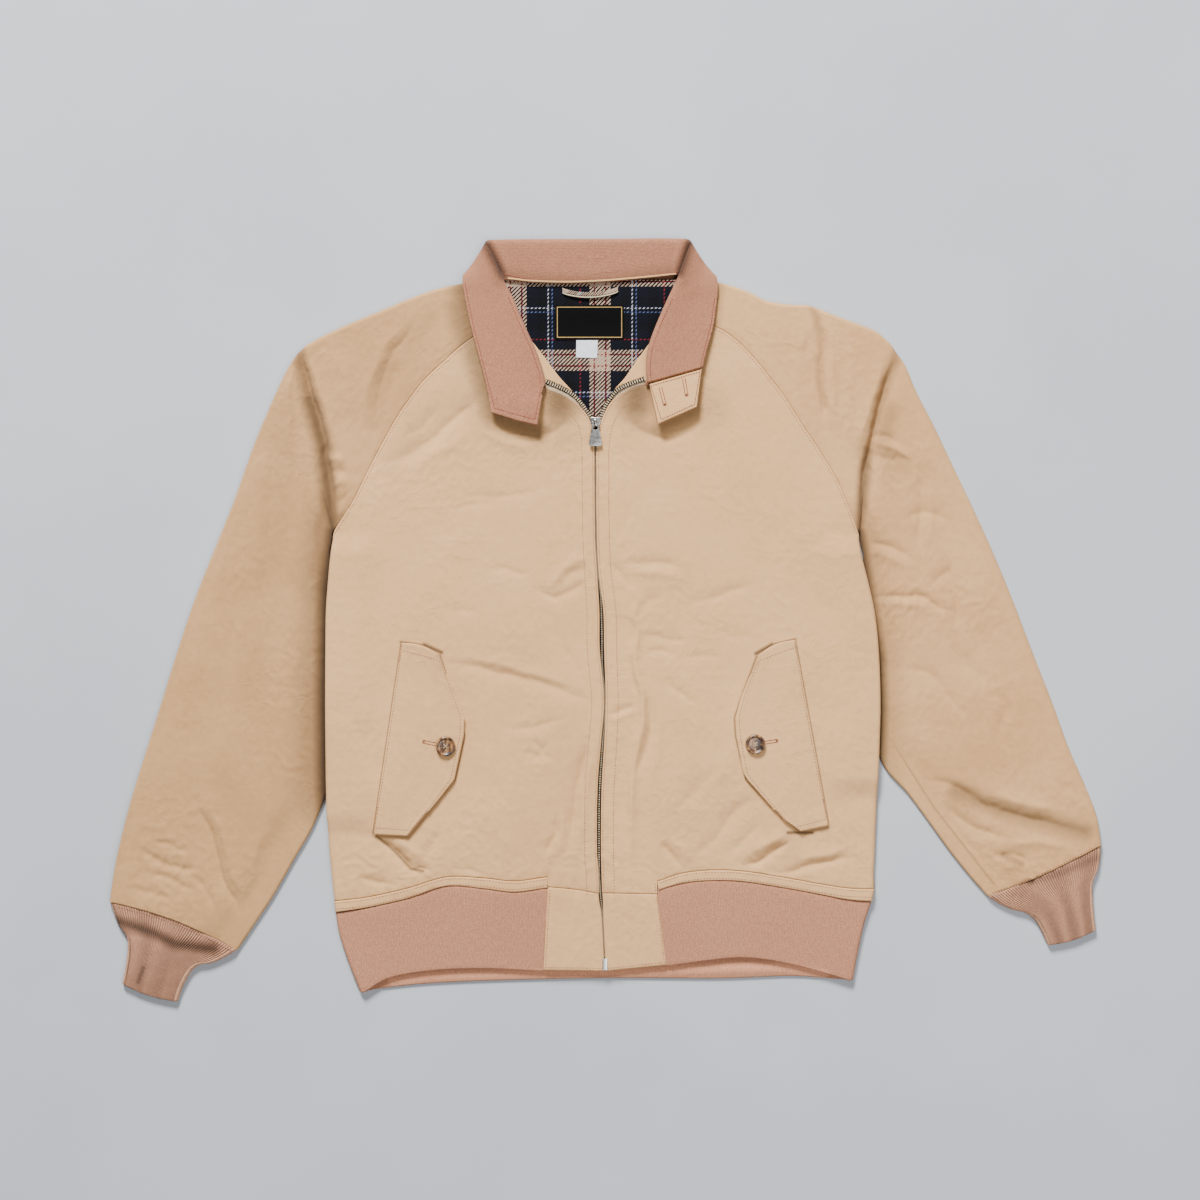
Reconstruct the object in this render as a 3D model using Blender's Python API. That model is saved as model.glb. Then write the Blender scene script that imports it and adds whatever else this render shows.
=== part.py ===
"""A harrington jacket laid flat, front up, with its zip drawn up to the throat.

The jacket is built from the pieces a maker sews together.  Each is a cloth wall
on its own sections; panels that meet at a seam stop a seam gap apart.
Tables give places on the cutting board in millimetres: x runs to the wearer's
left, y runs from collar to hem, and z is the height above the board.
"""
import math
from collections import namedtuple

import bmesh
import bpy
import numpy as np
from mathutils import Vector
from mathutils.bvhtree import BVHTree

# ---------------------------------------------------------------- sizes (mm)
ORIGIN_X = 605.5          # board place of the jacket's origin, mid width
ORIGIN_Y = 620.0          # and mid length
CLOTH = 2.6               # shell cloth with its lining
KNIT = 2.8                # doubled rib knit
LINING = 2.0
LINING_LIFT = 0.6         # lining over the back's finished surface
FACING = 1.6
TAPE = 1.0
LABEL = 0.8
SEAM = 0.3                # gap between pieces that touch
HALF_SEAM = SEAM / 2
LAYER_GAP = 3.6           # air between the back and the fronts
SIDE_GAP = 1.8            # the same along the pressed side edges
THROAT_GAP = 4.4          # the same beside the open throat
SLEEVE_HEIGHT = 8.6       # crown of a sleeve above the board
UNDERARM_HEIGHT = 5.4     # sleeve's pressed inner fold
SIDE_LIFT = 5.9           # body edge where it rides on the sleeve
SIDE_LIFT_FULL = 24.0     # width of that raised edge
SIDE_LIFT_END = 58.0      # where the body reaches the board again
COLLAR_LIFT = 3.3         # neck edge, raised by the collar folded beneath
RIB_GAP = 2.2             # air between the two layers of the waist rib
RIB_PITCH = 2.8           # one rib of the cuff knit
RIB_DEPTH = 0.35
WELT_RISE = 0.5
ROLL_STEPS = 3            # facets in the quarter roll of a side edge
EDGE_COLUMNS = (58.0, 41.0, 24.0)  # panel columns at these distances from a side
BLOCK_SHARE_RIGHT = 0.197  # width of a hem block as a share of its front
BLOCK_SHARE_LEFT = 0.2007
LEG_LENGTH = 4.0          # collar roll: distance from the roll to a straight leg
BUTTON_RADIUS = 10.0
SLIDER_HEIGHT = 1.8
PULL_LENGTH = 24.2
PULL_THICK = 1.2
BAIL_WIDTH = 2.2
SLIDER_AT = (595.4, 422.0)                       # middle of the slider
SLIDER_BASE = 10.0                               # just over the front edges
HINGE_AT = (595.4, 422.3, SLIDER_BASE + SLIDER_HEIGHT + SEAM + 1.1)

# ------------------------------------------------------------- finishes
Finish = namedtuple("Finish", "name colour roughness metallic")
TAN = Finish("tan_cotton", (0.64, 0.49, 0.36), 0.85, 0.0)
RIB = Finish("rib_knit", (0.53, 0.33, 0.25), 0.92, 0.0)
PLAID = Finish("plaid_lining", (0.06, 0.06, 0.09), 0.95, 0.0)
TAPE_CLOTH = Finish("zip_tape", (0.72, 0.66, 0.56), 0.8, 0.0)
HORN = Finish("horn", (0.16, 0.08, 0.04), 0.3, 0.0)
NICKEL = Finish("nickel", (0.72, 0.71, 0.68), 0.3, 1.0)
BLACK_LABEL = Finish("black_label", (0.02, 0.02, 0.02), 0.7, 0.0)
WHITE_LABEL = Finish("white_label", (0.8, 0.82, 0.85), 0.7, 0.0)

# ------------------------------------------------------- outline tables (mm)
SideLevel = namedtuple("SideLevel", "y right_x left_x")
SIDE_EDGES = (  # the body's two side folds, wearer's right and left
    SideLevel(529, 335.4, 857.0), SideLevel(542, 332.4, 859.3), SideLevel(556, 330.5, 861.5),
    SideLevel(580, 328.2, 867.6), SideLevel(612, 326.0, 874.6), SideLevel(650, 325.5, 878.7),
    SideLevel(700, 325.2, 880.4), SideLevel(740, 325.5, 879.6), SideLevel(775, 325.9, 878.4),
    SideLevel(800, 326.3, 877.2), SideLevel(812, 326.8, 876.6), SideLevel(826, 327.8, 875.9),
    SideLevel(840, 328.7, 875.4), SideLevel(870, 331.4, 874.2), SideLevel(901, 334.2, 874.8),
)

YokeRow = namedtuple("YokeRow", "throat_x throat_y seam_x seam_y over_x over_y back_x back_y")
YOKE_RIGHT = (  # throat or zip edge, front raglan seam, shoulder fold, back raglan seam
    YokeRow(511.5, 325.0, 503.0, 320.0, 490.0, 278.5, 501.0, 282.5),
    YokeRow(524.0, 350.0, 468.2, 340.2, 461.0, 283.5, 474.0, 312.0),
    YokeRow(538.0, 375.0, 444.0, 361.0, 434.0, 289.5, 452.0, 344.0),
    YokeRow(547.5, 388.5, 424.0, 380.0, 405.0, 300.0, 430.0, 369.0),
    YokeRow(563.0, 395.0, 411.0, 396.5, 383.0, 309.5, 415.0, 388.0),
    YokeRow(581.0, 407.5, 398.0, 415.0, 362.0, 318.0, 400.0, 410.0),
    YokeRow(591.3, 424.0, 383.0, 441.5, 340.0, 327.5, 383.0, 441.0),
    YokeRow(593.2, 447.0, 368.5, 469.5, 321.0, 336.5, 368.0, 470.0),
    YokeRow(593.9, 475.0, 352.0, 503.0, 307.0, 344.5, 352.0, 503.0),
    YokeRow(594.4, 505.0, 335.4, 529.0, 299.5, 351.0, 335.4, 529.0),
)
YOKE_LEFT = (
    YokeRow(680.5, 323.0, 687.0, 318.5, 694.0, 279.0, 686.0, 280.5),
    YokeRow(667.5, 350.0, 716.0, 327.0, 719.0, 282.5, 708.0, 305.0),
    YokeRow(652.5, 373.0, 737.0, 340.5, 744.0, 289.5, 731.0, 331.0),
    YokeRow(645.5, 383.0, 757.0, 361.0, 766.0, 300.0, 751.0, 353.0),
    YokeRow(630.0, 388.5, 770.0, 377.5, 788.0, 304.0, 768.0, 375.0),
    YokeRow(611.0, 402.0, 785.0, 397.0, 810.0, 305.5, 785.0, 397.0),
    YokeRow(600.2, 424.0, 802.0, 424.0, 835.0, 315.0, 802.0, 424.0),
    YokeRow(597.4, 447.0, 820.0, 451.0, 858.0, 323.5, 820.0, 451.0),
    YokeRow(597.2, 475.0, 839.0, 484.0, 877.0, 331.5, 839.0, 484.0),
    YokeRow(597.0, 505.0, 857.0, 529.0, 892.0, 345.0, 857.0, 529.0),
)

ZipLevel = namedtuple("ZipLevel", "y middle_x gap")
ZIP_LINE = (
    ZipLevel(505, 595.6, 2.0), ZipLevel(560, 598.0, 2.0), ZipLevel(600, 601.0, 3.0),
    ZipLevel(660, 602.3, 4.0), ZipLevel(690, 605.0, 2.6), ZipLevel(712, 605.0, 1.6),
    ZipLevel(746, 602.4, 3.0), ZipLevel(788, 599.6, 4.2), ZipLevel(835, 599.2, 4.4),
    ZipLevel(875, 600.2, 4.0), ZipLevel(909, 602.0, 2.6), ZipLevel(971, 605.2, 1.8),
)

HemPoint = namedtuple("HemPoint", "x panel_y rib_y")
HEM_RIGHT = (  # hem of the right front: end of the panel, top of the rib
    HemPoint(334.2, 901, 912.0), HemPoint(368, 897, 907.0), HemPoint(408, 888, 898.0),
    HemPoint(446, 877, 886.0), HemPoint(483, 878, 888.5), HemPoint(514, 881, 892.0),
    HemPoint(546, 877, 888.0),
)
HEM_LEFT = (
    HemPoint(658, 881, 890.0), HemPoint(683, 873, 883.0), HemPoint(712, 870, 880.3),
    HemPoint(743, 871, 881.0), HemPoint(782, 877, 886.5), HemPoint(821, 884, 893.0),
    HemPoint(848, 888, 897.5), HemPoint(874.8, 889, 899.0),
)
BLOCK_TOP_RIGHT = ((549, 887.0), (575, 889.5), (602, 894.0))
BLOCK_TOP_LEFT = ((603, 893.0), (630, 893.5), (656, 894.0))
BLOCK_SIDE_RIGHT = ((547.7, 887.0), (543.4, 970.2))
BLOCK_SIDE_LEFT = ((657.2, 881.0), (666.6, 965.0))

SleeveRow = namedtuple("SleeveRow", "over_x over_y under_x under_y bow")
SLEEVE_RIGHT = (  # overarm and underarm folds below the shoulder; bow curves the row
    SleeveRow(296.0, 355.0, 332.6, 533.0, -4), SleeveRow(286.0, 371.0, 331.0, 545.0, -3),
    SleeveRow(271.0, 403.0, 329.4, 556.0, -1), SleeveRow(253.0, 446.0, 334.0, 580.0, 0),
    SleeveRow(235.0, 497.0, 339.0, 612.0, 0), SleeveRow(215.0, 547.0, 341.0, 650.0, 0),
    SleeveRow(194.0, 600.0, 341.0, 700.0, 0), SleeveRow(176.0, 654.0, 336.0, 746.0, 0),
    SleeveRow(159.0, 709.0, 329.0, 784.0, 0), SleeveRow(144.0, 756.0, 314.0, 824.0, 0),
    SleeveRow(131.0, 798.0, 293.0, 861.0, 1), SleeveRow(121.0, 836.0, 273.0, 896.0, 2),
    SleeveRow(114.0, 868.0, 254.0, 925.0, 4), SleeveRow(109.0, 902.0, 236.5, 951.0, 6),
)
SLEEVE_LEFT = (
    SleeveRow(896.5, 352.0, 859.5, 533.0, 5), SleeveRow(906.0, 366.0, 861.0, 545.0, 3),
    SleeveRow(917.0, 392.0, 863.4, 557.0, 1), SleeveRow(934.0, 425.0, 862.0, 582.0, 0),
    SleeveRow(953.0, 465.0, 861.5, 614.0, 0), SleeveRow(974.0, 509.0, 863.0, 650.0, 0),
    SleeveRow(996.0, 558.0, 866.0, 695.0, 0), SleeveRow(1016.0, 607.0, 873.0, 738.0, 0),
    SleeveRow(1035.0, 657.0, 886.0, 769.0, 0), SleeveRow(1053.0, 703.0, 908.0, 793.5, 0),
    SleeveRow(1069.0, 747.0, 932.0, 826.0, 0), SleeveRow(1085.0, 784.0, 950.0, 851.0, 0),
    SleeveRow(1097.0, 815.0, 970.0, 876.0, -1), SleeveRow(1102.0, 845.0, 988.0, 896.5, -3),
)
Section = namedtuple("Section", "over front back yoke pressed bow")

CuffRow = namedtuple("CuffRow", "low_x low_y high_x high_y height")
CUFF_RIGHT = (  # the cuff's two folds, from its seam to its hem
    CuffRow(108.85, 902.42, 236.3, 951.42, 8.4), CuffRow(113.0, 913.0, 226.0, 957.0, 7.2),
    CuffRow(117.5, 925.0, 212.0, 963.5, 6.8), CuffRow(126.0, 938.0, 199.0, 965.5, 7.2),
    CuffRow(126.5, 953.0, 190.0, 973.0, 7.4), CuffRow(124.0, 971.0, 181.5, 989.0, 7.4),
    CuffRow(121.5, 983.0, 177.5, 1001.0, 7.0),
)
CUFF_LEFT = (
    CuffRow(988.19, 896.91, 1102.15, 845.41, 8.4), CuffRow(1000.0, 904.5, 1101.0, 859.0, 7.2),
    CuffRow(1012.0, 910.0, 1099.0, 870.0, 6.8), CuffRow(1026.0, 913.5, 1094.0, 882.0, 7.2),
    CuffRow(1036.0, 921.0, 1093.5, 895.0, 7.4), CuffRow(1042.0, 931.0, 1094.5, 910.0, 7.4),
    CuffRow(1048.0, 944.5, 1096.5, 929.0, 7.0),
)

RibFold = namedtuple("RibFold", "right_x right_y left_x left_y")
RIB_FOLDS = (  # the waist rib's side folds, from its top seam down
    RibFold(335.0, 912.4, 872.2, 901.4), RibFold(339.0, 935.0, 864.5, 925.0),
    RibFold(348.5, 964.0, 858.0, 955.0), RibFold(359.5, 991.5, 853.5, 979.5),
)
RIB_FRONT_RIGHT_EDGE = ((359.5, 991.5), (386, 977), (431, 969.5), (483, 967.5), (543, 970))
RIB_FRONT_LEFT_EDGE = ((667, 965), (704, 960), (743, 956.5), (782, 961), (821, 970), (853.5, 979.5))
RIB_BACK_EDGE = ((359.5, 991.5), (378, 987.5), (431, 982.5), (509, 979.5), (619, 977.5),
                 (717, 978), (787, 975.5), (821, 977), (853.5, 979.5))
BACK_RIB_TOP = ((335.0, 912.4), (872.2, 901.4))

CollarRow = namedtuple(
    "CollarRow", "seam_x seam_y seam_z roll_x roll_y stand_z fall_z free_x free_y free_z")
COLLAR_RIGHT = (  # stand seam, roll and free edge, from the right wing's front edge to mid back
    CollarRow(545.0, 389.5, 11.6, 543.0, 385.0, 11.4, 15.0, 537.5, 424.0, 14.6),
    CollarRow(543.0, 385.0, 11.6, 542.8, 380.5, 11.4, 15.0, 515.0, 418.0, 13.8),
    CollarRow(541.0, 379.5, 11.6, 542.0, 375.0, 11.4, 15.0, 493.0, 411.0, 13.2),
    CollarRow(535.5, 369.0, 11.6, 540.0, 365.0, 11.4, 15.0, 487.0, 388.0, 12.9),
    CollarRow(527.0, 352.0, 11.6, 534.0, 349.0, 11.4, 15.0, 479.0, 357.0, 12.8),
    CollarRow(517.0, 335.0, 11.6, 523.0, 325.0, 11.5, 15.1, 470.5, 325.0, 12.8),
    CollarRow(508.5, 317.0, 11.6, 512.0, 299.0, 11.6, 15.2, 465.0, 298.0, 12.8),
    CollarRow(502.5, 303.0, 11.6, 502.0, 280.0, 11.8, 15.2, 462.8, 284.5, 12.8),
    CollarRow(500.0, 292.0, 11.5, 494.5, 262.0, 12.2, 14.8, 462.8, 278.0, 11.0),
    CollarRow(500.5, 285.5, 11.2, 488.5, 248.0, 12.6, 12.6, 463.8, 276.0, 7.0),
    CollarRow(502.5, 282.0, 10.9, 486.5, 243.0, 13.0, 8.4, 466.5, 276.8, 3.4),
    CollarRow(506.0, 280.5, 10.6, 489.5, 241.6, 13.2, 5.6, 472.0, 283.0, 1.5),
    CollarRow(514.0, 281.0, 10.5, 498.0, 241.2, 13.2, 5.0, 486.0, 293.0, 1.5),
    CollarRow(532.0, 283.0, 10.5, 518.0, 240.8, 13.2, 5.0, 512.0, 298.0, 1.5),
    CollarRow(568.0, 284.0, 10.5, 560.0, 240.6, 13.2, 5.0, 556.0, 300.0, 1.5),
    CollarRow(605.0, 282.5, 10.5, 605.0, 240.4, 13.2, 5.0, 605.0, 300.0, 1.5),
)
COLLAR_LEFT = (
    CollarRow(646.0, 386.5, 11.6, 648.2, 383.4, 11.4, 15.0, 702.6, 368.0, 12.9),
    CollarRow(651.5, 370.5, 11.6, 647.0, 368.0, 11.4, 15.0, 704.5, 359.0, 12.9),
    CollarRow(660.5, 354.0, 11.6, 649.0, 349.0, 11.4, 15.0, 707.5, 348.0, 12.8),
    CollarRow(671.0, 338.0, 11.6, 657.5, 325.0, 11.5, 15.1, 713.5, 325.0, 12.8),
    CollarRow(680.0, 318.0, 11.6, 669.0, 299.0, 11.6, 15.2, 717.0, 300.0, 12.8),
    CollarRow(686.0, 303.0, 11.6, 678.0, 280.0, 11.8, 15.2, 717.8, 288.0, 12.8),
    CollarRow(687.5, 291.0, 11.5, 684.5, 262.0, 12.2, 14.8, 717.0, 280.0, 11.2),
    CollarRow(686.0, 282.5, 11.2, 689.0, 248.0, 12.6, 12.6, 715.0, 277.0, 7.0),
    CollarRow(682.5, 277.0, 10.9, 690.3, 243.0, 13.0, 8.4, 711.0, 277.5, 3.4),
    CollarRow(678.5, 275.6, 10.6, 687.5, 240.8, 13.2, 5.6, 705.0, 284.0, 1.5),
    CollarRow(671.0, 275.8, 10.5, 679.0, 240.2, 13.2, 5.0, 693.0, 294.0, 1.5),
    CollarRow(656.0, 278.0, 10.5, 660.0, 239.8, 13.2, 5.0, 670.0, 298.0, 1.5),
    CollarRow(630.0, 280.5, 10.5, 632.0, 240.2, 13.2, 5.0, 636.0, 300.0, 1.5),
)
TAB_CORNERS = ((647.9, 384.2), (702.6, 368.8), (696.8, 407.5), (659.0, 424.0))

LiningRow = namedtuple("LiningRow", "y right_x left_x")
LINING_ROWS = (
    LiningRow(286.0, 503.0, 680.0), LiningRow(300.0, 505.0, 677.0), LiningRow(318.0, 511.0, 672.0),
    LiningRow(336.0, 519.0, 662.0), LiningRow(352.0, 529.0, 652.0), LiningRow(372.0, 549.0, 637.0),
    LiningRow(392.0, 566.0, 622.0), LiningRow(412.0, 580.0, 612.0), LiningRow(432.0, 588.0, 604.0),
)
ThroatRow = namedtuple("ThroatRow", "lining_x lining_y tape_x tape_y")
FACING_RIGHT = (
    ThroatRow(534.5, 343.0, 532.0, 347.0), ThroatRow(547.0, 357.5, 541.0, 362.0),
    ThroatRow(557.0, 370.0, 548.5, 379.0), ThroatRow(567.0, 383.0, 560.0, 383.5),
    ThroatRow(578.0, 395.5, 575.0, 395.8), ThroatRow(587.0, 407.5, 586.0, 408.0),
)
FACING_LEFT = (
    ThroatRow(645.5, 347.5, 648.5, 351.0), ThroatRow(636.0, 359.0, 642.5, 365.0),
    ThroatRow(628.0, 370.0, 641.0, 374.5), ThroatRow(619.0, 384.5, 628.0, 379.5),
    ThroatRow(612.0, 392.5, 614.0, 391.5), ThroatRow(605.5, 402.0, 607.0, 401.6),
)
TapeRow = namedtuple("TapeRow", "edge_x edge_y under_x under_y")
TAPE_RIGHT_THROAT = (  # toothed edge, and the edge sewn under the front
    TapeRow(548.8, 379.8, 545.0, 392.0), TapeRow(560.3, 384.2, 554.0, 396.0),
    TapeRow(575.0, 396.6, 566.0, 407.0), TapeRow(586.6, 409.0, 577.5, 417.0),
    TapeRow(592.6, 419.5, 583.5, 425.0), TapeRow(594.3, 432.0, 585.5, 434.0),
)
TAPE_LEFT_THROAT = (
    TapeRow(643.0, 375.6, 646.5, 388.0), TapeRow(628.5, 380.3, 633.5, 392.0),
    TapeRow(615.0, 392.0, 623.0, 401.0), TapeRow(605.2, 405.0, 613.5, 412.0),
    TapeRow(599.3, 419.5, 608.0, 425.0), TapeRow(596.9, 432.0, 606.0, 434.0),
)
TAPE_UNDER = 8.0          # tape width hidden beneath a front
TAPE_SHOWS = 0.35         # what stays between the tape and the zip's middle

FLAP_RIGHT = ((401.5, 643), (429, 648), (439, 654.5), (446, 670), (456, 695), (465, 718),
              (464, 736), (456, 773), (454.5, 779.5), (436, 803), (418, 824), (408, 835.5),
              (390, 835), (373.2, 834))
FLAP_LEFT = ((795, 640), (767, 648), (758, 655.5), (751, 672), (741, 697), (735, 718),
             (736, 736), (743, 773), (747, 779.5), (766, 801), (783, 820), (800, 831),
             (814, 828.5), (828.4, 825))
BUTTON_RIGHT = (446.0, 746.0)
BUTTON_LEFT = (755.0, 744.0)

Crease = namedtuple("Crease", "x0 y0 x1 y1 width height")
CREASES = (  # main ridges (+) and troughs (-) of the shell
    Crease(589, 700, 584, 775, 7, 1.6), Crease(583, 775, 568, 850, 7, 1.8),
    Crease(637, 600, 640, 720, 11, 1.2), Crease(638, 720, 628, 785, 9, 1.0),
    Crease(380, 846, 424, 872, 7, 1.8), Crease(785, 848, 745, 868, 7, 1.3),
    Crease(790, 874, 850, 860, 6, 1.2), Crease(478, 402, 395, 459, 12, -1.4),
    Crease(419, 325, 385, 390, 10, -1.2), Crease(819, 330, 819, 400, 8, 1.0),
    Crease(735, 420, 790, 520, 20, 0.9), Crease(930, 790, 1090, 832, 14, -1.9),
    Crease(1004, 852, 1030, 870, 6, -1.2), Crease(875, 553, 925, 566, 9, -1.0),
    Crease(876, 600, 950, 606, 10, 1.0), Crease(876, 430, 915, 458, 8, -1.0),
    Crease(214, 826, 240, 936, 6, 1.4), Crease(265, 470, 190, 800, 26, 1.2),
    Crease(232, 500, 150, 790, 14, -1.0), Crease(940, 520, 1040, 780, 26, 0.9),
    Crease(150, 866, 194, 878, 7, 1.1), Crease(450, 560, 540, 600, 30, 0.8),
    Crease(470, 780, 540, 840, 22, 0.9), Crease(700, 560, 800, 640, 30, 0.8),
)


# ------------------------------------------------------------ small helpers
def smooth_step(start, end, value):
    """0 before start, 1 after end, easing between; start may be above end."""
    t = min(1.0, max(0.0, (value - start) / (end - start)))
    return t * t * (3 - 2 * t)


def mix(a, b, t):
    return a + (b - a) * t


def unit(vector):
    return vector / np.linalg.norm(vector)


def read_curve(points, x):
    """Height of a polyline given as (x, y) pairs in order of x."""
    xs, ys = zip(*points)
    return float(np.interp(x, xs, ys))


# --------------------------------------------------- heights of the layers
def side_edge(y, left):
    """x of the body's side fold at board height y."""
    return float(np.interp(y, [s.y for s in SIDE_EDGES],
                           [s.left_x if left else s.right_x for s in SIDE_EDGES]))


def edge_window(y, left):
    """1 where the body's side rides on the sleeve, 0 elsewhere."""
    leave, rest = (775, 800) if left else (812, 838)
    return smooth_step(531, 556, y) * smooth_step(rest, leave, y)


def side_raise(x, y):
    """How far the body is raised near a side fold, as a share of the full lift."""
    left = x > ORIGIN_X
    distance = side_edge(y, True) - x if left else x - side_edge(y, False)
    return edge_window(y, left) * smooth_step(SIDE_LIFT_END, SIDE_LIFT_FULL, distance)


def collar_raise(x, y):
    """1 over the collar's hidden fall, 0 away from it."""
    across = smooth_step(446, 462, x) * smooth_step(734, 719, x)
    return across * smooth_step(332, 304, y)


def back_bottom(x, y):
    return SIDE_LIFT * side_raise(x, y) + COLLAR_LIFT * collar_raise(x, y)


def back_top(x, y):
    return back_bottom(x, y) + CLOTH


def gaussian(x, y, centre_x, centre_y, radius):
    return math.exp(-((x - centre_x) ** 2 + (y - centre_y) ** 2) / radius ** 2)


def creases(x, y):
    """Sum of the soft ridges and troughs at a place."""
    total = 0.0
    for c in CREASES:
        run = np.array((c.x1 - c.x0, c.y1 - c.y0), dtype=float)
        length = np.linalg.norm(run)
        run /= length
        along = (x - c.x0) * run[0] + (y - c.y0) * run[1]
        across = (x - c.x0) * run[1] - (y - c.y0) * run[0]
        over = max(0.0, -along, along - length) / (0.25 * length + c.width)
        total += c.height * math.exp(-(across / c.width) ** 2 - (1.6 * over) ** 2)
    return total


def layer_gap(x, y):
    """Air between the back and the fronts."""
    gap = mix(LAYER_GAP, SIDE_GAP, side_raise(x, y))
    throat = smooth_step(452, 425, y) * smooth_step(60, 40, abs(x - 596))
    gap = mix(gap, THROAT_GAP, throat)
    gap += 2.6 * gaussian(x, y, 352, 512, 42) + 2.6 * gaussian(x, y, 841, 511, 42)
    return gap - (COLLAR_LIFT - 0.6) * collar_raise(x, y)


def front_bottom(x, y):
    inside = smooth_step(0, 16, min(x - side_edge(y, False), side_edge(y, True) - x)) if y > 529 else 1.0
    return back_top(x, y) + layer_gap(x, y) + creases(x, y) * inside


def front_top(x, y):
    return front_bottom(x, y) + CLOTH


# --------------------------------------------------------- making the solids
def material(finish):
    found = bpy.data.materials.get(finish.name)
    if found:
        return found
    made = bpy.data.materials.new(finish.name)
    made.use_nodes = True
    shader = made.node_tree.nodes["Principled BSDF"]
    shader.inputs["Base Color"].default_value = (*finish.colour, 1.0)
    shader.inputs["Roughness"].default_value = finish.roughness
    shader.inputs["Metallic"].default_value = finish.metallic
    made.diffuse_color = (*finish.colour, 1.0)
    return made


def to_metres(point):
    return Vector(((point[0] - ORIGIN_X) / 1000, (ORIGIN_Y - point[1]) / 1000, point[2] / 1000))


def finish_object(name, mesh_data, finish, sharp_angle=40):
    """Turn a bmesh into a named object with its material, faces outward."""
    bmesh.ops.recalc_face_normals(mesh_data, faces=mesh_data.faces)
    mesh = bpy.data.meshes.new(name)
    mesh_data.to_mesh(mesh)
    mesh_data.free()
    mesh.materials.append(material(finish))
    mesh.shade_smooth()
    mesh.set_sharp_from_angle(angle=math.radians(sharp_angle))
    made = bpy.data.objects.new(name, mesh)
    bpy.context.collection.objects.link(made)
    return made


def wall(name, outer, inner, finish, closed=False):
    """A closed solid between two grids of places; closed rows join into a tube."""
    outer = np.asarray(outer, dtype=float)
    inner = np.asarray(inner, dtype=float)
    rows, columns = outer.shape[:2]
    mesh_data = bmesh.new()
    grids = [[[mesh_data.verts.new(to_metres(p)) for p in row] for row in grid]
             for grid in (outer, inner)]
    spans = columns if closed else columns - 1
    for grid in grids:
        for i in range(rows - 1):
            for j in range(spans):
                k = (j + 1) % columns
                mesh_data.faces.new((grid[i][j], grid[i][k], grid[i + 1][k], grid[i + 1][j]))
    top, low = grids
    for i in (0, rows - 1):
        for j in range(spans):
            k = (j + 1) % columns
            mesh_data.faces.new((top[i][j], top[i][k], low[i][k], low[i][j]))
    if not closed:
        for j in (0, columns - 1):
            for i in range(rows - 1):
                mesh_data.faces.new((top[i][j], top[i + 1][j], low[i + 1][j], low[i][j]))
    return finish_object(name, mesh_data, finish)


def sheet_normals(middle):
    """Unit normals of a grid of places."""
    across = np.gradient(middle, axis=1)
    along = np.gradient(middle, axis=0)
    normals = np.cross(across, along)
    return normals / np.linalg.norm(normals, axis=2, keepdims=True)


def thick_sheet(name, middle, thickness, finish):
    """A wall of even thickness on both sides of a grid."""
    middle = np.asarray(middle, dtype=float)
    offset = sheet_normals(middle) * thickness / 2
    return wall(name, middle + offset, middle - offset, finish)


def prism(name, outline, bottom, top, finish):
    """An upright slab on a plan outline; bottom and top give heights at (x, y)."""
    mesh_data = bmesh.new()
    low = [mesh_data.verts.new(to_metres((x, y, bottom(x, y)))) for x, y in outline]
    high = [mesh_data.verts.new(to_metres((x, y, top(x, y)))) for x, y in outline]
    mesh_data.faces.new(low)
    mesh_data.faces.new(high)
    for i in range(len(outline)):
        k = (i + 1) % len(outline)
        mesh_data.faces.new((low[i], low[k], high[k], high[i]))
    return finish_object(name, mesh_data, finish)


class Surface:
    """Reads the upper surface of finished pieces, in board millimetres."""

    def __init__(self, *objects):
        self.trees = []
        for item in objects:
            mesh_data = bmesh.new()
            mesh_data.from_mesh(item.data)
            bmesh.ops.triangulate(mesh_data, faces=mesh_data.faces)
            self.trees.append(BVHTree.FromBMesh(mesh_data))
            mesh_data.free()

    def height(self, x, y, default):
        above = to_metres((x, y, 100.0))
        hits = [tree.ray_cast(above, Vector((0, 0, -1)))[0] for tree in self.trees]
        heights = [hit.z * 1000 for hit in hits if hit is not None]
        return max(heights) if heights else default


# ------------------------------------------------------------ body panels
def row_distances(length, radius, first_share, inside_count):
    """Distances of a panel row's columns from its inner end, closer near the side."""
    scale = min(1.0, length / 130)
    edge = [length - max(d * scale, radius) for d in EDGE_COLUMNS]
    start = [0.0] if first_share == 0 else [0.0, first_share * length / 2]
    spread = np.linspace(first_share * length, edge[0], inside_count)
    return start + list(spread[0 if first_share else 1:]) + edge[1:] + [length - radius]


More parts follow.
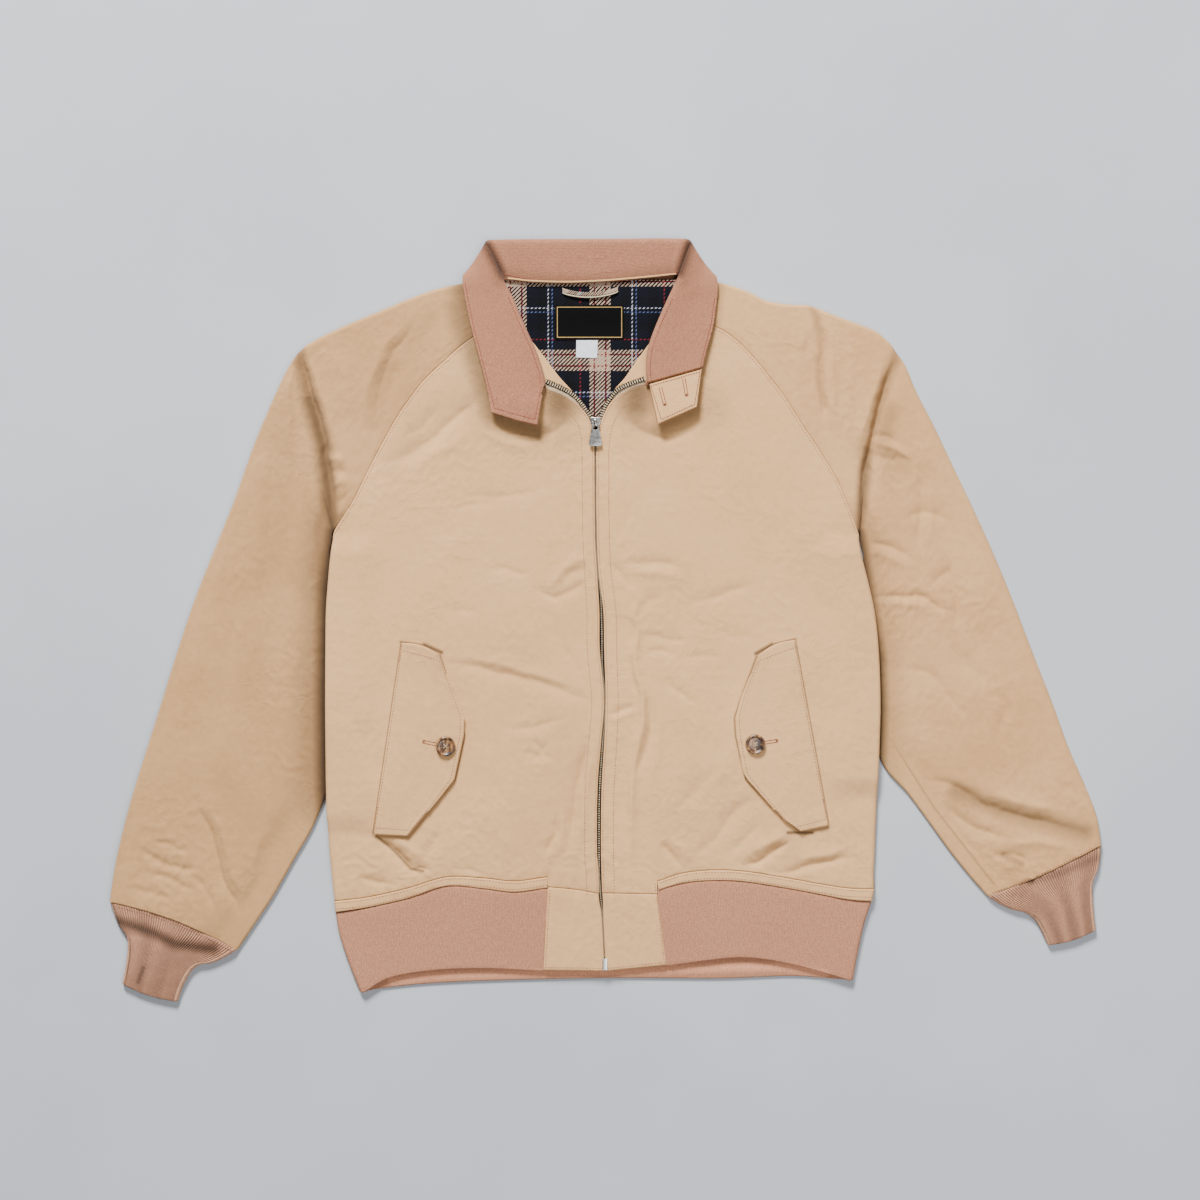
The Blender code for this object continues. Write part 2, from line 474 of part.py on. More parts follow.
def rolled_half(inner_end, outer_end, radius, roll, first_share, inside_count,
                top_of, bottom_of, upper):
    """Outer and inner points of a panel row that ends in a quarter roll at a side.

    inner_end and outer_end are plan places, roll is 1 for a rolled edge and 0 for
    a flat one, and upper says whether the row belongs to the upper layer.
    """
    start = np.array(inner_end, dtype=float)
    end = np.array(outer_end, dtype=float)
    along = unit(end - start)
    length = np.linalg.norm(end - start)
    radius = min(radius, 0.4 * length)
    base = end - along * radius
    sign = 1.0 if upper else -1.0
    outside_of = top_of if upper else bottom_of
    inside_of = bottom_of if upper else top_of
    outer, inner = [], []
    for distance in row_distances(length, radius, first_share, inside_count):
        x, y = start + along * distance
        outer.append((x, y, outside_of(x, y)))
        inner.append((x, y, inside_of(x, y)))
    centre = outer[-1][2] - sign * radius
    for k in range(1, ROLL_STEPS + 1):
        angle = math.radians(90 * k / ROLL_STEPS)
        seam = HALF_SEAM * sign if k == ROLL_STEPS else 0.0
        flat_xy = base + along * radius * k / ROLL_STEPS
        for points, reach, height_of in ((outer, radius, outside_of),
                                         (inner, max(radius - CLOTH, 0.1), inside_of)):
            rolled_xy = base + along * reach * math.sin(angle)
            rolled_z = centre + sign * reach * math.cos(angle) + seam
            x, y = mix(flat_xy, rolled_xy, roll)
            z = mix(height_of(*flat_xy), rolled_z, roll)
            points.append((x, y, z))
    return outer, inner


def roll_radius(x, y):
    """Half the height of the two layers at a side fold."""
    return (2 * CLOTH + mix(LAYER_GAP, SIDE_GAP, side_raise(x, y))) / 2


def zip_edge(y, left):
    """x of a front's zip edge."""
    middle = np.interp(y, [z.y for z in ZIP_LINE], [z.middle_x for z in ZIP_LINE])
    gap = np.interp(y, [z.y for z in ZIP_LINE], [z.gap for z in ZIP_LINE])
    return float(middle + (gap / 2 if left else -gap / 2))


def front_rows(left):
    """Ends of each front row: raglan rows, then rows down the side."""
    yoke = YOKE_LEFT if left else YOKE_RIGHT
    rows = [((r.throat_x, r.throat_y), (r.seam_x, r.seam_y), 0.0) for r in yoke]
    for number, level in enumerate(SIDE_EDGES[1:]):
        y = min(level.y, hem_side(left)[1])
        lag = max(0, 24 - 6 * (number + 1))
        rows.append(((zip_edge(y - lag, left), y - lag), (side_edge(y, left), y), 1.0))
    return rows


def hem_side(left):
    """Plan place of the hem's end at a side fold."""
    end = HEM_LEFT[-1] if left else HEM_RIGHT[0]
    return end.x, end.panel_y


def hem_level(x, left):
    """Board y where a front panel ends, over its block and its rib."""
    hem = [(h.x, h.panel_y) for h in (HEM_LEFT if left else HEM_RIGHT)]
    block = BLOCK_TOP_LEFT if left else BLOCK_TOP_RIGHT
    if left:
        return read_curve(block, x) if x < 657 else read_curve(hem, x)
    return read_curve(block, x) if x > 547.5 else read_curve(hem, x)


def drawn_to_hem(points, left, last_side_y):
    """Lower rows bend to follow the hem, the last one exactly."""
    result = []
    for x, y, z in points:
        share = smooth_step(last_side_y - 110, last_side_y, y)
        result.append((x, mix(y, hem_level(x, left) - HALF_SEAM + (y - last_side_y) * 0.75, share), z))
    return result


def make_front(name, left):
    """One front: zip edge or throat to raglan seam and side fold; also its hem row."""
    outer_grid, inner_grid = [], []
    rows = front_rows(left)
    last_side_y = rows[-1][1][1]
    share = BLOCK_SHARE_LEFT if left else BLOCK_SHARE_RIGHT
    for centre, edge, roll in rows:
        along = unit(np.array(edge) - np.array(centre))
        end = np.array(edge) - along * HALF_SEAM * (1 - roll)
        outer, inner = rolled_half(centre, end, roll_radius(*edge), roll, share, 6,
                                   front_top, front_bottom, True)
        if edge[1] > 760:
            outer = drawn_to_hem(outer, left, last_side_y)
            inner = drawn_to_hem(inner, left, last_side_y)
        outer_grid.append(outer)
        inner_grid.append(inner)
    return wall(name, outer_grid, inner_grid, TAN), outer_grid[-1], inner_grid[-1]


def make_back():
    """The back: neck edge to hem, rolled up at both sides below the underarm."""
    outer_grid, inner_grid = [], []
    rows = [((r.back_x, r.back_y), (l.back_x, l.back_y), 0.0)
            for r, l in zip(YOKE_RIGHT, YOKE_LEFT)]
    for level in SIDE_EDGES[1:]:
        left_y = min(level.y, hem_side(True)[1])
        rows.append(((side_edge(level.y, False), level.y), (side_edge(left_y, True), left_y), 1.0))
    (right_x, right_y), (left_x, left_y) = BACK_RIB_TOP
    rows.append(((right_x, right_y - SEAM), (left_x, left_y - SEAM), 1.0))
    for right_end, left_end, roll in rows:
        middle = mix(np.array(right_end), np.array(left_end), 0.5)
        halves = []
        for end in (right_end, left_end):
            along = unit(np.array(end) - middle)
            place = np.array(end) - along * HALF_SEAM * (1 - roll)
            halves.append(rolled_half(middle, place, roll_radius(*end), roll, 0, 3,
                                      back_top, back_bottom, False))
        outer_grid.append(halves[0][0][::-1] + halves[1][0][1:])
        inner_grid.append(halves[0][1][::-1] + halves[1][1][1:])
    return wall("back_panel", outer_grid, inner_grid, TAN)


def beside_block(y, left):
    """x just outside a hem block's side at board height y."""
    side = BLOCK_SIDE_LEFT if left else BLOCK_SIDE_RIGHT
    x = float(np.interp(y, [p[1] for p in side], [p[0] for p in side]))
    return x + (SEAM if left else -SEAM)


def welt_place(x, y, t, left):
    """Where a hem-row place goes at share t of the welt's depth."""
    hem = HEM_LEFT if left else HEM_RIGHT
    side, block = (hem[-1].x, hem[0].x) if left else (hem[0].x, hem[-1].x)
    side_low = RIB_FOLDS[0].left_x if left else RIB_FOLDS[0].right_x
    share = (x - block) / (side - block)
    low_x = mix(block, side_low, share)
    low_y = read_curve([(h.x, h.rib_y) for h in hem], low_x) - HALF_SEAM
    place_y = mix(y + SEAM, low_y, t)
    if abs(share) < 0.01:
        return beside_block(place_y, left), place_y
    return mix(x, low_x, t), place_y


def make_welt(name, left, hem_outer, hem_inner):
    """The folded edge of a front over the rib seam; gives the places of its lower edge."""
    outer_grid, inner_grid = [], []
    for t, rise in ((0.0, 0.0), (0.5, WELT_RISE), (1.0, 0.0)):
        outer_grid.append([(*welt_place(x, y, t, left), z + rise) for x, y, z in hem_outer[2:]])
        inner_grid.append([(*welt_place(x, y, t, left), z) for x, y, z in hem_inner[2:]])
    wall(name, outer_grid, inner_grid, TAN)
    return [(x, y) for x, y, z in outer_grid[-1][:-ROLL_STEPS]]


def make_block(name, left, hem_outer):
    """The shell-cloth block that ends the waist rib beside the zip."""
    foot_x, foot_y = BLOCK_SIDE_LEFT[1] if left else BLOCK_SIDE_RIGHT[1]
    rows = 4
    outer_grid, inner_grid = [], []
    for i in range(rows):
        t = i / (rows - 1)
        outer, inner = [], []
        for (x, y, _), u in zip(hem_outer[:3], (0.0, 0.5, 1.0)):
            low = mix(np.array((zip_edge(971, left), 971.0)), np.array((foot_x, foot_y)), u)
            place = mix(np.array((x, y + SEAM)), low, t)
            if u == 0:
                place[0] = zip_edge(place[1], left)
            outer.append((*place, front_top(*place)))
            inner.append((*place, front_bottom(*place)))
        outer_grid.append(outer)
        inner_grid.append(inner)
    return wall(name, outer_grid, inner_grid, TAN)


# ---------------------------------------------------------------- sleeves
def sleeve_top(x, y, row, distance, length):
    """Height of a sleeve's upper layer at a distance from its inner fold."""
    crown = mix(UNDERARM_HEIGHT, SLEEVE_HEIGHT, smooth_step(20, 46, distance))
    fade = smooth_step(14, 40, distance) * smooth_step(0, 16, length - distance)
    return mix(crown + creases(x, y) * fade, front_top(x, y), row.yoke)


def sleeve_bottom(x, y, row):
    return COLLAR_LIFT * collar_raise(x, y) * row.yoke


class SleeveRun:
    """A straight or bowed run across a sleeve, from its overarm to one of its ends."""

    def __init__(self, row, end):
        self.start = np.array(row.over, dtype=float)
        self.length = float(np.linalg.norm(np.array(end) - self.start))
        self.along = (np.array(end) - self.start) / self.length
        side = np.array((self.along[1], -self.along[0]))
        self.side = side if side[1] < 0 else -side
        self.bow = row.bow

    def place(self, distance):
        bow = self.bow * math.sin(math.pi * min(1.0, max(0.0, distance / self.length)))
        return self.start + self.along * distance + self.side * bow


def sleeve_end(run, row, radius, height_of, sign):
    """Last points of one layer: flat to a raglan seam or rolled to the underarm seam."""
    stop = run.length - radius
    seam = HALF_SEAM * (1 - row.pressed)
    base_z = height_of(*run.place(stop))
    outer, inner = [], []
    for k in range(1, ROLL_STEPS + 1):
        angle = math.radians(90 * k / ROLL_STEPS)
        shift = sign * HALF_SEAM if k == ROLL_STEPS else 0.0
        flat_d = stop + (radius - seam) * k / ROLL_STEPS
        for points, reach, lift in ((outer, radius, 0.0), (inner, max(radius - CLOTH, 0.1), -sign * CLOTH)):
            d = mix(flat_d, stop + reach * math.sin(angle), row.pressed)
            x, y = run.place(d)
            flat_z = height_of(*run.place(flat_d)) + lift
            round_z = base_z - sign * radius + sign * reach * math.cos(angle) + shift
            points.append((x, y, mix(flat_z, round_z, row.pressed)))
    return outer, inner


def sleeve_section(row, fold_steps=4, top_count=7, bottom_count=3):
    """Outer and inner points round a sleeve, from the back seam to the front seam."""
    upper, lower = SleeveRun(row, row.front), SleeveRun(row, row.back)
    under_radius = UNDERARM_HEIGHT / 2

    def top_z(x, y):
        distance = float(np.linalg.norm(np.array((x, y)) - np.array(row.front)))
        return sleeve_top(x, y, row, distance, upper.length)

    def low_z(x, y):
        return sleeve_bottom(x, y, row)

    probe = upper.place(5.0)
    over_low = low_z(*probe)
    over_radius = (top_z(*probe) - over_low) / 2
    end_outer, end_inner = sleeve_end(lower, row, under_radius, low_z, -1)
    outer, inner = end_outer[::-1], end_inner[::-1]
    for k in range(bottom_count):
        x, y = lower.place(mix(lower.length - under_radius, over_radius, k / bottom_count))
        outer.append((x, y, low_z(x, y)))
        inner.append((x, y, low_z(x, y) + CLOTH))
    for k in range(fold_steps + 1):
        angle = math.pi * k / fold_steps
        for points, reach in ((outer, over_radius), (inner, over_radius - CLOTH)):
            d = over_radius - reach * math.sin(angle)
            x, y = mix(lower.place(d), upper.place(d), k / fold_steps)
            points.append((x, y, over_low + over_radius - reach * math.cos(angle)))
    for k in range(1, top_count + 1):
        x, y = upper.place(mix(over_radius, upper.length - under_radius, k / top_count))
        outer.append((x, y, top_z(x, y)))
        inner.append((x, y, top_z(x, y) - CLOTH))
    end_outer, end_inner = sleeve_end(upper, row, under_radius, top_z, 1)
    return outer + end_outer, inner + end_inner


def make_sleeve(name, left):
    """A raglan sleeve: one folded tube, open at its underarm seam."""
    yoke, below = (YOKE_LEFT, SLEEVE_LEFT) if left else (YOKE_RIGHT, SLEEVE_RIGHT)
    bows = np.interp(range(len(yoke)), (0, len(yoke) - 3, len(yoke) - 1), (0, 0, below[0].bow))
    rows = [Section((r.over_x, r.over_y), (r.seam_x, r.seam_y), (r.back_x, r.back_y), 1, 0, bow)
            for r, bow in zip(yoke, bows)]
    rows += [Section((r.over_x, r.over_y), (r.under_x, r.under_y), (r.under_x, r.under_y), 0, 1, r.bow)
             for r in below]
    sections = [sleeve_section(row) for row in rows]
    return wall(name, [s[0] for s in sections], [s[1] for s in sections], TAN)


# ----------------------------------------------------- cuffs and waist rib
CUFF_FOLD_STEPS = 4       # facets round each fold of a cuff
CUFF_UNDER_STEPS = 3      # spans of the cuff's lower layer
CUFF_INNER_SPANS = 4      # spans of the plain inner wall's upper layer


def cuff_ring(row, bow, upper_steps, offset, ribbed):
    """One ring of a flattened knit tube, offset inward from its outside."""
    low = np.array((row.low_x, row.low_y))
    high = np.array((row.high_x, row.high_y))
    length = np.linalg.norm(high - low)
    along = (high - low) / length
    side = np.array((along[1], -along[0]))
    if side[1] > 0:
        side = -side
    radius = row.height / 2
    reach = radius - offset
    ring = []

    def add(distance, z):
        share = min(1.0, max(0.0, distance / length))
        ring.append((*(low + along * distance + side * bow * math.sin(math.pi * share)), z))

    for k in range(CUFF_UNDER_STEPS + 1):
        add(mix(length - radius, radius, k / CUFF_UNDER_STEPS), offset)
    for k in range(1, CUFF_FOLD_STEPS):
        angle = math.pi * k / CUFF_FOLD_STEPS
        add(radius - reach * math.sin(angle), radius - reach * math.cos(angle))
    for k in range(upper_steps + 1):
        rib = 0.0
        if ribbed:
            rib = RIB_DEPTH if k % 2 else -RIB_DEPTH
        add(mix(radius, length - radius, k / upper_steps), row.height - offset + rib)
    for k in range(1, CUFF_FOLD_STEPS):
        angle = math.pi * k / CUFF_FOLD_STEPS
        add(length - radius + reach * math.sin(angle), radius + reach * math.cos(angle))
    return ring


def bridge_rings(mesh_data, outer, inner):
    """Close the rim between two rings of unequal count, going round both together."""
    shares = []
    for ring, upper in ((outer, len(outer) - 2 * CUFF_FOLD_STEPS - CUFF_UNDER_STEPS),
                        (inner, CUFF_INNER_SPANS)):
        lead = CUFF_UNDER_STEPS + CUFF_FOLD_STEPS
        share = [float(k) for k in range(lead)]
        share += [lead + CUFF_INNER_SPANS * k / upper for k in range(upper + 1)]
        share += [lead + CUFF_INNER_SPANS + k for k in range(1, CUFF_FOLD_STEPS + 1)]
        shares.append(share)
    i = j = 0
    while i < len(outer) or j < len(inner):
        step_outer = j == len(inner) or (i < len(outer) and shares[0][i + 1] <= shares[1][j + 1])
        here, there = outer[i % len(outer)], inner[j % len(inner)]
        if step_outer:
            i += 1
            mesh_data.faces.new((here, outer[i % len(outer)], there))
        else:
            j += 1
            mesh_data.faces.new((here, inner[j % len(inner)], there))


def make_cuff(name, table, bows):
    """A rib-knit cuff: ribs raised on its upper side over a plain inside."""
    first = table[0]
    width = math.hypot(first.high_x - first.low_x, first.high_y - first.low_y)
    ribs = round((width - first.height) / RIB_PITCH)
    mesh_data = bmesh.new()
    outer, inner = [], []
    for row, bow in zip(table, bows):
        for rings, steps, offset, ribbed in ((outer, 2 * ribs, 0.0, True),
                                             (inner, CUFF_INNER_SPANS, KNIT, False)):
            places = cuff_ring(row, bow, steps, offset, ribbed)
            rings.append([mesh_data.verts.new(to_metres(p)) for p in places])
    for rings in (outer, inner):
        for a, b in zip(rings[:-1], rings[1:]):
            for i in range(len(a)):
                k = (i + 1) % len(a)
                mesh_data.faces.new((a[i], a[k], b[k], b[i]))
    for end in (0, -1):
        bridge_rings(mesh_data, outer[end], inner[end])
    return finish_object(name, mesh_data, RIB)


RIB_FOLD_STEPS = 5        # facets round a side fold of the waist rib
RIB_BACK_SPANS = 8


def rib_front_line(top_places, low_curve, fold, t, left):
    """Places across one front of the waist rib, from its block to its side fold."""
    block_x, end_x = top_places[0][0], top_places[-1][0]
    foot_x = beside_block(low_curve[0][1] if left else low_curve[-1][1], left)
    side_x = low_curve[-1][0] if left else low_curve[0][0]
    line = []
    for x, y in top_places:
        low_x = mix(foot_x, side_x, (x - block_x) / (end_x - block_x))
        line.append((mix(x, low_x, t), mix(y + SEAM, read_curve(low_curve, low_x), t)))
    line[0] = (beside_block(line[0][1], left), line[0][1])
    slip = fold - np.array(line[-1])
    last = len(line) - 1
    return [(x + slip[0] * (k / last) ** 2, y + slip[1] * (k / last) ** 2)
            for k, (x, y) in enumerate(line)]


def make_waist_rib(right_places, left_places):
    """The waist rib: from block to block round both side folds, open at the zip."""
    radius = (2 * KNIT + RIB_GAP) / 2
    height = 2 * radius
    outer_grid, inner_grid = [], []
    for i, row in enumerate(RIB_FOLDS):
        t = i / (len(RIB_FOLDS) - 1)
        right = rib_front_line(right_places, RIB_FRONT_RIGHT_EDGE,
                               np.array((row.right_x + radius, row.right_y)), t, False)
        left = rib_front_line(left_places, RIB_FRONT_LEFT_EDGE,
                              np.array((row.left_x - radius, row.left_y)), t, True)
        outer = [(x, y, height) for x, y in right]
        inner = [(x, y, height - KNIT) for x, y in right]
        for k in range(1, RIB_FOLD_STEPS):
            angle = math.pi * k / RIB_FOLD_STEPS
            for points, reach in ((outer, radius), (inner, radius - KNIT)):
                points.append((row.right_x + radius - reach * math.sin(angle), row.right_y,
                               radius + reach * math.cos(angle)))
        across = [mix(row.right_x + radius, row.left_x - radius, k / RIB_BACK_SPANS)
                  for k in range(RIB_BACK_SPANS + 1)]
        down = [mix(read_curve(BACK_RIB_TOP, x) + HALF_SEAM, read_curve(RIB_BACK_EDGE, x), t)
                for x in across]
        slip_right, slip_left = row.right_y - down[0], row.left_y - down[-1]
        for k, (x, y) in enumerate(zip(across, down)):
            u = k / RIB_BACK_SPANS
            y += (1 - u) ** 6 * slip_right + u ** 6 * slip_left
            outer.append((x, y, 0.0))
            inner.append((x, y, KNIT))
        for k in range(1, RIB_FOLD_STEPS):
            angle = math.pi * k / RIB_FOLD_STEPS
            for points, reach in ((outer, radius), (inner, radius - KNIT)):
                points.append((row.left_x - radius + reach * math.sin(angle), row.left_y,
                               radius - reach * math.cos(angle)))
        outer += [(x, y, height) for x, y in left[::-1]]
        inner += [(x, y, height - KNIT) for x, y in left[::-1]]
        outer_grid.append(outer)
        inner_grid.append(inner)
    return wall("waist_rib", outer_grid, inner_grid, RIB)


# ------------------------------------------------------------------ collar
def collar_section(row):
    """Middle line of the collar from the stand's seam over the roll to the free edge."""
    seam = np.array((row.seam_x, row.seam_y))
    roll = np.array((row.roll_x, row.roll_y))
    free = np.array((row.free_x, row.free_y))
    stand_way = unit(seam - roll)
    fall_way = unit(free - roll)
    stand_leg = roll + stand_way * LEG_LENGTH
    fall_leg = roll + fall_way * LEG_LENGTH
    middle_z = (row.stand_z + row.fall_z) / 2
    rise = (row.fall_z - row.stand_z) / 2
    points = [(*seam, row.seam_z), (*mix(seam, stand_leg, 0.5), mix(row.seam_z, row.stand_z, 0.5)),
              (*stand_leg, row.stand_z)]
    for share in (-0.7, 0.0, 0.7):
        way = stand_way if share < 0 else fall_way
        reach = LEG_LENGTH * (1 - math.cos(math.asin(abs(share)))) * 1.1
        points.append((*(roll + way * reach), middle_z + rise * share))
    points.append((*fall_leg, row.fall_z))
    for t in (0.3, 0.62):
        points.append((*mix(fall_leg, free, t), mix(row.fall_z, row.free_z, smooth_step(0, 0.62, t))))
    points.append((*free, row.free_z))
    return points


def make_collar():
    """The knit collar in one piece: right wing, back and left wing."""
    rows = list(COLLAR_RIGHT) + list(COLLAR_LEFT[::-1])
    middle = [collar_section(row) for row in rows]
    return thick_sheet("collar", middle, KNIT, RIB)


def make_collar_tab():
    """The shell-cloth tab that ends the left wing."""
    a, b, c, d = (np.array(p) for p in TAB_CORNERS)
    middle = []
    for i in range(4):
        t = i / 3
        row = []
        for j in range(5):
            u = j / 4
            x, y = mix(mix(a, b, u), mix(d, c, u), t)
            z = mix(mix(15.0, 12.9, u ** 1.4), mix(14.8, 13.2, u), t)
            row.append((x, y, z))
        middle.append(row)
    return thick_sheet("collar_tab", middle, KNIT, TAN)


def make_neck_tape():
    """Narrow tape over the seam of the collar stand and the lining."""
    middle = []
    for x in np.linspace(508, 676, 9):
        y = read_curve([(506, 280.5), (514, 281), (532, 283), (568, 284), (605, 282.5),
                        (630, 280.5), (656, 278), (678.5, 275.6)], x)
        middle.append([(x, y - 4.0, 12.9), (x, y - 0.6, 12.7)])
    return thick_sheet("neck_tape", middle, LABEL, TAN)


# ------------------------------------------------------------ neck inside
def make_lining(back_surface):
    """The part of the lining that shows in the throat, laid on the back."""
    outer_grid, inner_grid = [], []
    for row in LINING_ROWS:
        places = [(x, row.y) for x in np.linspace(row.right_x, row.left_x, 9)]
        levels = [back_surface.height(x, y, back_top(x, y)) + LINING_LIFT for x, y in places]
        outer_grid.append([(x, y, z + LINING) for (x, y), z in zip(places, levels)])
        inner_grid.append([(x, y, z) for (x, y), z in zip(places, levels)])
    return wall("lining", outer_grid, inner_grid, PLAID)


def make_facing(name, table, inside):
    """Inside facing of a front, between the lining and the zip tape."""
    outer_grid, inner_grid = [], []
    for row in table:
        outer, inner = [], []
        for u in (0.0, 0.5, 1.0):
            x = mix(row.lining_x, row.tape_x, u)
            y = mix(row.lining_y, row.tape_y, u)
            z = mix(inside.height(x, y, 5.0) + SEAM + FACING, 8.2, u)
            outer.append((x, y, z))
            inner.append((x, y, z - FACING))
        outer_grid.append(outer)
        inner_grid.append(inner)
    return wall(name, outer_grid, inner_grid, TAN)


def make_tape(name, left):
    """One side of the zip tape, from the throat to the hem."""
    throat = TAPE_LEFT_THROAT if left else TAPE_RIGHT_THROAT
    rows = [((r.edge_x, r.edge_y), (r.under_x, r.under_y)) for r in throat]
    side = 1 if left else -1
    for level in (460, 505, 560, 610, 660, 690, 712, 746, 788, 835, 880, 925, 969):
        middle = 595.2 + side * TAPE_SHOWS
        if level >= 505:
            middle = (zip_edge(level, True) + zip_edge(level, False)) / 2 + side * TAPE_SHOWS
        rows.append(((middle, level), (zip_edge(max(level, 505), left) + side * TAPE_UNDER, level)))
    outer_grid, inner_grid = [], []
    for edge, under in rows:
        outer, inner = [], []
        for u in (0.0, 0.35, 1.0):
            x, y = mix(np.array(edge), np.array(under), u)
            z = back_top(x, y) + layer_gap(x, y) - 1.5 * SEAM
            outer.append((x, y, z))
            inner.append((x, y, z - TAPE))
        outer_grid.append(outer)
        inner_grid.append(inner)
    return wall(name, outer_grid, inner_grid, TAPE_CLOTH)


def make_patch(name, corners, rows, columns, surface, thickness, finish):
    """A small four-sided label laid on the surface below it."""
    a, b, c, d = (np.array(p, dtype=float) for p in corners)
    outer_grid, inner_grid = [], []
    for i in range(rows):
        outer, inner = [], []
        for j in range(columns):
            x, y = mix(mix(a, b, j / (columns - 1)), mix(d, c, j / (columns - 1)), i / (rows - 1))
            z = surface.height(x, y, 5.0) + SEAM
            outer.append((x, y, z + thickness))
            inner.append((x, y, z))
        outer_grid.append(outer)
        inner_grid.append(inner)
    return wall(name, outer_grid, inner_grid, finish)


def make_hanger_loop(surface):
    """The short loop of lining cloth at the neck, sewn down at both ends."""
    outer_grid, inner_grid = [], []
    count = 13
    for i in range(count):
        t = i / (count - 1)
        x = mix(562.5, 618.0, t)
        arch = math.sin(math.pi * t) ** 0.7
        y = mix(287.2, 286.0, t) + 5.4 * arch
        width = 5.2
        z = surface.height(x, y + width, 5.0) + SEAM + 1.4 * arch
        outer_grid.append([(x, y, z + 1.6), (x, y + width, z + 1.2)])
        inner_grid.append([(x, y, z), (x, y + width, z)])
    return wall("hanger_loop", outer_grid, inner_grid, PLAID)


# ------------------------------------------------------- pockets, buttons
def make_flap(name, outline, surface):
    """A pocket flap laid on its front, a little domed."""
    centre = np.mean(np.array(outline, dtype=float), axis=0)
    dense = []
    for i, point in enumerate(outline):
        after = outline[(i + 1) % len(outline)]
        steps = max(1, round(math.dist(point, after) / 22))
        dense += [mix(np.array(point, dtype=float), np.array(after), k / steps) for k in range(steps)]
    rings = [1.0, 0.66, 0.33]
    mesh_data = bmesh.new()
    tops, lows = [], []
    for ring in rings:
        places = [centre + (p - centre) * ring for p in dense]
        heights = [surface.height(x, y, 9.0) + SEAM + 0.25 for x, y in places]
        lows.append([mesh_data.verts.new(to_metres((x, y, z))) for (x, y), z in zip(places, heights)])
        tops.append([mesh_data.verts.new(to_metres((x, y, z + CLOTH)))
                     for (x, y), z in zip(places, heights)])
    count = len(dense)
    for layer in (tops, lows):
        for a, b in zip(layer[:-1], layer[1:]):
            for i in range(count):
                k = (i + 1) % count
                mesh_data.faces.new((a[i], a[k], b[k], b[i]))
        z = surface.height(*centre, 9.0) + SEAM + 0.25 + (CLOTH if layer is tops else 0.0)
        middle = mesh_data.verts.new(to_metres((*centre, z)))
        for i in range(count):
            mesh_data.faces.new((layer[-1][i], layer[-1][(i + 1) % count], middle))
    for i in range(count):
        k = (i + 1) % count
        mesh_data.faces.new((tops[0][i], tops[0][k], lows[0][k], lows[0][i]))
    return finish_object(name, mesh_data, TAN)


def make_button(name, place, surface):
    """A four-hole horn button with a raised rim."""
    base = max(surface.height(place[0] + BUTTON_RADIUS * 0.8 * math.cos(a),
                              place[1] + BUTTON_RADIUS * 0.8 * math.sin(a), 12.0)
               for a in np.linspace(0, 2 * math.pi, 9)) + SEAM
    profile = ((0.0, 0.0), (7.0, 0.0), (9.4, 0.9), (10.0, 1.9), (9.5, 3.0), (8.6, 3.4),
               (7.4, 3.1), (6.4, 2.1), (0.0, 1.9))
    segments = 16
    mesh_data = bmesh.new()
    rings = []
    for radius, z in profile:
        if radius == 0.0:
            rings.append([mesh_data.verts.new(to_metres((place[0], place[1], base + z)))])
            continue
        rings.append([mesh_data.verts.new(to_metres((place[0] + radius * math.cos(a),
                                                     place[1] + radius * math.sin(a), base + z)))
                      for a in np.linspace(0, 2 * math.pi, segments, endpoint=False)])
    for a, b in zip(rings[:-1], rings[1:]):
        for i in range(segments):
            k = (i + 1) % segments
            if len(a) == 1:
                mesh_data.faces.new((a[0], b[k], b[i]))
            elif len(b) == 1:
                mesh_data.faces.new((a[i], a[k], b[0]))
            else:
                mesh_data.faces.new((a[i], a[k], b[k], b[i]))
    button = finish_object(name, mesh_data, HORN)
    for dx, dy in ((2, 2), (2, -2), (-2, 2), (-2, -2)):
        bpy.ops.mesh.primitive_cylinder_add(vertices=8, radius=0.0009, depth=0.012,
                                            location=to_metres((place[0] + dx, place[1] + dy, base)))
        cutter = bpy.context.object
        cutter.name = f"{name}_hole_cutter"
        cutter.hide_render = True
        cutter.display_type = "WIRE"
        hole = button.modifiers.new("hole", "BOOLEAN")
        hole.operation = "DIFFERENCE"
        hole.solver = "EXACT"
        hole.object = cutter
    return button


# --------------------------------------------------------------- zip parts
def make_slider():
    """The slider at the throat, cast with the bail that holds the pull's pin."""
    x, y = SLIDER_AT
    outline = []
    for dx, dy in ((-4.2, -4.5), (4.2, -4.5), (5.2, -3.2), (5.2, 0.5), (3.6, 4.5), (-3.6, 4.5),
                   (-5.2, 0.5), (-5.2, -3.2)):
        outline.append((x + dx, y + dy))
    slider = prism("zip_slider", outline, lambda a, b: SLIDER_BASE,
                   lambda a, b: SLIDER_BASE + SLIDER_HEIGHT, NICKEL)
    bail = make_bail_form(x, y, SLIDER_BASE + SLIDER_HEIGHT)
    bail.hide_render = True
    bail.display_type = "WIRE"
    join = slider.modifiers.new("bail", "BOOLEAN")
    join.operation = "UNION"
    join.solver = "EXACT"
    join.object = bail


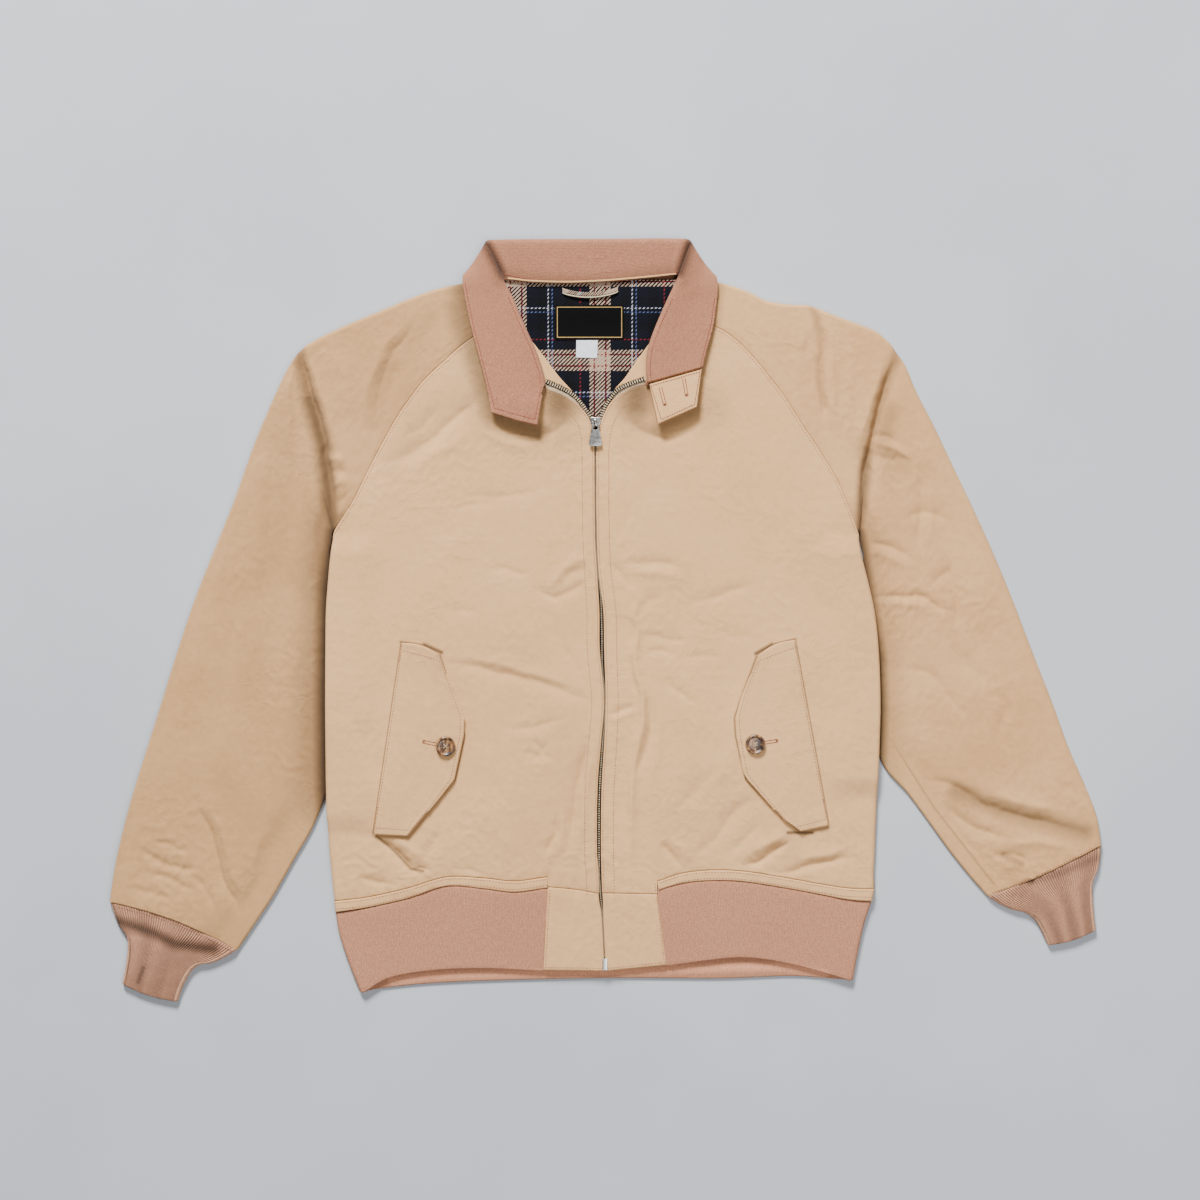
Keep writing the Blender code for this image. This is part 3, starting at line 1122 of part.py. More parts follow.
def make_bail_form(x, y, base):
    """The arch on the slider, open towards the hem; its foot sinks into the slider."""
    profile = ((-3.2, -0.6), (-3.2, 2.7), (-2.0, 3.7), (3.4, 3.7), (4.2, 3.1),
               (4.2, 2.4), (3.2, 2.7), (-1.4, 2.7), (-1.9, 2.2), (-1.9, -0.6))
    mesh_data = bmesh.new()
    sides = []
    for side_x in (x - BAIL_WIDTH / 2, x + BAIL_WIDTH / 2):
        sides.append([mesh_data.verts.new(to_metres((side_x, y + a, base + b))) for a, b in profile])
    for side in sides:
        mesh_data.faces.new(side)
    for i in range(len(profile)):
        k = (i + 1) % len(profile)
        mesh_data.faces.new((sides[0][i], sides[0][k], sides[1][k], sides[1][i]))
    return finish_object("zip_slider_bail_form", mesh_data, NICKEL)


def make_pull():
    """The pull: a slotted plate whose top bar lies under the bail, on its hinge."""
    hinge = bpy.data.objects.new("pull_hinge", None)
    hinge.location = to_metres(HINGE_AT)
    bpy.context.collection.objects.link(hinge)
    half_outline = ((0.0, -1.0), (2.6, -1.0), (3.9, 0.2), (3.9, 7.0), (4.4, 9.0), (6.2, 20.0),
                    (6.4, 23.0), (5.4, PULL_LENGTH), (0.0, PULL_LENGTH))
    half_slot = ((0.0, 0.9), (2.0, 0.9), (2.2, 1.4), (2.2, 6.6), (1.4, 7.6), (0.0, 7.8))
    mesh_data = bmesh.new()
    layers = []
    for z in (-PULL_THICK / 2, PULL_THICK / 2):
        rings, edges = [], []
        for half in (half_outline, half_slot):
            loop = list(half) + [(-a, b) for a, b in half[-2:0:-1]]
            ring = [mesh_data.verts.new((a / 1000, -b / 1000, z / 1000)) for a, b in loop]
            edges += [mesh_data.edges.new((ring[i], ring[(i + 1) % len(ring)]))
                      for i in range(len(ring))]
            rings.append(ring)
        bmesh.ops.triangle_fill(mesh_data, use_beauty=True, edges=edges)
        layers.append(rings)
    for low, high in zip(*layers):
        for i in range(len(low)):
            k = (i + 1) % len(low)
            mesh_data.faces.new((low[i], low[k], high[k], high[i]))
    pull = finish_object("zip_pull", mesh_data, NICKEL)
    pull.parent = hinge
    return pull


def make_zip_box():
    """The retainer box at the foot of the zip."""
    x = (zip_edge(965, True) + zip_edge(965, False)) / 2
    top = front_top(x, 965) + 0.6
    outline = ((x - 3.4, 959.0), (x + 3.4, 959.0), (x + 3.4, 970.0), (x - 3.4, 970.0))
    return prism("zip_box", outline, lambda a, b: front_top(a, b) + SEAM,
                 lambda a, b: top + 1.4, NICKEL)


# ------------------------------------------------------------ the jacket
def clear_scene():
    for item in list(bpy.data.objects):
        bpy.data.objects.remove(item, do_unlink=True)


def make_jacket():
    """Make every piece; what lies on a panel is made after that panel."""
    back = make_back()
    sides = (("right", False), ("left", True))
    fronts, rib_tops = {}, {}
    for side, left in sides:
        fronts[left], hem_outer, hem_inner = make_front(f"front_{side}", left)
        rib_tops[left] = make_welt(f"hem_welt_{side}", left, hem_outer, hem_inner)
        make_block(f"hem_block_{side}", left, hem_outer)
        make_tape(f"zip_tape_{side}", left)
        make_sleeve(f"sleeve_{side}", left)
    make_waist_rib(rib_tops[False], rib_tops[True])
    make_cuff("cuff_right", CUFF_RIGHT, (6, 5, 4, 3, 3, 2, -3))
    make_cuff("cuff_left", CUFF_LEFT, (-3, -3, -2, -2, -2, -2, -3))
    make_collar()
    make_collar_tab()
    make_neck_tape()
    inside = Surface(make_lining(Surface(back)))
    make_facing("facing_right", FACING_RIGHT, inside)
    make_facing("facing_left", FACING_LEFT, inside)
    make_patch("neck_label", ((555, 305), (624, 305), (624, 339.6), (555, 339.6)), 4, 6,
               inside, LABEL, BLACK_LABEL)
    make_patch("size_label", ((576.3, 340), (597.8, 340), (597.2, 358), (576, 357.4)), 3, 3,
               inside, LABEL, WHITE_LABEL)
    make_hanger_loop(inside)
    make_flap_and_button("right", FLAP_RIGHT, BUTTON_RIGHT, fronts[False])
    make_flap_and_button("left", FLAP_LEFT, BUTTON_LEFT, fronts[True])
    make_slider()
    make_pull()
    make_zip_box()


def make_flap_and_button(side, outline, button_place, front):
    flap = make_flap(f"pocket_flap_{side}", outline, Surface(front))
    make_button(f"button_{side}", button_place, Surface(flap))


clear_scene()
make_jacket()
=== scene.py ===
"""Looks of a harrington jacket laid flat, front up, with its zip drawn up to the throat.

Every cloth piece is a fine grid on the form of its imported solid, with the jacket's
folds, turned edges, stitches and zip teeth.  Tables give places on the cutting
board in millimetres: x runs to the wearer's left, y from collar to hem, z up.
"""
import logging
import math
from dataclasses import dataclass, field
from enum import Enum
from typing import NamedTuple, Sequence

import bmesh
import bpy
import numpy as np
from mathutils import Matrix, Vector
from mathutils.bvhtree import BVHTree


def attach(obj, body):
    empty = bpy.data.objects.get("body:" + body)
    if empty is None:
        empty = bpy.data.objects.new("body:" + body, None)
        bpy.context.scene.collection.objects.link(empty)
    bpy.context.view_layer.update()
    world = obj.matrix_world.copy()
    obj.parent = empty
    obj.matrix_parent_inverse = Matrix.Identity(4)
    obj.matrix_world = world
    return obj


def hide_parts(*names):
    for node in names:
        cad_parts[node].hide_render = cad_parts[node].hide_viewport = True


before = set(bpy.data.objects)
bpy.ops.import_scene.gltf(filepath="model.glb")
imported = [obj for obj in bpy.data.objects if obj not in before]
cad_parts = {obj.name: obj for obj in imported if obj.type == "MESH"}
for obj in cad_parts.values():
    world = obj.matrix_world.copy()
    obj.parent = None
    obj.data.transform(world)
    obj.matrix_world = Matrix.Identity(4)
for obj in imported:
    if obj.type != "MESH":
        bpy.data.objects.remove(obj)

LOG = logging.getLogger("jacket")
Array = np.ndarray
Places = Sequence[tuple[float, float]]

# ---------------------------------------------------------------- sizes (mm)
ORIGIN_X = 605.5
ORIGIN_Y = 620.0
CLOTH = 2.6
KNIT = 2.8
LINING = 2.0
LAYER_GAP = 3.6
SIDE_GAP = 1.8
THROAT_GAP = 4.4
SLEEVE_HEIGHT = 8.6
UNDERARM_HEIGHT = 5.4
SIDE_LIFT = 5.9
SIDE_LIFT_FULL = 24.0
SIDE_LIFT_END = 58.0
COLLAR_LIFT = 3.3
RIB_HEIGHT = 7.8
EDGE_ROUND = 1.2          # radius of a turned cloth edge
CELL = 2.0                # spacing of the shell's grids
PLACKET = 12.5            # zip edge to placket stitch
STITCH_PITCH = 3.1
FOLD_STRENGTH = 1.8       # scale of the folds in the table below
FOCUS_HEIGHT = 8.0        # level at which the camera's frame has its full width
FRAME_WIDTH = 1.2         # metres
FRAME_MIDDLE = (600.0, 600.0)
UNDERARM_Y = 529          # level where the raglan seams end
UNDERARMS = ((352, 512), (841, 511))
UNDERARM_SWELL = 2.6      # extra air where seams and sleeves meet
UNDERARM_REACH = 42
THROAT_FOOT_Y = 424       # level where the throat closes
THROAT_X = 596
HEM_Y = 872               # middle level of the hem
HEM_START_Y = 800
ZIP_FOOT_Y = 971.0
BACK_HEM_Y = 889.0
FRONT_STEP = 0.15         # the panel's edge above its welt
RIB_LENGTH = 76           # knit from the welt to the waist rib's edge
BLOCK_LENGTH = 78
RIB_CUT_WIDTH = 1075      # of the waist rib's knit laid out
CUFF_RIB_PITCH = 2.8
TURN_STEPS = 9            # places round the waist rib's side fold
CUFF_TURN_STEPS = 7
CUFF_BACK_COUNT = 30      # places across a cuff's underside
CUFF_RIB_DEPTH = 0.42


class Slot(str, Enum):
    """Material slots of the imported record."""

    TAN = "tan_cotton"
    RIB = "rib_knit"
    PLAID = "plaid_lining"
    TAPE = "zip_tape"
    HORN = "horn"
    NICKEL = "nickel"
    BLACK_LABEL = "black_label"
    WHITE_LABEL = "white_label"


# ------------------------------------------------------- outline tables (mm)
class SideLevel(NamedTuple):
    """The body's two side folds at one level."""

    y: float
    right_x: float
    left_x: float


SIDE_EDGES = tuple(SideLevel(*row) for row in (
    (529, 335.4, 857), (542, 332.4, 859.3), (556, 330.5, 861.5), (580, 328.2, 867.6), (612, 326, 874.6),
    (650, 325.5, 878.7), (700, 325.2, 880.4), (740, 325.5, 879.6), (775, 325.9, 878.4),
    (800, 326.3, 877.2), (812, 326.8, 876.6), (826, 327.8, 875.9), (840, 328.7, 875.4),
    (870, 331.4, 874.2), (901, 334.2, 874.8)))


class YokeRow(NamedTuple):
    """Throat or zip edge, front raglan seam, shoulder fold and back raglan seam."""

    throat_x: float
    throat_y: float
    seam_x: float
    seam_y: float
    over_x: float
    over_y: float
    back_x: float
    back_y: float


YOKE_RIGHT = tuple(YokeRow(*row) for row in (
    (511.5, 325, 503, 320, 490, 278.5, 501, 282.5), (524, 350, 468.2, 340.2, 461, 283.5, 474, 312),
    (538, 375, 444, 361, 434, 289.5, 452, 344), (547.5, 388.5, 424, 380, 405, 300, 430, 369),
    (563, 395, 411, 396.5, 383, 309.5, 415, 388), (581, 407.5, 398, 415, 362, 318, 400, 410),
    (591.3, 424, 383, 441.5, 340, 327.5, 383, 441), (594.3, 447, 368.5, 469.5, 321, 336.5, 368, 470),
    (594.7, 475, 352, 503, 307, 344.5, 352, 503), (595, 505, 335.4, 529, 299.5, 351, 335.4, 529)))
YOKE_LEFT = tuple(YokeRow(*row) for row in (
    (680.5, 323, 687, 318.5, 694, 279, 686, 280.5), (667.5, 350, 716, 327, 719, 282.5, 708, 305),
    (652.5, 373, 737, 340.5, 744, 289.5, 731, 331), (645.5, 383, 757, 361, 766, 300, 751, 353),
    (630, 388.5, 770, 377.5, 788, 304, 768, 375), (611, 402, 785, 397, 810, 305.5, 785, 397),
    (600.2, 424, 802, 424, 835, 315, 802, 424), (596.4, 447, 820, 451, 858, 323.5, 820, 451),
    (596.3, 475, 839, 484, 877, 331.5, 839, 484), (596.2, 505, 857, 529, 892, 345, 857, 529)))


class ZipLevel(NamedTuple):
    """Middle of the zip and the gap between the front edges at one level."""

    y: float
    middle_x: float
    gap: float


ZIP_LINE = tuple(ZipLevel(*row) for row in (
    (424, 595.5, 3.4), (447, 595.3, 2), (475, 595.5, 1.7), (505, 595.6, 1.6), (560, 596.8, 1.4),
    (583, 599.2, 1.6), (600, 601, 3.4), (635, 601.9, 4.2), (665, 602.3, 4), (690, 604.3, 2),
    (712, 605, 1.3), (746, 602.4, 3.2), (788, 599.6, 3.8), (835, 599, 3.8), (875, 599.4, 3.8),
    (900, 601, 3.6), (918, 602.6, 1.4), (971, 605.2, 1.2)))


class HemPoint(NamedTuple):
    """Where a front panel ends and where its rib starts."""

    x: float
    panel_y: float
    rib_y: float


HEM_RIGHT = tuple(HemPoint(*row) for row in (
    (334.2, 901, 912), (368, 897, 907), (408, 888, 898), (446, 877, 886), (483, 878, 888.5),
    (514, 881, 892), (546, 877, 888)))
HEM_LEFT = tuple(HemPoint(*row) for row in (
    (658, 881, 890), (683, 873, 883), (712, 870, 880.3), (743, 871, 881), (782, 877, 886.5),
    (821, 884, 893), (848, 888, 897.5), (874.8, 889, 899)))
BLOCK_TOP_RIGHT = ((549, 887.0), (575, 889.5), (602, 894.0))
BLOCK_TOP_LEFT = ((603, 893.0), (630, 893.5), (656, 894.0))
BLOCK_SIDE_RIGHT = ((547.7, 887.0), (543.4, 970.2))
BLOCK_SIDE_LEFT = ((657.2, 881.0), (666.6, 965.0))


class SleeveRow(NamedTuple):
    """Overarm and underarm folds of a sleeve; bow curves the row."""

    over_x: float
    over_y: float
    under_x: float
    under_y: float
    bow: float


SLEEVE_RIGHT = tuple(SleeveRow(*row) for row in (
    (296, 355, 332.6, 533, -4), (286, 371, 331, 545, -3), (271, 403, 329.4, 556, -1),
    (253, 446, 334, 580, 0), (235, 497, 339, 612, 0), (215, 547, 341, 650, 0), (194, 600, 341, 700, 0),
    (176, 654, 336, 746, 0), (159, 709, 329, 784, 0), (144, 756, 314, 824, 0), (131, 798, 293, 861, 1),
    (121, 836, 273, 896, 2), (114, 868, 254, 925, 4), (109, 902, 236.5, 951, 6)))
SLEEVE_LEFT = tuple(SleeveRow(*row) for row in (
    (896.5, 352, 859.5, 533, 5), (906, 366, 861, 545, 3), (917, 392, 863.4, 557, 1),
    (934, 425, 862, 582, 0), (953, 465, 861.5, 614, 0), (974, 509, 863, 650, 0), (996, 558, 866, 695, 0),
    (1016, 607, 873, 738, 0), (1035, 657, 886, 769, 0), (1053, 703, 908, 793.5, 0),
    (1069, 747, 932, 826, 0), (1085, 784, 950, 851, 0), (1097, 815, 970, 876, -1),
    (1102, 845, 988, 896.5, -3)))


class CuffRow(NamedTuple):
    """The two folds of a cuff, its height and its bow, from seam to hem."""

    low_x: float
    low_y: float
    high_x: float
    high_y: float
    height: float
    bow: float


CUFF_RIGHT = tuple(CuffRow(*row) for row in (
    (109, 901.5, 236.5, 950.5, 7.6, 6), (113, 913, 226, 957, 6.8, 5), (117.5, 925, 212, 963.5, 6.6, 4),
    (126, 938, 199, 965.5, 7.2, 3), (126.5, 953, 190, 973, 7.4, 3), (124, 971, 181.5, 989, 7.4, 2),
    (121.5, 983, 177.5, 1001, 7, -3)))
CUFF_LEFT = tuple(CuffRow(*row) for row in (
    (988, 896.5, 1102, 845, 7.6, -3), (1000, 904.5, 1101, 859, 6.8, -3), (1012, 910, 1099, 870, 6.6, -2),
    (1026, 913.5, 1094, 882, 7.2, -2), (1036, 921, 1093.5, 895, 7.4, -2),
    (1042, 931, 1094.5, 910, 7.4, -2), (1048, 944.5, 1096.5, 929, 7, -3)))


class Ends(NamedTuple):
    """A row from one plan place to another."""

    x0: float
    y0: float
    x1: float
    y1: float


# the waist rib's two side folds, from its top seam down
RIB_FOLDS = tuple(Ends(*row) for row in (
    (335, 912.4, 872.2, 901.4), (339, 935, 864.5, 925), (348.5, 964, 858, 955),
    (359.5, 991.5, 853.5, 979.5)))
RIB_FRONT_RIGHT_EDGE = ((359.5, 991.5), (386, 977), (431, 969.5), (483, 967.5), (543, 970))
RIB_FRONT_LEFT_EDGE = ((667, 965), (704, 960), (743, 956.5), (782, 961), (821, 970),
                       (853.5, 979.5))
RIB_BACK_EDGE = ((359.5, 991.5), (378, 987.5), (431, 982.5), (509, 979.5), (619, 977.5),
                 (717, 978), (787, 975.5), (821, 977), (853.5, 979.5))
BACK_RIB_TOP = ((335.0, 912.4), (872.2, 901.4))


class CollarRow(NamedTuple):
    """Stand seam, roll and free edge of the collar at one section."""

    seam_x: float
    seam_y: float
    seam_z: float
    roll_x: float
    roll_y: float
    stand_z: float
    fall_z: float
    free_x: float
    free_y: float
    free_z: float


COLLAR_RIGHT = tuple(CollarRow(*row) for row in (
    (545, 389.5, 11.6, 544.2, 386, 11.6, 15.6, 537.8, 426.4, 18.6),
    (543.6, 385, 11.6, 543.6, 380.5, 11.5, 15.5, 514.4, 420.6, 18.2),
    (541.4, 379.5, 11.6, 542.4, 374.5, 11.4, 15.3, 491.4, 413.2, 17.4),
    (536, 369, 11.6, 539.8, 365, 11.4, 15.1, 487, 388, 15.6),
    (527, 352, 11.6, 534, 349, 11.4, 15, 479, 357, 14.2),
    (517, 335, 11.6, 523, 325, 11.5, 15.1, 470.5, 325, 13.6),
    (508.5, 317, 11.6, 512, 299, 11.6, 15.2, 465, 298, 12.8),
    (502.5, 303, 11.6, 502, 280, 11.8, 15.2, 462.8, 284.5, 12.8),
    (500, 292, 11.5, 494.5, 262, 12.2, 14.8, 462.8, 278, 11),
    (500.5, 285.5, 11.2, 488.5, 248, 12.6, 12.6, 463.8, 276, 7),
    (502.5, 282, 10.9, 486.5, 243, 13, 8.4, 466.5, 276.8, 3.4),
    (506, 280.5, 10.6, 489.5, 241.6, 13.2, 5.6, 472, 283, 1.5),
    (514, 281, 10.5, 498, 241.2, 13.2, 5, 486, 293, 1.5),
    (532, 283, 10.5, 518, 240.8, 13.2, 5, 512, 298, 1.5),
    (568, 284, 10.5, 560, 240.6, 13.2, 5, 556, 300, 1.5),
    (605, 282.5, 10.5, 605, 240.4, 13.2, 5, 605, 300, 1.5)))
COLLAR_LEFT = tuple(CollarRow(*row) for row in (
    (646, 386.5, 11.6, 648.2, 383.4, 11.4, 15.2, 702.6, 368, 15.2),
    (651.5, 370.5, 11.6, 647, 368, 11.4, 15.1, 704.5, 359, 14.9),
    (660.5, 354, 11.6, 649, 349, 11.4, 15, 707.5, 348, 14.4),
    (671, 338, 11.6, 657.5, 325, 11.5, 15.1, 713.5, 325, 13.6),
    (680, 318, 11.6, 669, 299, 11.6, 15.2, 717, 300, 12.8),
    (686, 303, 11.6, 678, 280, 11.8, 15.2, 717.8, 288, 12.8),
    (687.5, 291, 11.5, 684.5, 262, 12.2, 14.8, 717, 280, 11.2),
    (686, 282.5, 11.2, 689, 248, 12.6, 12.6, 715, 277, 7),
    (682.5, 277, 10.9, 690.3, 243, 13, 8.4, 711, 277.5, 3.4),
    (678.5, 275.6, 10.6, 687.5, 240.8, 13.2, 5.6, 705, 284, 1.5),
    (671, 275.8, 10.5, 679, 240.2, 13.2, 5, 693, 294, 1.5),
    (656, 278, 10.5, 660, 239.8, 13.2, 5, 670, 298, 1.5),
    (630, 280.5, 10.5, 632, 240.2, 13.2, 5, 636, 300, 1.5)))
NECK_SEAM = ((506, 280.5), (514, 281), (532, 283), (568, 284), (605, 282.5), (630, 280.5), (656, 278),
             (678.5, 275.6))
TAB_CORNERS = ((647.9, 384.2), (702.6, 368.8), (697.0, 408.4), (657.2, 426.4))


# the shown lining
LINING_ROWS = tuple(Ends(x0, y, x1, y) for y, x0, x1 in (
    (280, 498, 686), (300, 500, 682), (318, 506, 677), (336, 514, 668), (352, 524, 658),
    (372, 544, 642), (392, 562, 626), (412, 577, 615), (432, 586, 606)))


# a facing's lining edge and tape edge
FACING_RIGHT = tuple(Ends(*row) for row in (
    (528, 336, 522, 342), (541, 352.5, 534, 358), (551, 366, 540.5, 376), (560.5, 378, 546, 390),
    (571.5, 390, 563, 392.5), (581.5, 401.5, 575.5, 402.5), (588.5, 411.5, 584.5, 413.5)))
FACING_LEFT = tuple(Ends(*row) for row in (
    (652, 339.5, 658, 344), (642.5, 352.5, 650, 358), (634, 364.5, 649.5, 371.5), (624.5, 378, 645, 386),
    (616, 387.5, 625.5, 389), (608.5, 397.5, 613.5, 399.5), (602.5, 409, 605.5, 411.5)))


# the tape's toothed edge, and its edge sewn under the front
TAPE_RIGHT_THROAT = tuple(Ends(*row) for row in (
    (546.5, 380.6, 543, 391), (560.8, 386.6, 555, 396.5), (575.4, 395.4, 567.5, 406),
    (587, 409.6, 578.5, 417), (593, 419.5, 583.5, 425), (594.3, 432, 585.5, 434)))
TAPE_LEFT_THROAT = tuple(Ends(*row) for row in (
    (644, 378, 647.5, 389), (630.4, 382.6, 635, 393), (616.6, 389.6, 624, 400), (606.2, 402.8, 614.5, 411),
    (600.2, 416, 608.5, 423), (597, 432, 606, 434)))

FLAP_RIGHT = ((401.5, 643), (429, 648), (439, 654.5), (446, 670), (456, 695), (465, 718),
              (464, 736), (456, 773), (454.5, 779.5), (436, 803), (418, 824), (408, 835.5),
              (390, 835), (373.2, 834))
FLAP_LEFT = ((795, 640), (767, 648), (758, 655.5), (751, 672), (741, 697), (735, 718),
             (736, 736), (743, 773), (747, 779.5), (766, 801), (783, 820), (800, 831),
             (814, 828.5), (828.4, 825))


@dataclass(frozen=True)
class Side:
    """One half of the jacket: its tables, and whether it is the wearer's left.

    Attributes:
        name: Word for the side in piece names.
        left: Whether it is the wearer's left.
        out: 1 where x grows away from the zip, -1 where it falls.
        yoke: Rows of the raglan yoke.
        hem: Places of the panel's hem, in order of x.
        block_top: Top seam of the hem block.
        block_side: Seam between the block and the rib.
        rib_edge: Free edge of the front rib.
        sleeve: Rows of the sleeve below the yoke.
        cuff: Rows of the cuff.
        facing: Rows of the inside facing.
        tape: Rows of the tape in the open throat.
        flap: Outline of the pocket flap.
        button: Middle of the button.
        button_turn: Turn of the button.
        keyhole: Eye and end of the flap's buttonhole.
    """

    name: str
    left: bool
    out: int
    yoke: tuple[YokeRow, ...]
    hem: tuple[HemPoint, ...]
    block_top: Places
    block_side: Places
    rib_edge: Places
    sleeve: tuple[SleeveRow, ...]
    cuff: tuple[CuffRow, ...]
    facing: tuple[Ends, ...]
    tape: tuple[Ends, ...]
    flap: Places
    button: tuple[float, float]
    button_turn: float
    keyhole: Places

    @property
    def block_hem(self) -> HemPoint:
        """The hem's place beside the block."""
        return self.hem[0] if self.left else self.hem[-1]

    @property
    def outer_hem(self) -> HemPoint:
        """The hem's place at the side fold."""
        return self.hem[-1] if self.left else self.hem[0]

    @property
    def rib_top(self) -> tuple[float, float]:
        """Top of the waist rib's side fold."""
        return RIB_FOLDS[0][2:4] if self.left else RIB_FOLDS[0][0:2]


SIDES = (
    Side("right", False, -1, YOKE_RIGHT, HEM_RIGHT, BLOCK_TOP_RIGHT, BLOCK_SIDE_RIGHT,
         RIB_FRONT_RIGHT_EDGE, SLEEVE_RIGHT, CUFF_RIGHT, FACING_RIGHT, TAPE_RIGHT_THROAT,
         FLAP_RIGHT, (446, 746), 0.1, ((424.5, 741.6), (436.6, 744))),
    Side("left", True, 1, YOKE_LEFT, HEM_LEFT, BLOCK_TOP_LEFT, BLOCK_SIDE_LEFT,
         RIB_FRONT_LEFT_EDGE, SLEEVE_LEFT, CUFF_LEFT, FACING_LEFT, TAPE_LEFT_THROAT,
         FLAP_LEFT, (755, 744), -0.15, ((776, 740.5), (764.6, 742.4))),
)


class Fold(NamedTuple):
    """A ridge (+) or trough (-) along a path.

    right is its width to the right of a path that runs down the board, left the other one.
    """

    height: float
    right: float
    left: float
    path: tuple[tuple[float, float], ...]


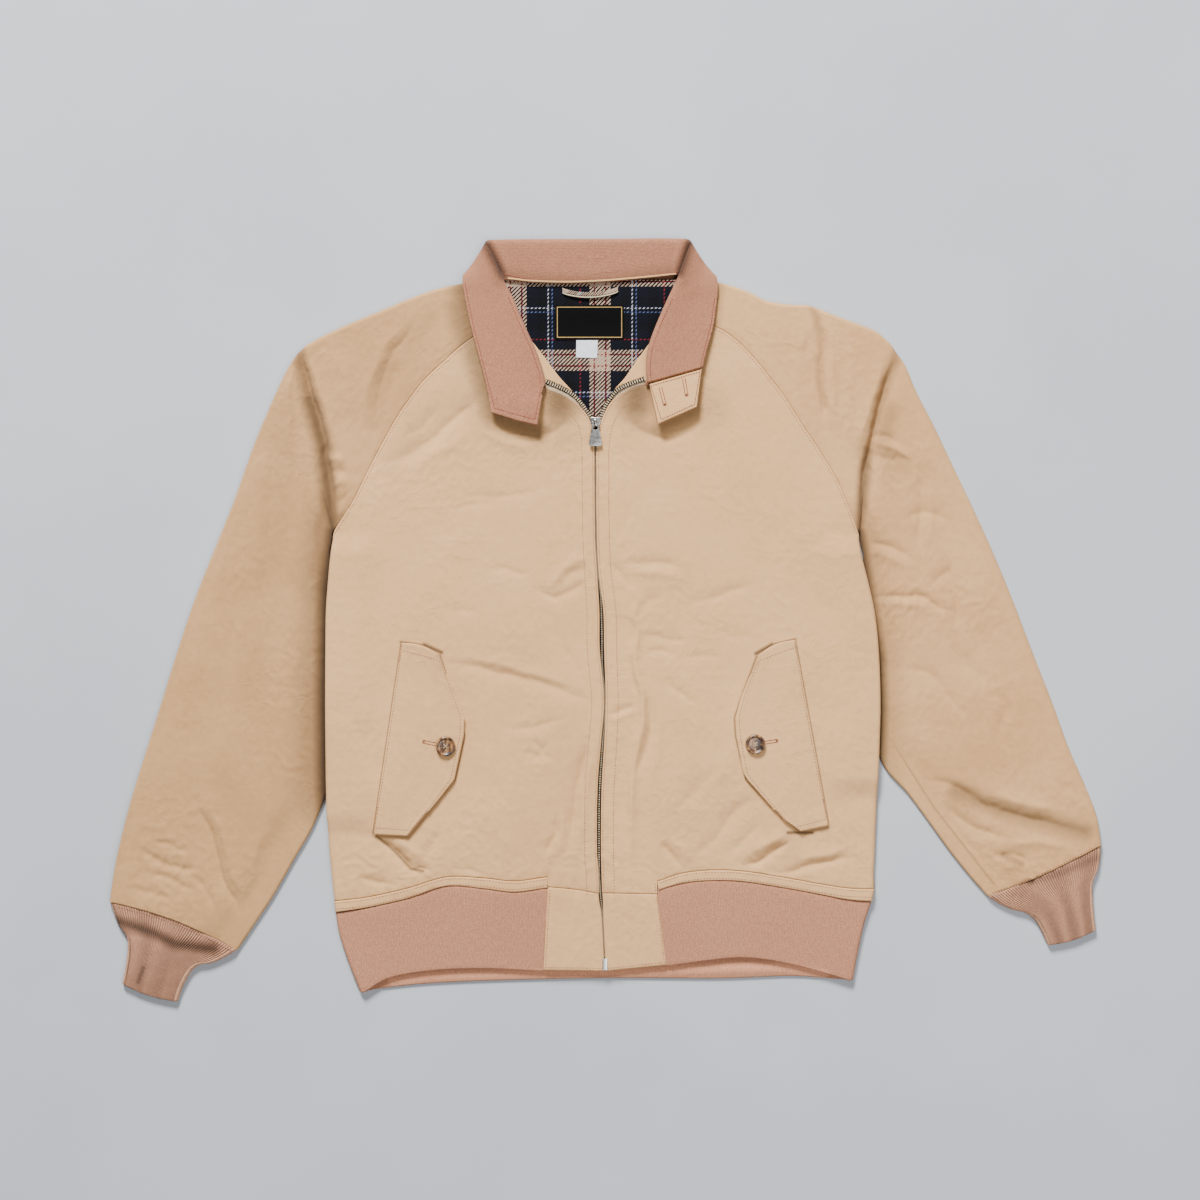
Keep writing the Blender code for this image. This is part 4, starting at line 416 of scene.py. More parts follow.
FOLDS = tuple(Fold(*row) for row in (
    # beside the zip
    (2.2, 5, 3.2, ((617, 578), (637, 597), (634, 615), (638, 632), (633, 650), (635, 672), (641, 690),
     (642, 720), (637, 745), (633, 770), (632, 800), (630, 850), (629, 878))),
    (-1.5, 6, 5, ((644, 688), (651, 712), (651, 730), (646, 748), (639, 766), (634, 782))),
    (-0.7, 2.6, 3, ((632, 645), (630, 662), (633, 683), (637, 700))),
    (-1.7, 2.6, 5, ((593, 733), (586, 757), (580, 776), (577, 792), (575, 815), (572, 835), (567, 853))),
    (1.2, 5, 3, ((596, 742), (590, 764), (585, 790), (583, 815), (580, 840), (574, 856))),
    (-1.2, 3, 3, ((558, 812), (556, 832), (549, 848), (546, 858))),
    (0.8, 4, 4, ((564, 805), (563, 830), (560, 848), (566, 858))),
    (-0.7, 2.6, 2.6, ((553, 858), (551, 872), (550, 890))),
    (-0.7, 2.6, 2.6, ((574, 862), (576, 880), (575, 900))),
    (-1, 2.6, 3.2, ((608, 714), (622, 711), (637, 706))),
    (0.6, 3, 3, ((608, 719), (622, 716), (638, 712))),
    (0.6, 5, 5, ((654, 700), (660, 730), (655, 760), (648, 790))),
    # chest
    (-1.2, 4, 4, ((532, 587), (545, 594), (556, 597), (570, 592), (590, 579))),
    (0.9, 4, 4, ((546, 590), (558, 576), (573, 563), (593, 559))),
    (-0.8, 4, 4, ((560, 586), (572, 573), (592, 568))),
    (-0.7, 4, 4, ((488, 572), (505, 569), (520, 573), (534, 572))),
    (-0.6, 4, 4, ((455, 502), (472, 496), (498, 498), (520, 494), (548, 487))),
    (-0.5, 4, 4, ((452, 508), (470, 505), (500, 503))),
    (-0.5, 4, 4, ((440, 617), (460, 611), (480, 614))),
    (-1.2, 5, 6, ((438, 657), (455, 664), (475, 667), (495, 672), (520, 677), (545, 685), (570, 694),
     (597, 702))),
    (0.8, 6, 5, ((462, 660), (500, 664), (540, 676), (575, 687))),
    (-0.5, 5, 5, ((545, 600), (560, 640), (575, 665), (588, 690))),
    (-0.7, 4, 4, ((503, 728), (530, 728), (548, 722), (568, 718))),
    (-0.7, 3, 3, ((530, 738), (540, 747), (550, 762))),
    (-0.6, 3, 3, ((551, 742), (541, 752), (531, 766))),
    (-0.6, 3, 3, ((518, 751), (535, 756), (556, 759))),
    (-1, 4, 4, ((605, 566), (617, 570), (626, 581), (633, 592))),
    (-1.1, 5, 5, ((626, 562), (645, 564), (662, 563), (682, 568))),
    (0.7, 5, 5, ((630, 571), (655, 573), (682, 578))),
    (-0.8, 4, 4, ((641, 606), (652, 600), (664, 598))),
    (-1, 5, 5, ((690, 603), (712, 598), (732, 590), (756, 583))),
    (-0.8, 3.5, 3.5, ((640, 640), (655, 636), (672, 640), (690, 638))),
    (-0.7, 3.5, 3.5, ((645, 655), (660, 650), (676, 656))),
    (-0.9, 4, 4, ((663, 672), (670, 685), (682, 694), (697, 706))),
    (-0.5, 5, 5, ((706, 626), (730, 634), (757, 640))),
    (-0.5, 4, 4, ((676, 660), (700, 655), (724, 660))),
    (-0.5, 4, 4, ((630, 500), (627, 520), (618, 540))),
    (0.9, 13, 12, ((700, 800), (722, 770), (738, 735), (736, 690))),
    (-0.9, 8, 8, ((676, 812), (700, 786), (722, 764))),
    (-1.1, 7, 7, ((718, 832), (735, 812), (758, 798))),
    # under the collar's tips
    (-1.7, 8, 7, ((482, 414), (503, 427), (530, 436), (556, 430), (570, 414))),
    (-0.8, 2.5, 2.5, ((494, 424), (512, 433), (530, 435))),
    (-0.8, 2.5, 2.5, ((508, 437), (528, 442), (548, 438))),
    (0.7, 4, 4, ((480, 430), (505, 444), (535, 450))),
    (-1.7, 7, 8, ((625, 412), (640, 430), (664, 438), (688, 430), (706, 414))),
    (-0.8, 2.5, 2.5, ((652, 436), (668, 440), (684, 436))),
    (-0.8, 2.5, 2.5, ((664, 430), (682, 428), (698, 420))),
    # hem, right
    (-2.7, 2.8, 6, ((377, 835), (392, 848), (402, 858), (413, 870), (420, 872))),
    (-1.4, 3, 3, ((412, 870), (422, 868), (431, 869))),
    (1, 6, 6, ((392, 838), (410, 850), (424, 862))),
    (-1, 5, 6, ((441, 828), (432, 845), (420, 862))),
    (-1.2, 4, 4, ((357, 877), (372, 882), (391, 884))),
    (-0.7, 3, 3, ((450, 870), (466, 869), (484, 873))),
    (0.7, 16, 16, ((480, 800), (500, 835), (520, 860))),
    # hem, left
    (-1.5, 3, 4, ((661, 842), (671, 853), (682, 867))),
    (0.8, 5, 5, ((670, 838), (682, 850), (694, 864))),
    (-2.6, 5, 3, ((741, 864), (757, 862), (771, 853), (789, 841))),
    (1.2, 5, 6, ((748, 854), (766, 845), (786, 832))),
    (-1.8, 4, 4, ((776, 872), (795, 870), (812, 866), (830, 861), (853, 858))),
    (1, 5, 5, ((800, 860), (822, 855), (846, 849))),
    (-0.7, 6, 6, ((690, 860), (716, 838), (730, 815))),
    (-0.8, 5, 5, ((760, 820), (746, 838), (728, 856))),
    # sides
    (-0.7, 3, 3, ((868, 610), (873, 640), (878, 670))),
    (-0.6, 3, 3, ((872, 660), (876, 690), (876, 720))),
    (-0.6, 3, 3, ((331, 600), (329, 640), (331, 690))),
    (-0.6, 12, 12, ((352, 720), (372, 750), (380, 790))),
    # yokes
    (-1.9, 7, 8, ((418, 320), (398, 347), (384, 374), (378, 400), (374, 432))),
    (1, 7, 7, ((405, 322), (384, 350), (369, 384), (364, 415))),
    (-0.9, 6, 6, ((398, 360), (392, 380), (386, 402))),
    (-1.9, 8, 8, ((382, 463), (403, 458), (425, 444), (446, 427), (468, 406), (484, 394))),
    (0.8, 7, 7, ((412, 468), (440, 452), (470, 430))),
    (-0.8, 7, 7, ((400, 440), (420, 428), (440, 408))),
    (1, 12, 12, ((330, 350), (345, 380), (352, 420))),
    (-1.8, 4, 5, ((812, 306), (819, 325), (822, 345), (820, 372), (823, 400), (827, 432))),
    (1.1, 6, 4, ((822, 306), (831, 340), (832, 380), (836, 430))),
    (-0.8, 5, 5, ((806, 330), (808, 360), (812, 392))),
    (0.7, 10, 10, ((850, 350), (848, 400), (846, 460))),
    # crumples at the armholes
    (-1.6, 3, 3, ((321, 446), (330, 452), (336, 460))),
    (1.6, 3, 3, ((326, 462), (336, 458), (346, 464))),
    (-1.5, 3, 3, ((329, 474), (338, 470), (347, 474))),
    (1.5, 3, 3, ((332, 488), (341, 482), (347, 488))),
    (-1.3, 3, 3, ((334, 498), (342, 500), (348, 494))),
    (1.2, 3, 3, ((336, 510), (341, 514), (345, 506))),
    # where the sleeves fold under the yokes
    (-4.6, 3, 7.5, ((298, 344), (303, 362), (309, 385), (318, 416), (325, 445), (330, 475), (333, 505),
     (334, 531))),
    (1.6, 5, 9, ((292, 356), (290, 385), (289, 430), (292, 470))),
    (1.1, 6, 3, ((307, 352), (318, 385), (328, 416), (336, 445))),
    (-4.4, 7.5, 3, ((899, 350), (891, 368), (882, 394), (874, 428), (866, 462), (861, 500), (859, 531))),
    (1, 3, 6, ((886, 352), (876, 385), (866, 420), (858, 455))),
    # wearer's-right sleeve
    (-1.3, 12, 12, ((276, 440), (272, 480), (268, 540), (262, 592), (245, 650))),
    (-0.9, 10, 12, ((250, 560), (232, 640), (222, 700), (216, 750))),
    (1, 14, 14, ((300, 480), (303, 560), (296, 660), (280, 760))),
    (0.9, 12, 14, ((236, 520), (210, 600), (190, 680), (170, 760))),
    (-1.7, 3, 4.5, ((196, 798), (211, 834), (222, 874), (234, 902), (246, 928))),
    (1.1, 5, 4, ((206, 800), (222, 836), (233, 874), (244, 902))),
    (-1.3, 4, 4, ((140, 848), (160, 862), (180, 868), (202, 870))),
    (-1, 4, 4, ((144, 872), (163, 877), (182, 884), (198, 896))),
    (-0.8, 3, 3, ((150, 838), (170, 846), (190, 852))),
    (-0.9, 4, 4, ((186, 872), (204, 888), (216, 912))),
    (-0.8, 3, 3, ((132, 888), (150, 892), (172, 902))),
    (0.9, 8, 8, ((266, 820), (254, 860), (240, 905))),
    # wearer's-left sleeve
    (-1.4, 3, 3, ((868, 436), (884, 436), (902, 446))),
    (1.7, 4, 4, ((873, 443), (893, 447), (912, 461))),
    (-1.3, 4, 4, ((868, 454), (886, 458), (900, 466))),
    (-1.4, 3, 3, ((864, 540), (890, 547), (914, 560))),
    (1, 4, 4, ((864, 550), (888, 556), (908, 566))),
    (-1.6, 2.6, 4, ((870, 598), (900, 596), (920, 596), (935, 605), (957, 612))),
    (0.8, 4, 4, ((880, 606), (905, 604), (925, 606), (940, 614))),
    (-1, 5, 5, ((917, 470), (922, 505), (919, 535), (927, 562))),
    (0.8, 5, 5, ((927, 476), (932, 510), (930, 545))),
    (-1, 5, 5, ((941, 555), (950, 580), (957, 606), (955, 632))),
    (-0.9, 4, 4, ((906, 520), (926, 512), (948, 520))),
    (-0.8, 4, 4, ((930, 590), (942, 575), (956, 566))),
    (-1.1, 5, 6, ((906, 668), (935, 676), (953, 702), (968, 716))),
    (-0.9, 6, 6, ((990, 690), (1006, 706), (1001, 732), (1016, 762))),
    (-0.8, 7, 7, ((960, 650), (975, 672), (992, 684))),
    (-2.2, 5, 8, ((922, 779), (950, 785), (970, 795), (985, 806), (1006, 812), (1036, 820), (1086, 833))),
    (-1.5, 6, 7, ((934, 800), (958, 818), (982, 830), (1010, 838))),
    (1.2, 6, 6, ((985, 794), (1020, 803), (1060, 812))),
    (1, 5, 5, ((1000, 846), (1035, 842), (1075, 850))),
    (-1.6, 4, 4, ((992, 858), (1010, 854), (1024, 858), (1030, 868))),
    (1, 12, 12, ((960, 440), (990, 510), (1020, 590), (1045, 670))),
    (-1.1, 2.2, 2.6, ((883, 728), (907, 765), (935, 805), (965, 840), (1004, 881)))))


# ------------------------------------------------------------------ number tools
def smooth_step(start: float, end: float, value: Array | float) -> Array:
    """Ease from 0 to 1.

    Args:
        start: Value that gives 0.
        end: Value that gives 1; may be below start.
        value: Values to ease.

    Returns:
        Eased shares, the shape of value.
    """
    t = np.clip((np.asarray(value, dtype=float) - start) / (end - start), 0.0, 1.0)
    return t * t * (3 - 2 * t)


def lay(*parts: Array) -> Array:
    """Places or pairs from arrays of their coordinates."""
    return np.stack(np.broadcast_arrays(*parts), axis=-1)


def runs(places: Array) -> Array:
    """Distances along a line of places, from 0."""
    return np.concatenate([[0], np.cumsum(np.linalg.norm(np.diff(places, axis=0), axis=1))])


def mix(a: Array | float, b: Array | float, t: Array | float) -> Array:
    """Blend linearly from a at t = 0 to b at t = 1."""
    return a + (b - a) * t


def unit(vectors: Array) -> Array:
    """Scale vectors on the last axis to length 1."""
    length = np.linalg.norm(vectors, axis=-1, keepdims=True)
    return vectors / np.maximum(length, 1e-9)


def spline(rows: Sequence[Sequence[float]], steps: Sequence[int] | int) -> Array:
    """Catmull-Rom rows through a table.

    Args:
        rows: Table rows of equal length.
        steps: Spans to cut each gap into, one number or one for each gap.

    Returns:
        The dense rows, ends included.
    """
    table = np.array([tuple(r) for r in rows], dtype=float)
    padded = np.vstack([2 * table[0] - table[1], table, 2 * table[-1] - table[-2]])
    counts = [steps] * (len(table) - 1) if isinstance(steps, int) else list(steps)
    dense = []
    for i, count in enumerate(counts):
        p0, p1, p2, p3 = padded[i:i + 4]
        for t in np.arange(count) / count:
            dense.append(0.5 * (2 * p1 + (p2 - p0) * t + (2 * p0 - 5 * p1 + 4 * p2 - p3) * t ** 2
                                + (3 * p1 - p0 - 3 * p2 + p3) * t ** 3))
    dense.append(table[-1])
    return np.array(dense)


class Curve:
    """A smooth height over one coordinate, read from a short table."""

    def __init__(self, points: Places) -> None:
        dense = spline(points, 10)
        self.xs, self.ys = dense[:, 0], dense[:, 1]

    def __call__(self, x: Array | float) -> Array:
        return np.interp(x, self.xs, self.ys)


class Noise:
    """Smooth gradient noise on a repeating lattice, from a fixed seed."""

    def __init__(self, seed: int) -> None:
        angles = np.random.default_rng(seed).uniform(0, 2 * math.pi, (64, 64))
        self.slopes = lay(np.cos(angles), np.sin(angles))

    def __call__(self, x: Array, y: Array, size: float) -> Array:
        """Noise from about -1 to 1 with features of the given size in mm."""
        x, y = np.asarray(x, dtype=float) / size, np.asarray(y, dtype=float) / size
        ix, iy = np.floor(x).astype(int), np.floor(y).astype(int)
        fx, fy = x - ix, y - iy

        def corner(dx: int, dy: int) -> Array:
            slope = self.slopes[(ix + dx) % 64, (iy + dy) % 64]
            return slope[..., 0] * (fx - dx) + slope[..., 1] * (fy - dy)

        ease_x, ease_y = fx ** 3 * (fx * (fx * 6 - 15) + 10), fy ** 3 * (fy * (fy * 6 - 15) + 10)
        low = mix(corner(0, 0), corner(1, 0), ease_x)
        high = mix(corner(0, 1), corner(1, 1), ease_x)
        return 1.6 * mix(low, high, ease_y)


# --------------------------------------------------------- heights of the layers
class Body:
    """Plan heights of the laid jacket's layers, in board millimetres."""

    def __init__(self) -> None:
        self.side_right = Curve([(s.y, s.right_x) for s in SIDE_EDGES])
        self.side_left = Curve([(s.y, s.left_x) for s in SIDE_EDGES])
        self.zip_middle = Curve([(z.y, z.middle_x) for z in ZIP_LINE])
        self.zip_gap = Curve([(z.y, z.gap) for z in ZIP_LINE])
        self.warp = Noise(11)
        self.swell = Noise(23)
        self.crumple = Noise(5)

    def side(self, y: Array, left: bool) -> Array:
        """x of the body's side fold."""
        return self.side_left(y) if left else self.side_right(y)

    def zip_edge(self, y: Array, left: bool) -> Array:
        """x of a front's zip edge."""
        return self.zip_middle(y) + self.zip_gap(y) * (0.5 if left else -0.5)

    def side_raise(self, x: Array, y: Array) -> Array:
        """Share of the lift that the body's sides get from the sleeves beneath."""
        left = x > ORIGIN_X
        distance = np.where(left, self.side_left(y) - x, x - self.side_right(y))
        rest = np.where(left, smooth_step(800, 775, y), smooth_step(838, 812, y))
        return smooth_step(531, 556, y) * rest * smooth_step(SIDE_LIFT_END, SIDE_LIFT_FULL, distance)

    def collar_raise(self, x: Array, y: Array) -> Array:
        """1 over the collar's hidden fall, 0 away from it."""
        across = smooth_step(446, 462, x) * smooth_step(734, 719, x)
        return across * smooth_step(332, 304, y)

    def back_bottom(self, x: Array, y: Array) -> Array:
        """Underside of the back."""
        return SIDE_LIFT * self.side_raise(x, y) + COLLAR_LIFT * self.collar_raise(x, y)

    def layer_gap(self, x: Array, y: Array) -> Array:
        """Air between the back and the fronts."""
        gap = mix(LAYER_GAP, SIDE_GAP, self.side_raise(x, y))
        throat = smooth_step(452, 425, y) * smooth_step(60, 40, np.abs(x - THROAT_X))
        gap = mix(gap, THROAT_GAP, throat)
        for centre_x, centre_y in UNDERARMS:
            away = (x - centre_x) ** 2 + (y - centre_y) ** 2
            gap = gap + UNDERARM_SWELL * np.exp(-away / UNDERARM_REACH ** 2)
        return gap - (COLLAR_LIFT - 0.6) * self.collar_raise(x, y)

    def under_front(self, x: Array, y: Array) -> Array:
        """Underside of the fronts."""
        return self.back_bottom(x, y) + CLOTH + self.layer_gap(x, y)

    def side_radius(self, x: Array, y: Array) -> Array:
        """Radius of the roll from a front to the back."""
        return (2 * CLOTH + mix(LAYER_GAP, SIDE_GAP, self.side_raise(x, y))) / 2

    def folds(self, x: Array, y: Array) -> Array:
        """Sum of the folds, on paths that wander a little."""
        x = x + 1.6 * self.warp(x, y, 24) + 0.7 * self.warp(y, x, 9)
        y = y + 1.6 * self.warp(x + 400, y, 24) + 0.7 * self.warp(y + 300, x, 9)
        total = np.zeros(np.shape(x))
        for f in FOLDS:
            path = spline(f.path, 4)
            reach = 2.6 * max(f.right, f.left)
            low, high = path.min(axis=0) - reach, path.max(axis=0) + reach
            near = np.nonzero((x > low[0]) & (x < high[0]) & (y > low[1]) & (y < high[1]))
            total[near] += FOLD_STRENGTH * self.fold(f, path, x[near], y[near])
        return total

    @staticmethod
    def fold(f: Fold, path: Array, x: Array, y: Array) -> Array:
        """Height of one fold at places near it."""
        runs = np.diff(path, axis=0)
        lengths = np.linalg.norm(runs, axis=1)
        best = np.full(x.shape, 1e9)
        across, along = np.zeros(x.shape), np.zeros(x.shape)
        start = 0.0
        for (x0, y0), run, length in zip(path, runs, lengths):
            way = run / length
            at = np.clip((x - x0) * way[0] + (y - y0) * way[1], 0, length)
            distance = np.hypot(x - x0 - way[0] * at, y - y0 - way[1] * at)
            closer = distance < best
            best = np.where(closer, distance, best)
            side = (x - x0) * way[1] - (y - y0) * way[0]
            across = np.where(closer, np.sign(side) * distance, across)
            along = np.where(closer, start + at, along)
            start += length
        ends = smooth_step(0, 0.3 * start, along) * smooth_step(start, 0.7 * start, along)
        width = np.where(across > 0, f.right, f.left) * (0.65 + 0.3 * ends)
        share = (0.15 + 0.85 * ends) * np.exp(-(best / width) ** 1.3)
        return f.height * share

    def cloth(self, x: Array, y: Array) -> Array:
        """Slow swells and small crumples of the washed cotton."""
        slow = 0.9 * self.swell(x, y, 90) + 0.32 * self.swell(x + 90, y, 36)
        fine = self.crumple(x + 4 * self.warp(x, y, 16), y + 3 * self.warp(y, x, 16), 15)
        creased = (1 - np.abs(fine)) ** 4
        where = 0.25 + 0.75 * smooth_step(0.0, 0.6, self.swell(x + 500, y + 200, 70))
        small = (1 - np.abs(self.crumple(y + 3 * self.warp(x, y, 11), x, 9))) ** 4
        hem = np.minimum(np.abs(y - HEM_Y), 60.0)
        side = np.minimum(x - self.side_right(y), self.side_left(y) - x)
        zipper = np.abs(x - self.zip_middle(y) - 24)
        busy = np.exp(-hem / 34) + 0.7 * np.exp(-np.abs(side) / 26) + 0.6 * np.exp(-zipper / 22)
        where = where + 0.8 * busy
        return slow + where * (0.5 * creased + 0.26 * small) + 0.08 * self.crumple(y, x, 6)

    def front(self, x: Array, y: Array) -> Array:
        """Outside of the fronts before their own folds fade at the sides."""
        base = self.under_front(x, y) + CLOTH
        edge = np.minimum(x - self.side_right(y), self.side_left(y) - x)
        inside = np.where(y > UNDERARM_Y, smooth_step(0, 14, edge), 1.0)
        near_zip = np.abs(x - self.zip_middle(y)) - 0.5 * self.zip_gap(y)
        placket = 0.35 * smooth_step(PLACKET + 1.4, PLACKET, near_zip) * (y > THROAT_FOOT_Y)
        return base + (self.folds(x, y) + self.cloth(x, y)) * inside + placket


BODY = Body()


# ------------------------------------------------------------- meshes from grids
def to_metres(points: Array) -> Array:
    """Board millimetres to the row frame in metres."""
    points = np.asarray(points, dtype=float)
    return lay((points[..., 0] - ORIGIN_X) / 1000, (ORIGIN_Y - points[..., 1]) / 1000,
               points[..., 2] / 1000)


def linked(name: str, data: bpy.types.ID) -> bpy.types.Object:
    """A new object with its data, linked to the scene."""
    made = bpy.data.objects.new(name, data)
    bpy.context.scene.collection.objects.link(made)
    return made


def smooth(made: bpy.types.Object, sharp: float | None = None) -> bpy.types.Object:
    """Shade an object smooth, but sharp above an angle in degrees if given."""
    made.data.shade_smooth()
    if sharp is not None:
        made.data.set_sharp_from_angle(angle=math.radians(sharp))
    return made


def finish(made: bpy.types.Object, material: bpy.types.Material,
           sharp: float | None = None) -> bpy.types.Object:
    """Give an object its only material, and smooth shading."""
    made.data.materials.clear()
    made.data.materials.append(material)
    return smooth(made, sharp)


def realize(made: bpy.types.Object) -> None:
    """Turn an object's modifiers into its mesh."""
    graph = bpy.context.evaluated_depsgraph_get()
    mesh = bpy.data.meshes.new_from_object(made.evaluated_get(graph))
    made.modifiers.clear()
    made.data = mesh


@dataclass
class Grid:
    """A grid of places with plan lengths as UVs, both in millimetres.

    Attributes:
        points: Rows by columns by 3.
        uv: Rows by columns by 2; lengths along the middle row and column if not given.
        closed: Whether each row joins up into a ring.
    """

    points: Array
    uv: Array | None = None
    closed: bool = False

    def __post_init__(self) -> None:
        if self.uv is None:
            rows, columns = self.points.shape[:2]
            across, along = runs(self.points[rows // 2]), runs(self.points[:, columns // 2])
            self.uv = lay(*np.meshgrid(across, along))

    def turned(self, side: str, radius: float = EDGE_ROUND, angle: float = 150.0,
               steps: int = 5, back: float = 1.5) -> "Grid":
        """Round one edge over, as turned cloth is; its outermost line stays where the edge was.

        Args:
            side: "first_row", "last_row", "first_column" or "last_column".
            radius: Radius of the turn.
            angle: Degrees to turn through.
            steps: Facets in the turn.
            back: Length that returns beneath the cloth.

        Returns:
            A grid with the turn's lines added.
        """
        column, first = "column" in side, "first" in side
        points, uv = self.points, self.uv
        if column:
            points, uv = points.swapaxes(0, 1), uv.swapaxes(0, 1)
        if first:
            points, uv = points[::-1], uv[::-1]
        points = points.copy()
        away = points[-1] - points[-3]
        away[..., 2] = 0
        away = unit(away)
        uv_away = unit(uv[-1] - uv[-3])
        edge = points[-1] = points[-1] - away * radius
        gap = np.linalg.norm(edge - points[-3], axis=-1)
        points[-2] = np.where((gap > 0.2)[..., None], mix(points[-3], edge, 0.5), points[-2])
        added, added_uv = [], []
        for k in range(1, steps + 1):
            a = math.radians(angle) * k / steps
            drop = np.array((0, 0, -radius * (1 - math.cos(a))))
            added.append(edge + away * radius * math.sin(a) + drop)
            added_uv.append(uv[-1] + uv_away * radius * a)
        if back:
            added.append(added[-1] - away * back)
            added_uv.append(added_uv[-1] + uv_away * back)
        points = np.concatenate([points, np.array(added)])
        uv = np.concatenate([uv, np.array(added_uv)])
        if first:
            points, uv = points[::-1], uv[::-1]
        if column:
            points, uv = points.swapaxes(0, 1), uv.swapaxes(0, 1)
        return Grid(points, uv, self.closed)

    def clamped(self, lowest: float) -> "Grid":
        """The same grid with nothing below a level."""
        points = self.points.copy()
        points[..., 2] = np.maximum(points[..., 2], lowest)
        return Grid(points, self.uv, self.closed)


BELOW = -100.0            # heart of a sheet that is seen from above


def piece(name: str, grid: Grid, material: bpy.types.Material, heart: float = BELOW,
          welded: bool = False) -> bpy.types.Object:
    """Make a mesh object of a grid, its outside away from a heart at the grid's middle.

    Args:
        name: Object name.
        grid: The places.
        material: Its finish.
        heart: Level of the heart in mm: below a sheet seen from above, inside a tube.
        welded: Whether places that coincide are made one, which closes a slab's ends.

    Returns:
        The linked object.
    """
    rows, columns = grid.points.shape[:2]
    spans = columns if grid.closed else columns - 1
    index = np.arange(rows * columns).reshape(rows, columns)
    following = np.roll(index, -1, axis=1)
    quads = lay(index[:-1, :spans], index[1:, :spans], following[1:, :spans],
                following[:-1, :spans]).reshape(-1, 4)
    places = to_metres(grid.points).reshape(-1, 3)
    a, b, c, d = (places[quads[:, k]] for k in range(4))
    middle = np.append(places[:, :2].mean(axis=0), heart / 1000)
    volume = np.einsum("ij,ij->", (a + b + c + d) / 4 - middle, np.cross(c - a, d - b))
    if volume < 0:
        quads = quads[:, ::-1]
    mesh = bpy.data.meshes.new(name)
    mesh.from_pydata(places.tolist(), [], quads.tolist())
    layer = mesh.uv_layers.new(name="Cut")
    corner = np.zeros(len(mesh.loops), dtype=np.int32)
    mesh.loops.foreach_get("vertex_index", corner)
    layer.data.foreach_set("uv", grid.uv.reshape(-1, 2)[corner].astype(np.float32).ravel())
    if welded:
        gathered = bmesh.new()
        gathered.from_mesh(mesh)
        bmesh.ops.remove_doubles(gathered, verts=gathered.verts, dist=2e-6)
        bmesh.ops.dissolve_degenerate(gathered, edges=gathered.edges, dist=1e-7)
        gathered.to_mesh(mesh)
        gathered.free()
    made = linked(name, mesh)
    return finish(made, material)


class Surface:
    """Reads the top of finished pieces, in board millimetres."""

    def __init__(self, *objects: bpy.types.Object) -> None:
        self.trees = []
        for item in objects:
            mesh_data = bmesh.new()
            mesh_data.from_mesh(item.data)
            self.trees.append(BVHTree.FromBMesh(mesh_data))
            mesh_data.free()

    def drop(self, places: Array, lift: float = 0.0, default: float = 8.0) -> Array:
        """Lay plan places on the surface.

        Args:
            places: N by 2 places.
            lift: Height to add.
            default: Level where nothing lies below.

        Returns:
            N by 3 places.
        """
        result = []
        for x, y in np.asarray(places, dtype=float)[:, :2]:
            above = Vector(((x - ORIGIN_X) / 1000, (ORIGIN_Y - y) / 1000, 0.1))
            hits = [tree.ray_cast(above, Vector((0, 0, -1)))[0] for tree in self.trees]
            heights = [hit.z * 1000 for hit in hits if hit is not None]
            result.append((x, y, (max(heights) if heights else default) + lift))
        return np.array(result)


def resample(table: Sequence[Sequence[float]], step: float, tail: Sequence[float] = ()) -> Array:
    """Even rows along a table of row ends.

    Args:
        table: Rows of two x, y pairs, then any other columns.
        step: Mean spacing of the two ends in mm.
        tail: Extra rows at these distances from the last one.

    Returns:
        The new rows.
    """
    fine = spline(table, 14)
    length = sum(np.linalg.norm(np.diff(fine[:, i:i + 2], axis=0), axis=1) for i in (0, 2)) / 2
    run = np.concatenate([[0], np.cumsum(length)])
    stop = run[-1] - (tail[0] if tail else 0)
    at = np.concatenate([np.linspace(0, stop, max(2, round(stop / step) + 1)),
                         run[-1] - np.array(tail[1:])])
    return np.stack([np.interp(at, run, fine[:, k]) for k in range(fine.shape[1])], axis=1)


CLUSTER = (3.2, 2.2, 1.4, 0.8, 0.35, 0.1, 0.0)     # extra lines beside a tucked or rolled edge


def spread(lengths: Array, count: int, start: bool = False, end: bool = True) -> Array:
    """Distances along rows, closer together at edges that tuck or roll."""
    near = np.array(CLUSTER)
    lengths = np.asarray(lengths, dtype=float)[:, None]
    low = near[0] if start else 0.0
    high = near[0] if end else 0.0
    middle = low + (lengths - low - high) * np.linspace(0, 1, count)
    parts = [np.broadcast_to(near[:0:-1], (len(lengths), len(near) - 1))] if start else []
    parts.append(middle)
    if end:
        parts.append(lengths - near[1:])
    return np.concatenate(parts, axis=1)


def quarter(distance: Array, radius: Array | float) -> Array:
    """Drop of a quarter round at a distance from its edge."""
    inside = np.clip(1 - distance / radius, 0, 1)
    return radius * (1 - np.sqrt(np.maximum(0, 1 - inside ** 2)))


def tuck(distance: Array) -> Array:
    """Drop of cloth that turns down into a seam."""
    return 0.85 * quarter(distance, 1.5) + 0.25 * smooth_step(7, 1, distance)


def pucker(x: Array, y: Array, distance: Array) -> Array:
    """Small gathers that stitches draw beside a seam."""
    return 0.16 * BODY.crumple(x, y, 5.5) * np.exp(-np.abs(distance) / 4.5)


def straight(ends: Array, distance: Array) -> tuple[Array, Array]:
    """Places at distances along rows given by x0, y0, x1, y1."""
    start, stop = ends[:, 0:2], ends[:, 2:4]
    way = unit(stop - start)
    return (start[:, 0:1] + way[:, 0:1] * distance, start[:, 1:2] + way[:, 1:2] * distance)


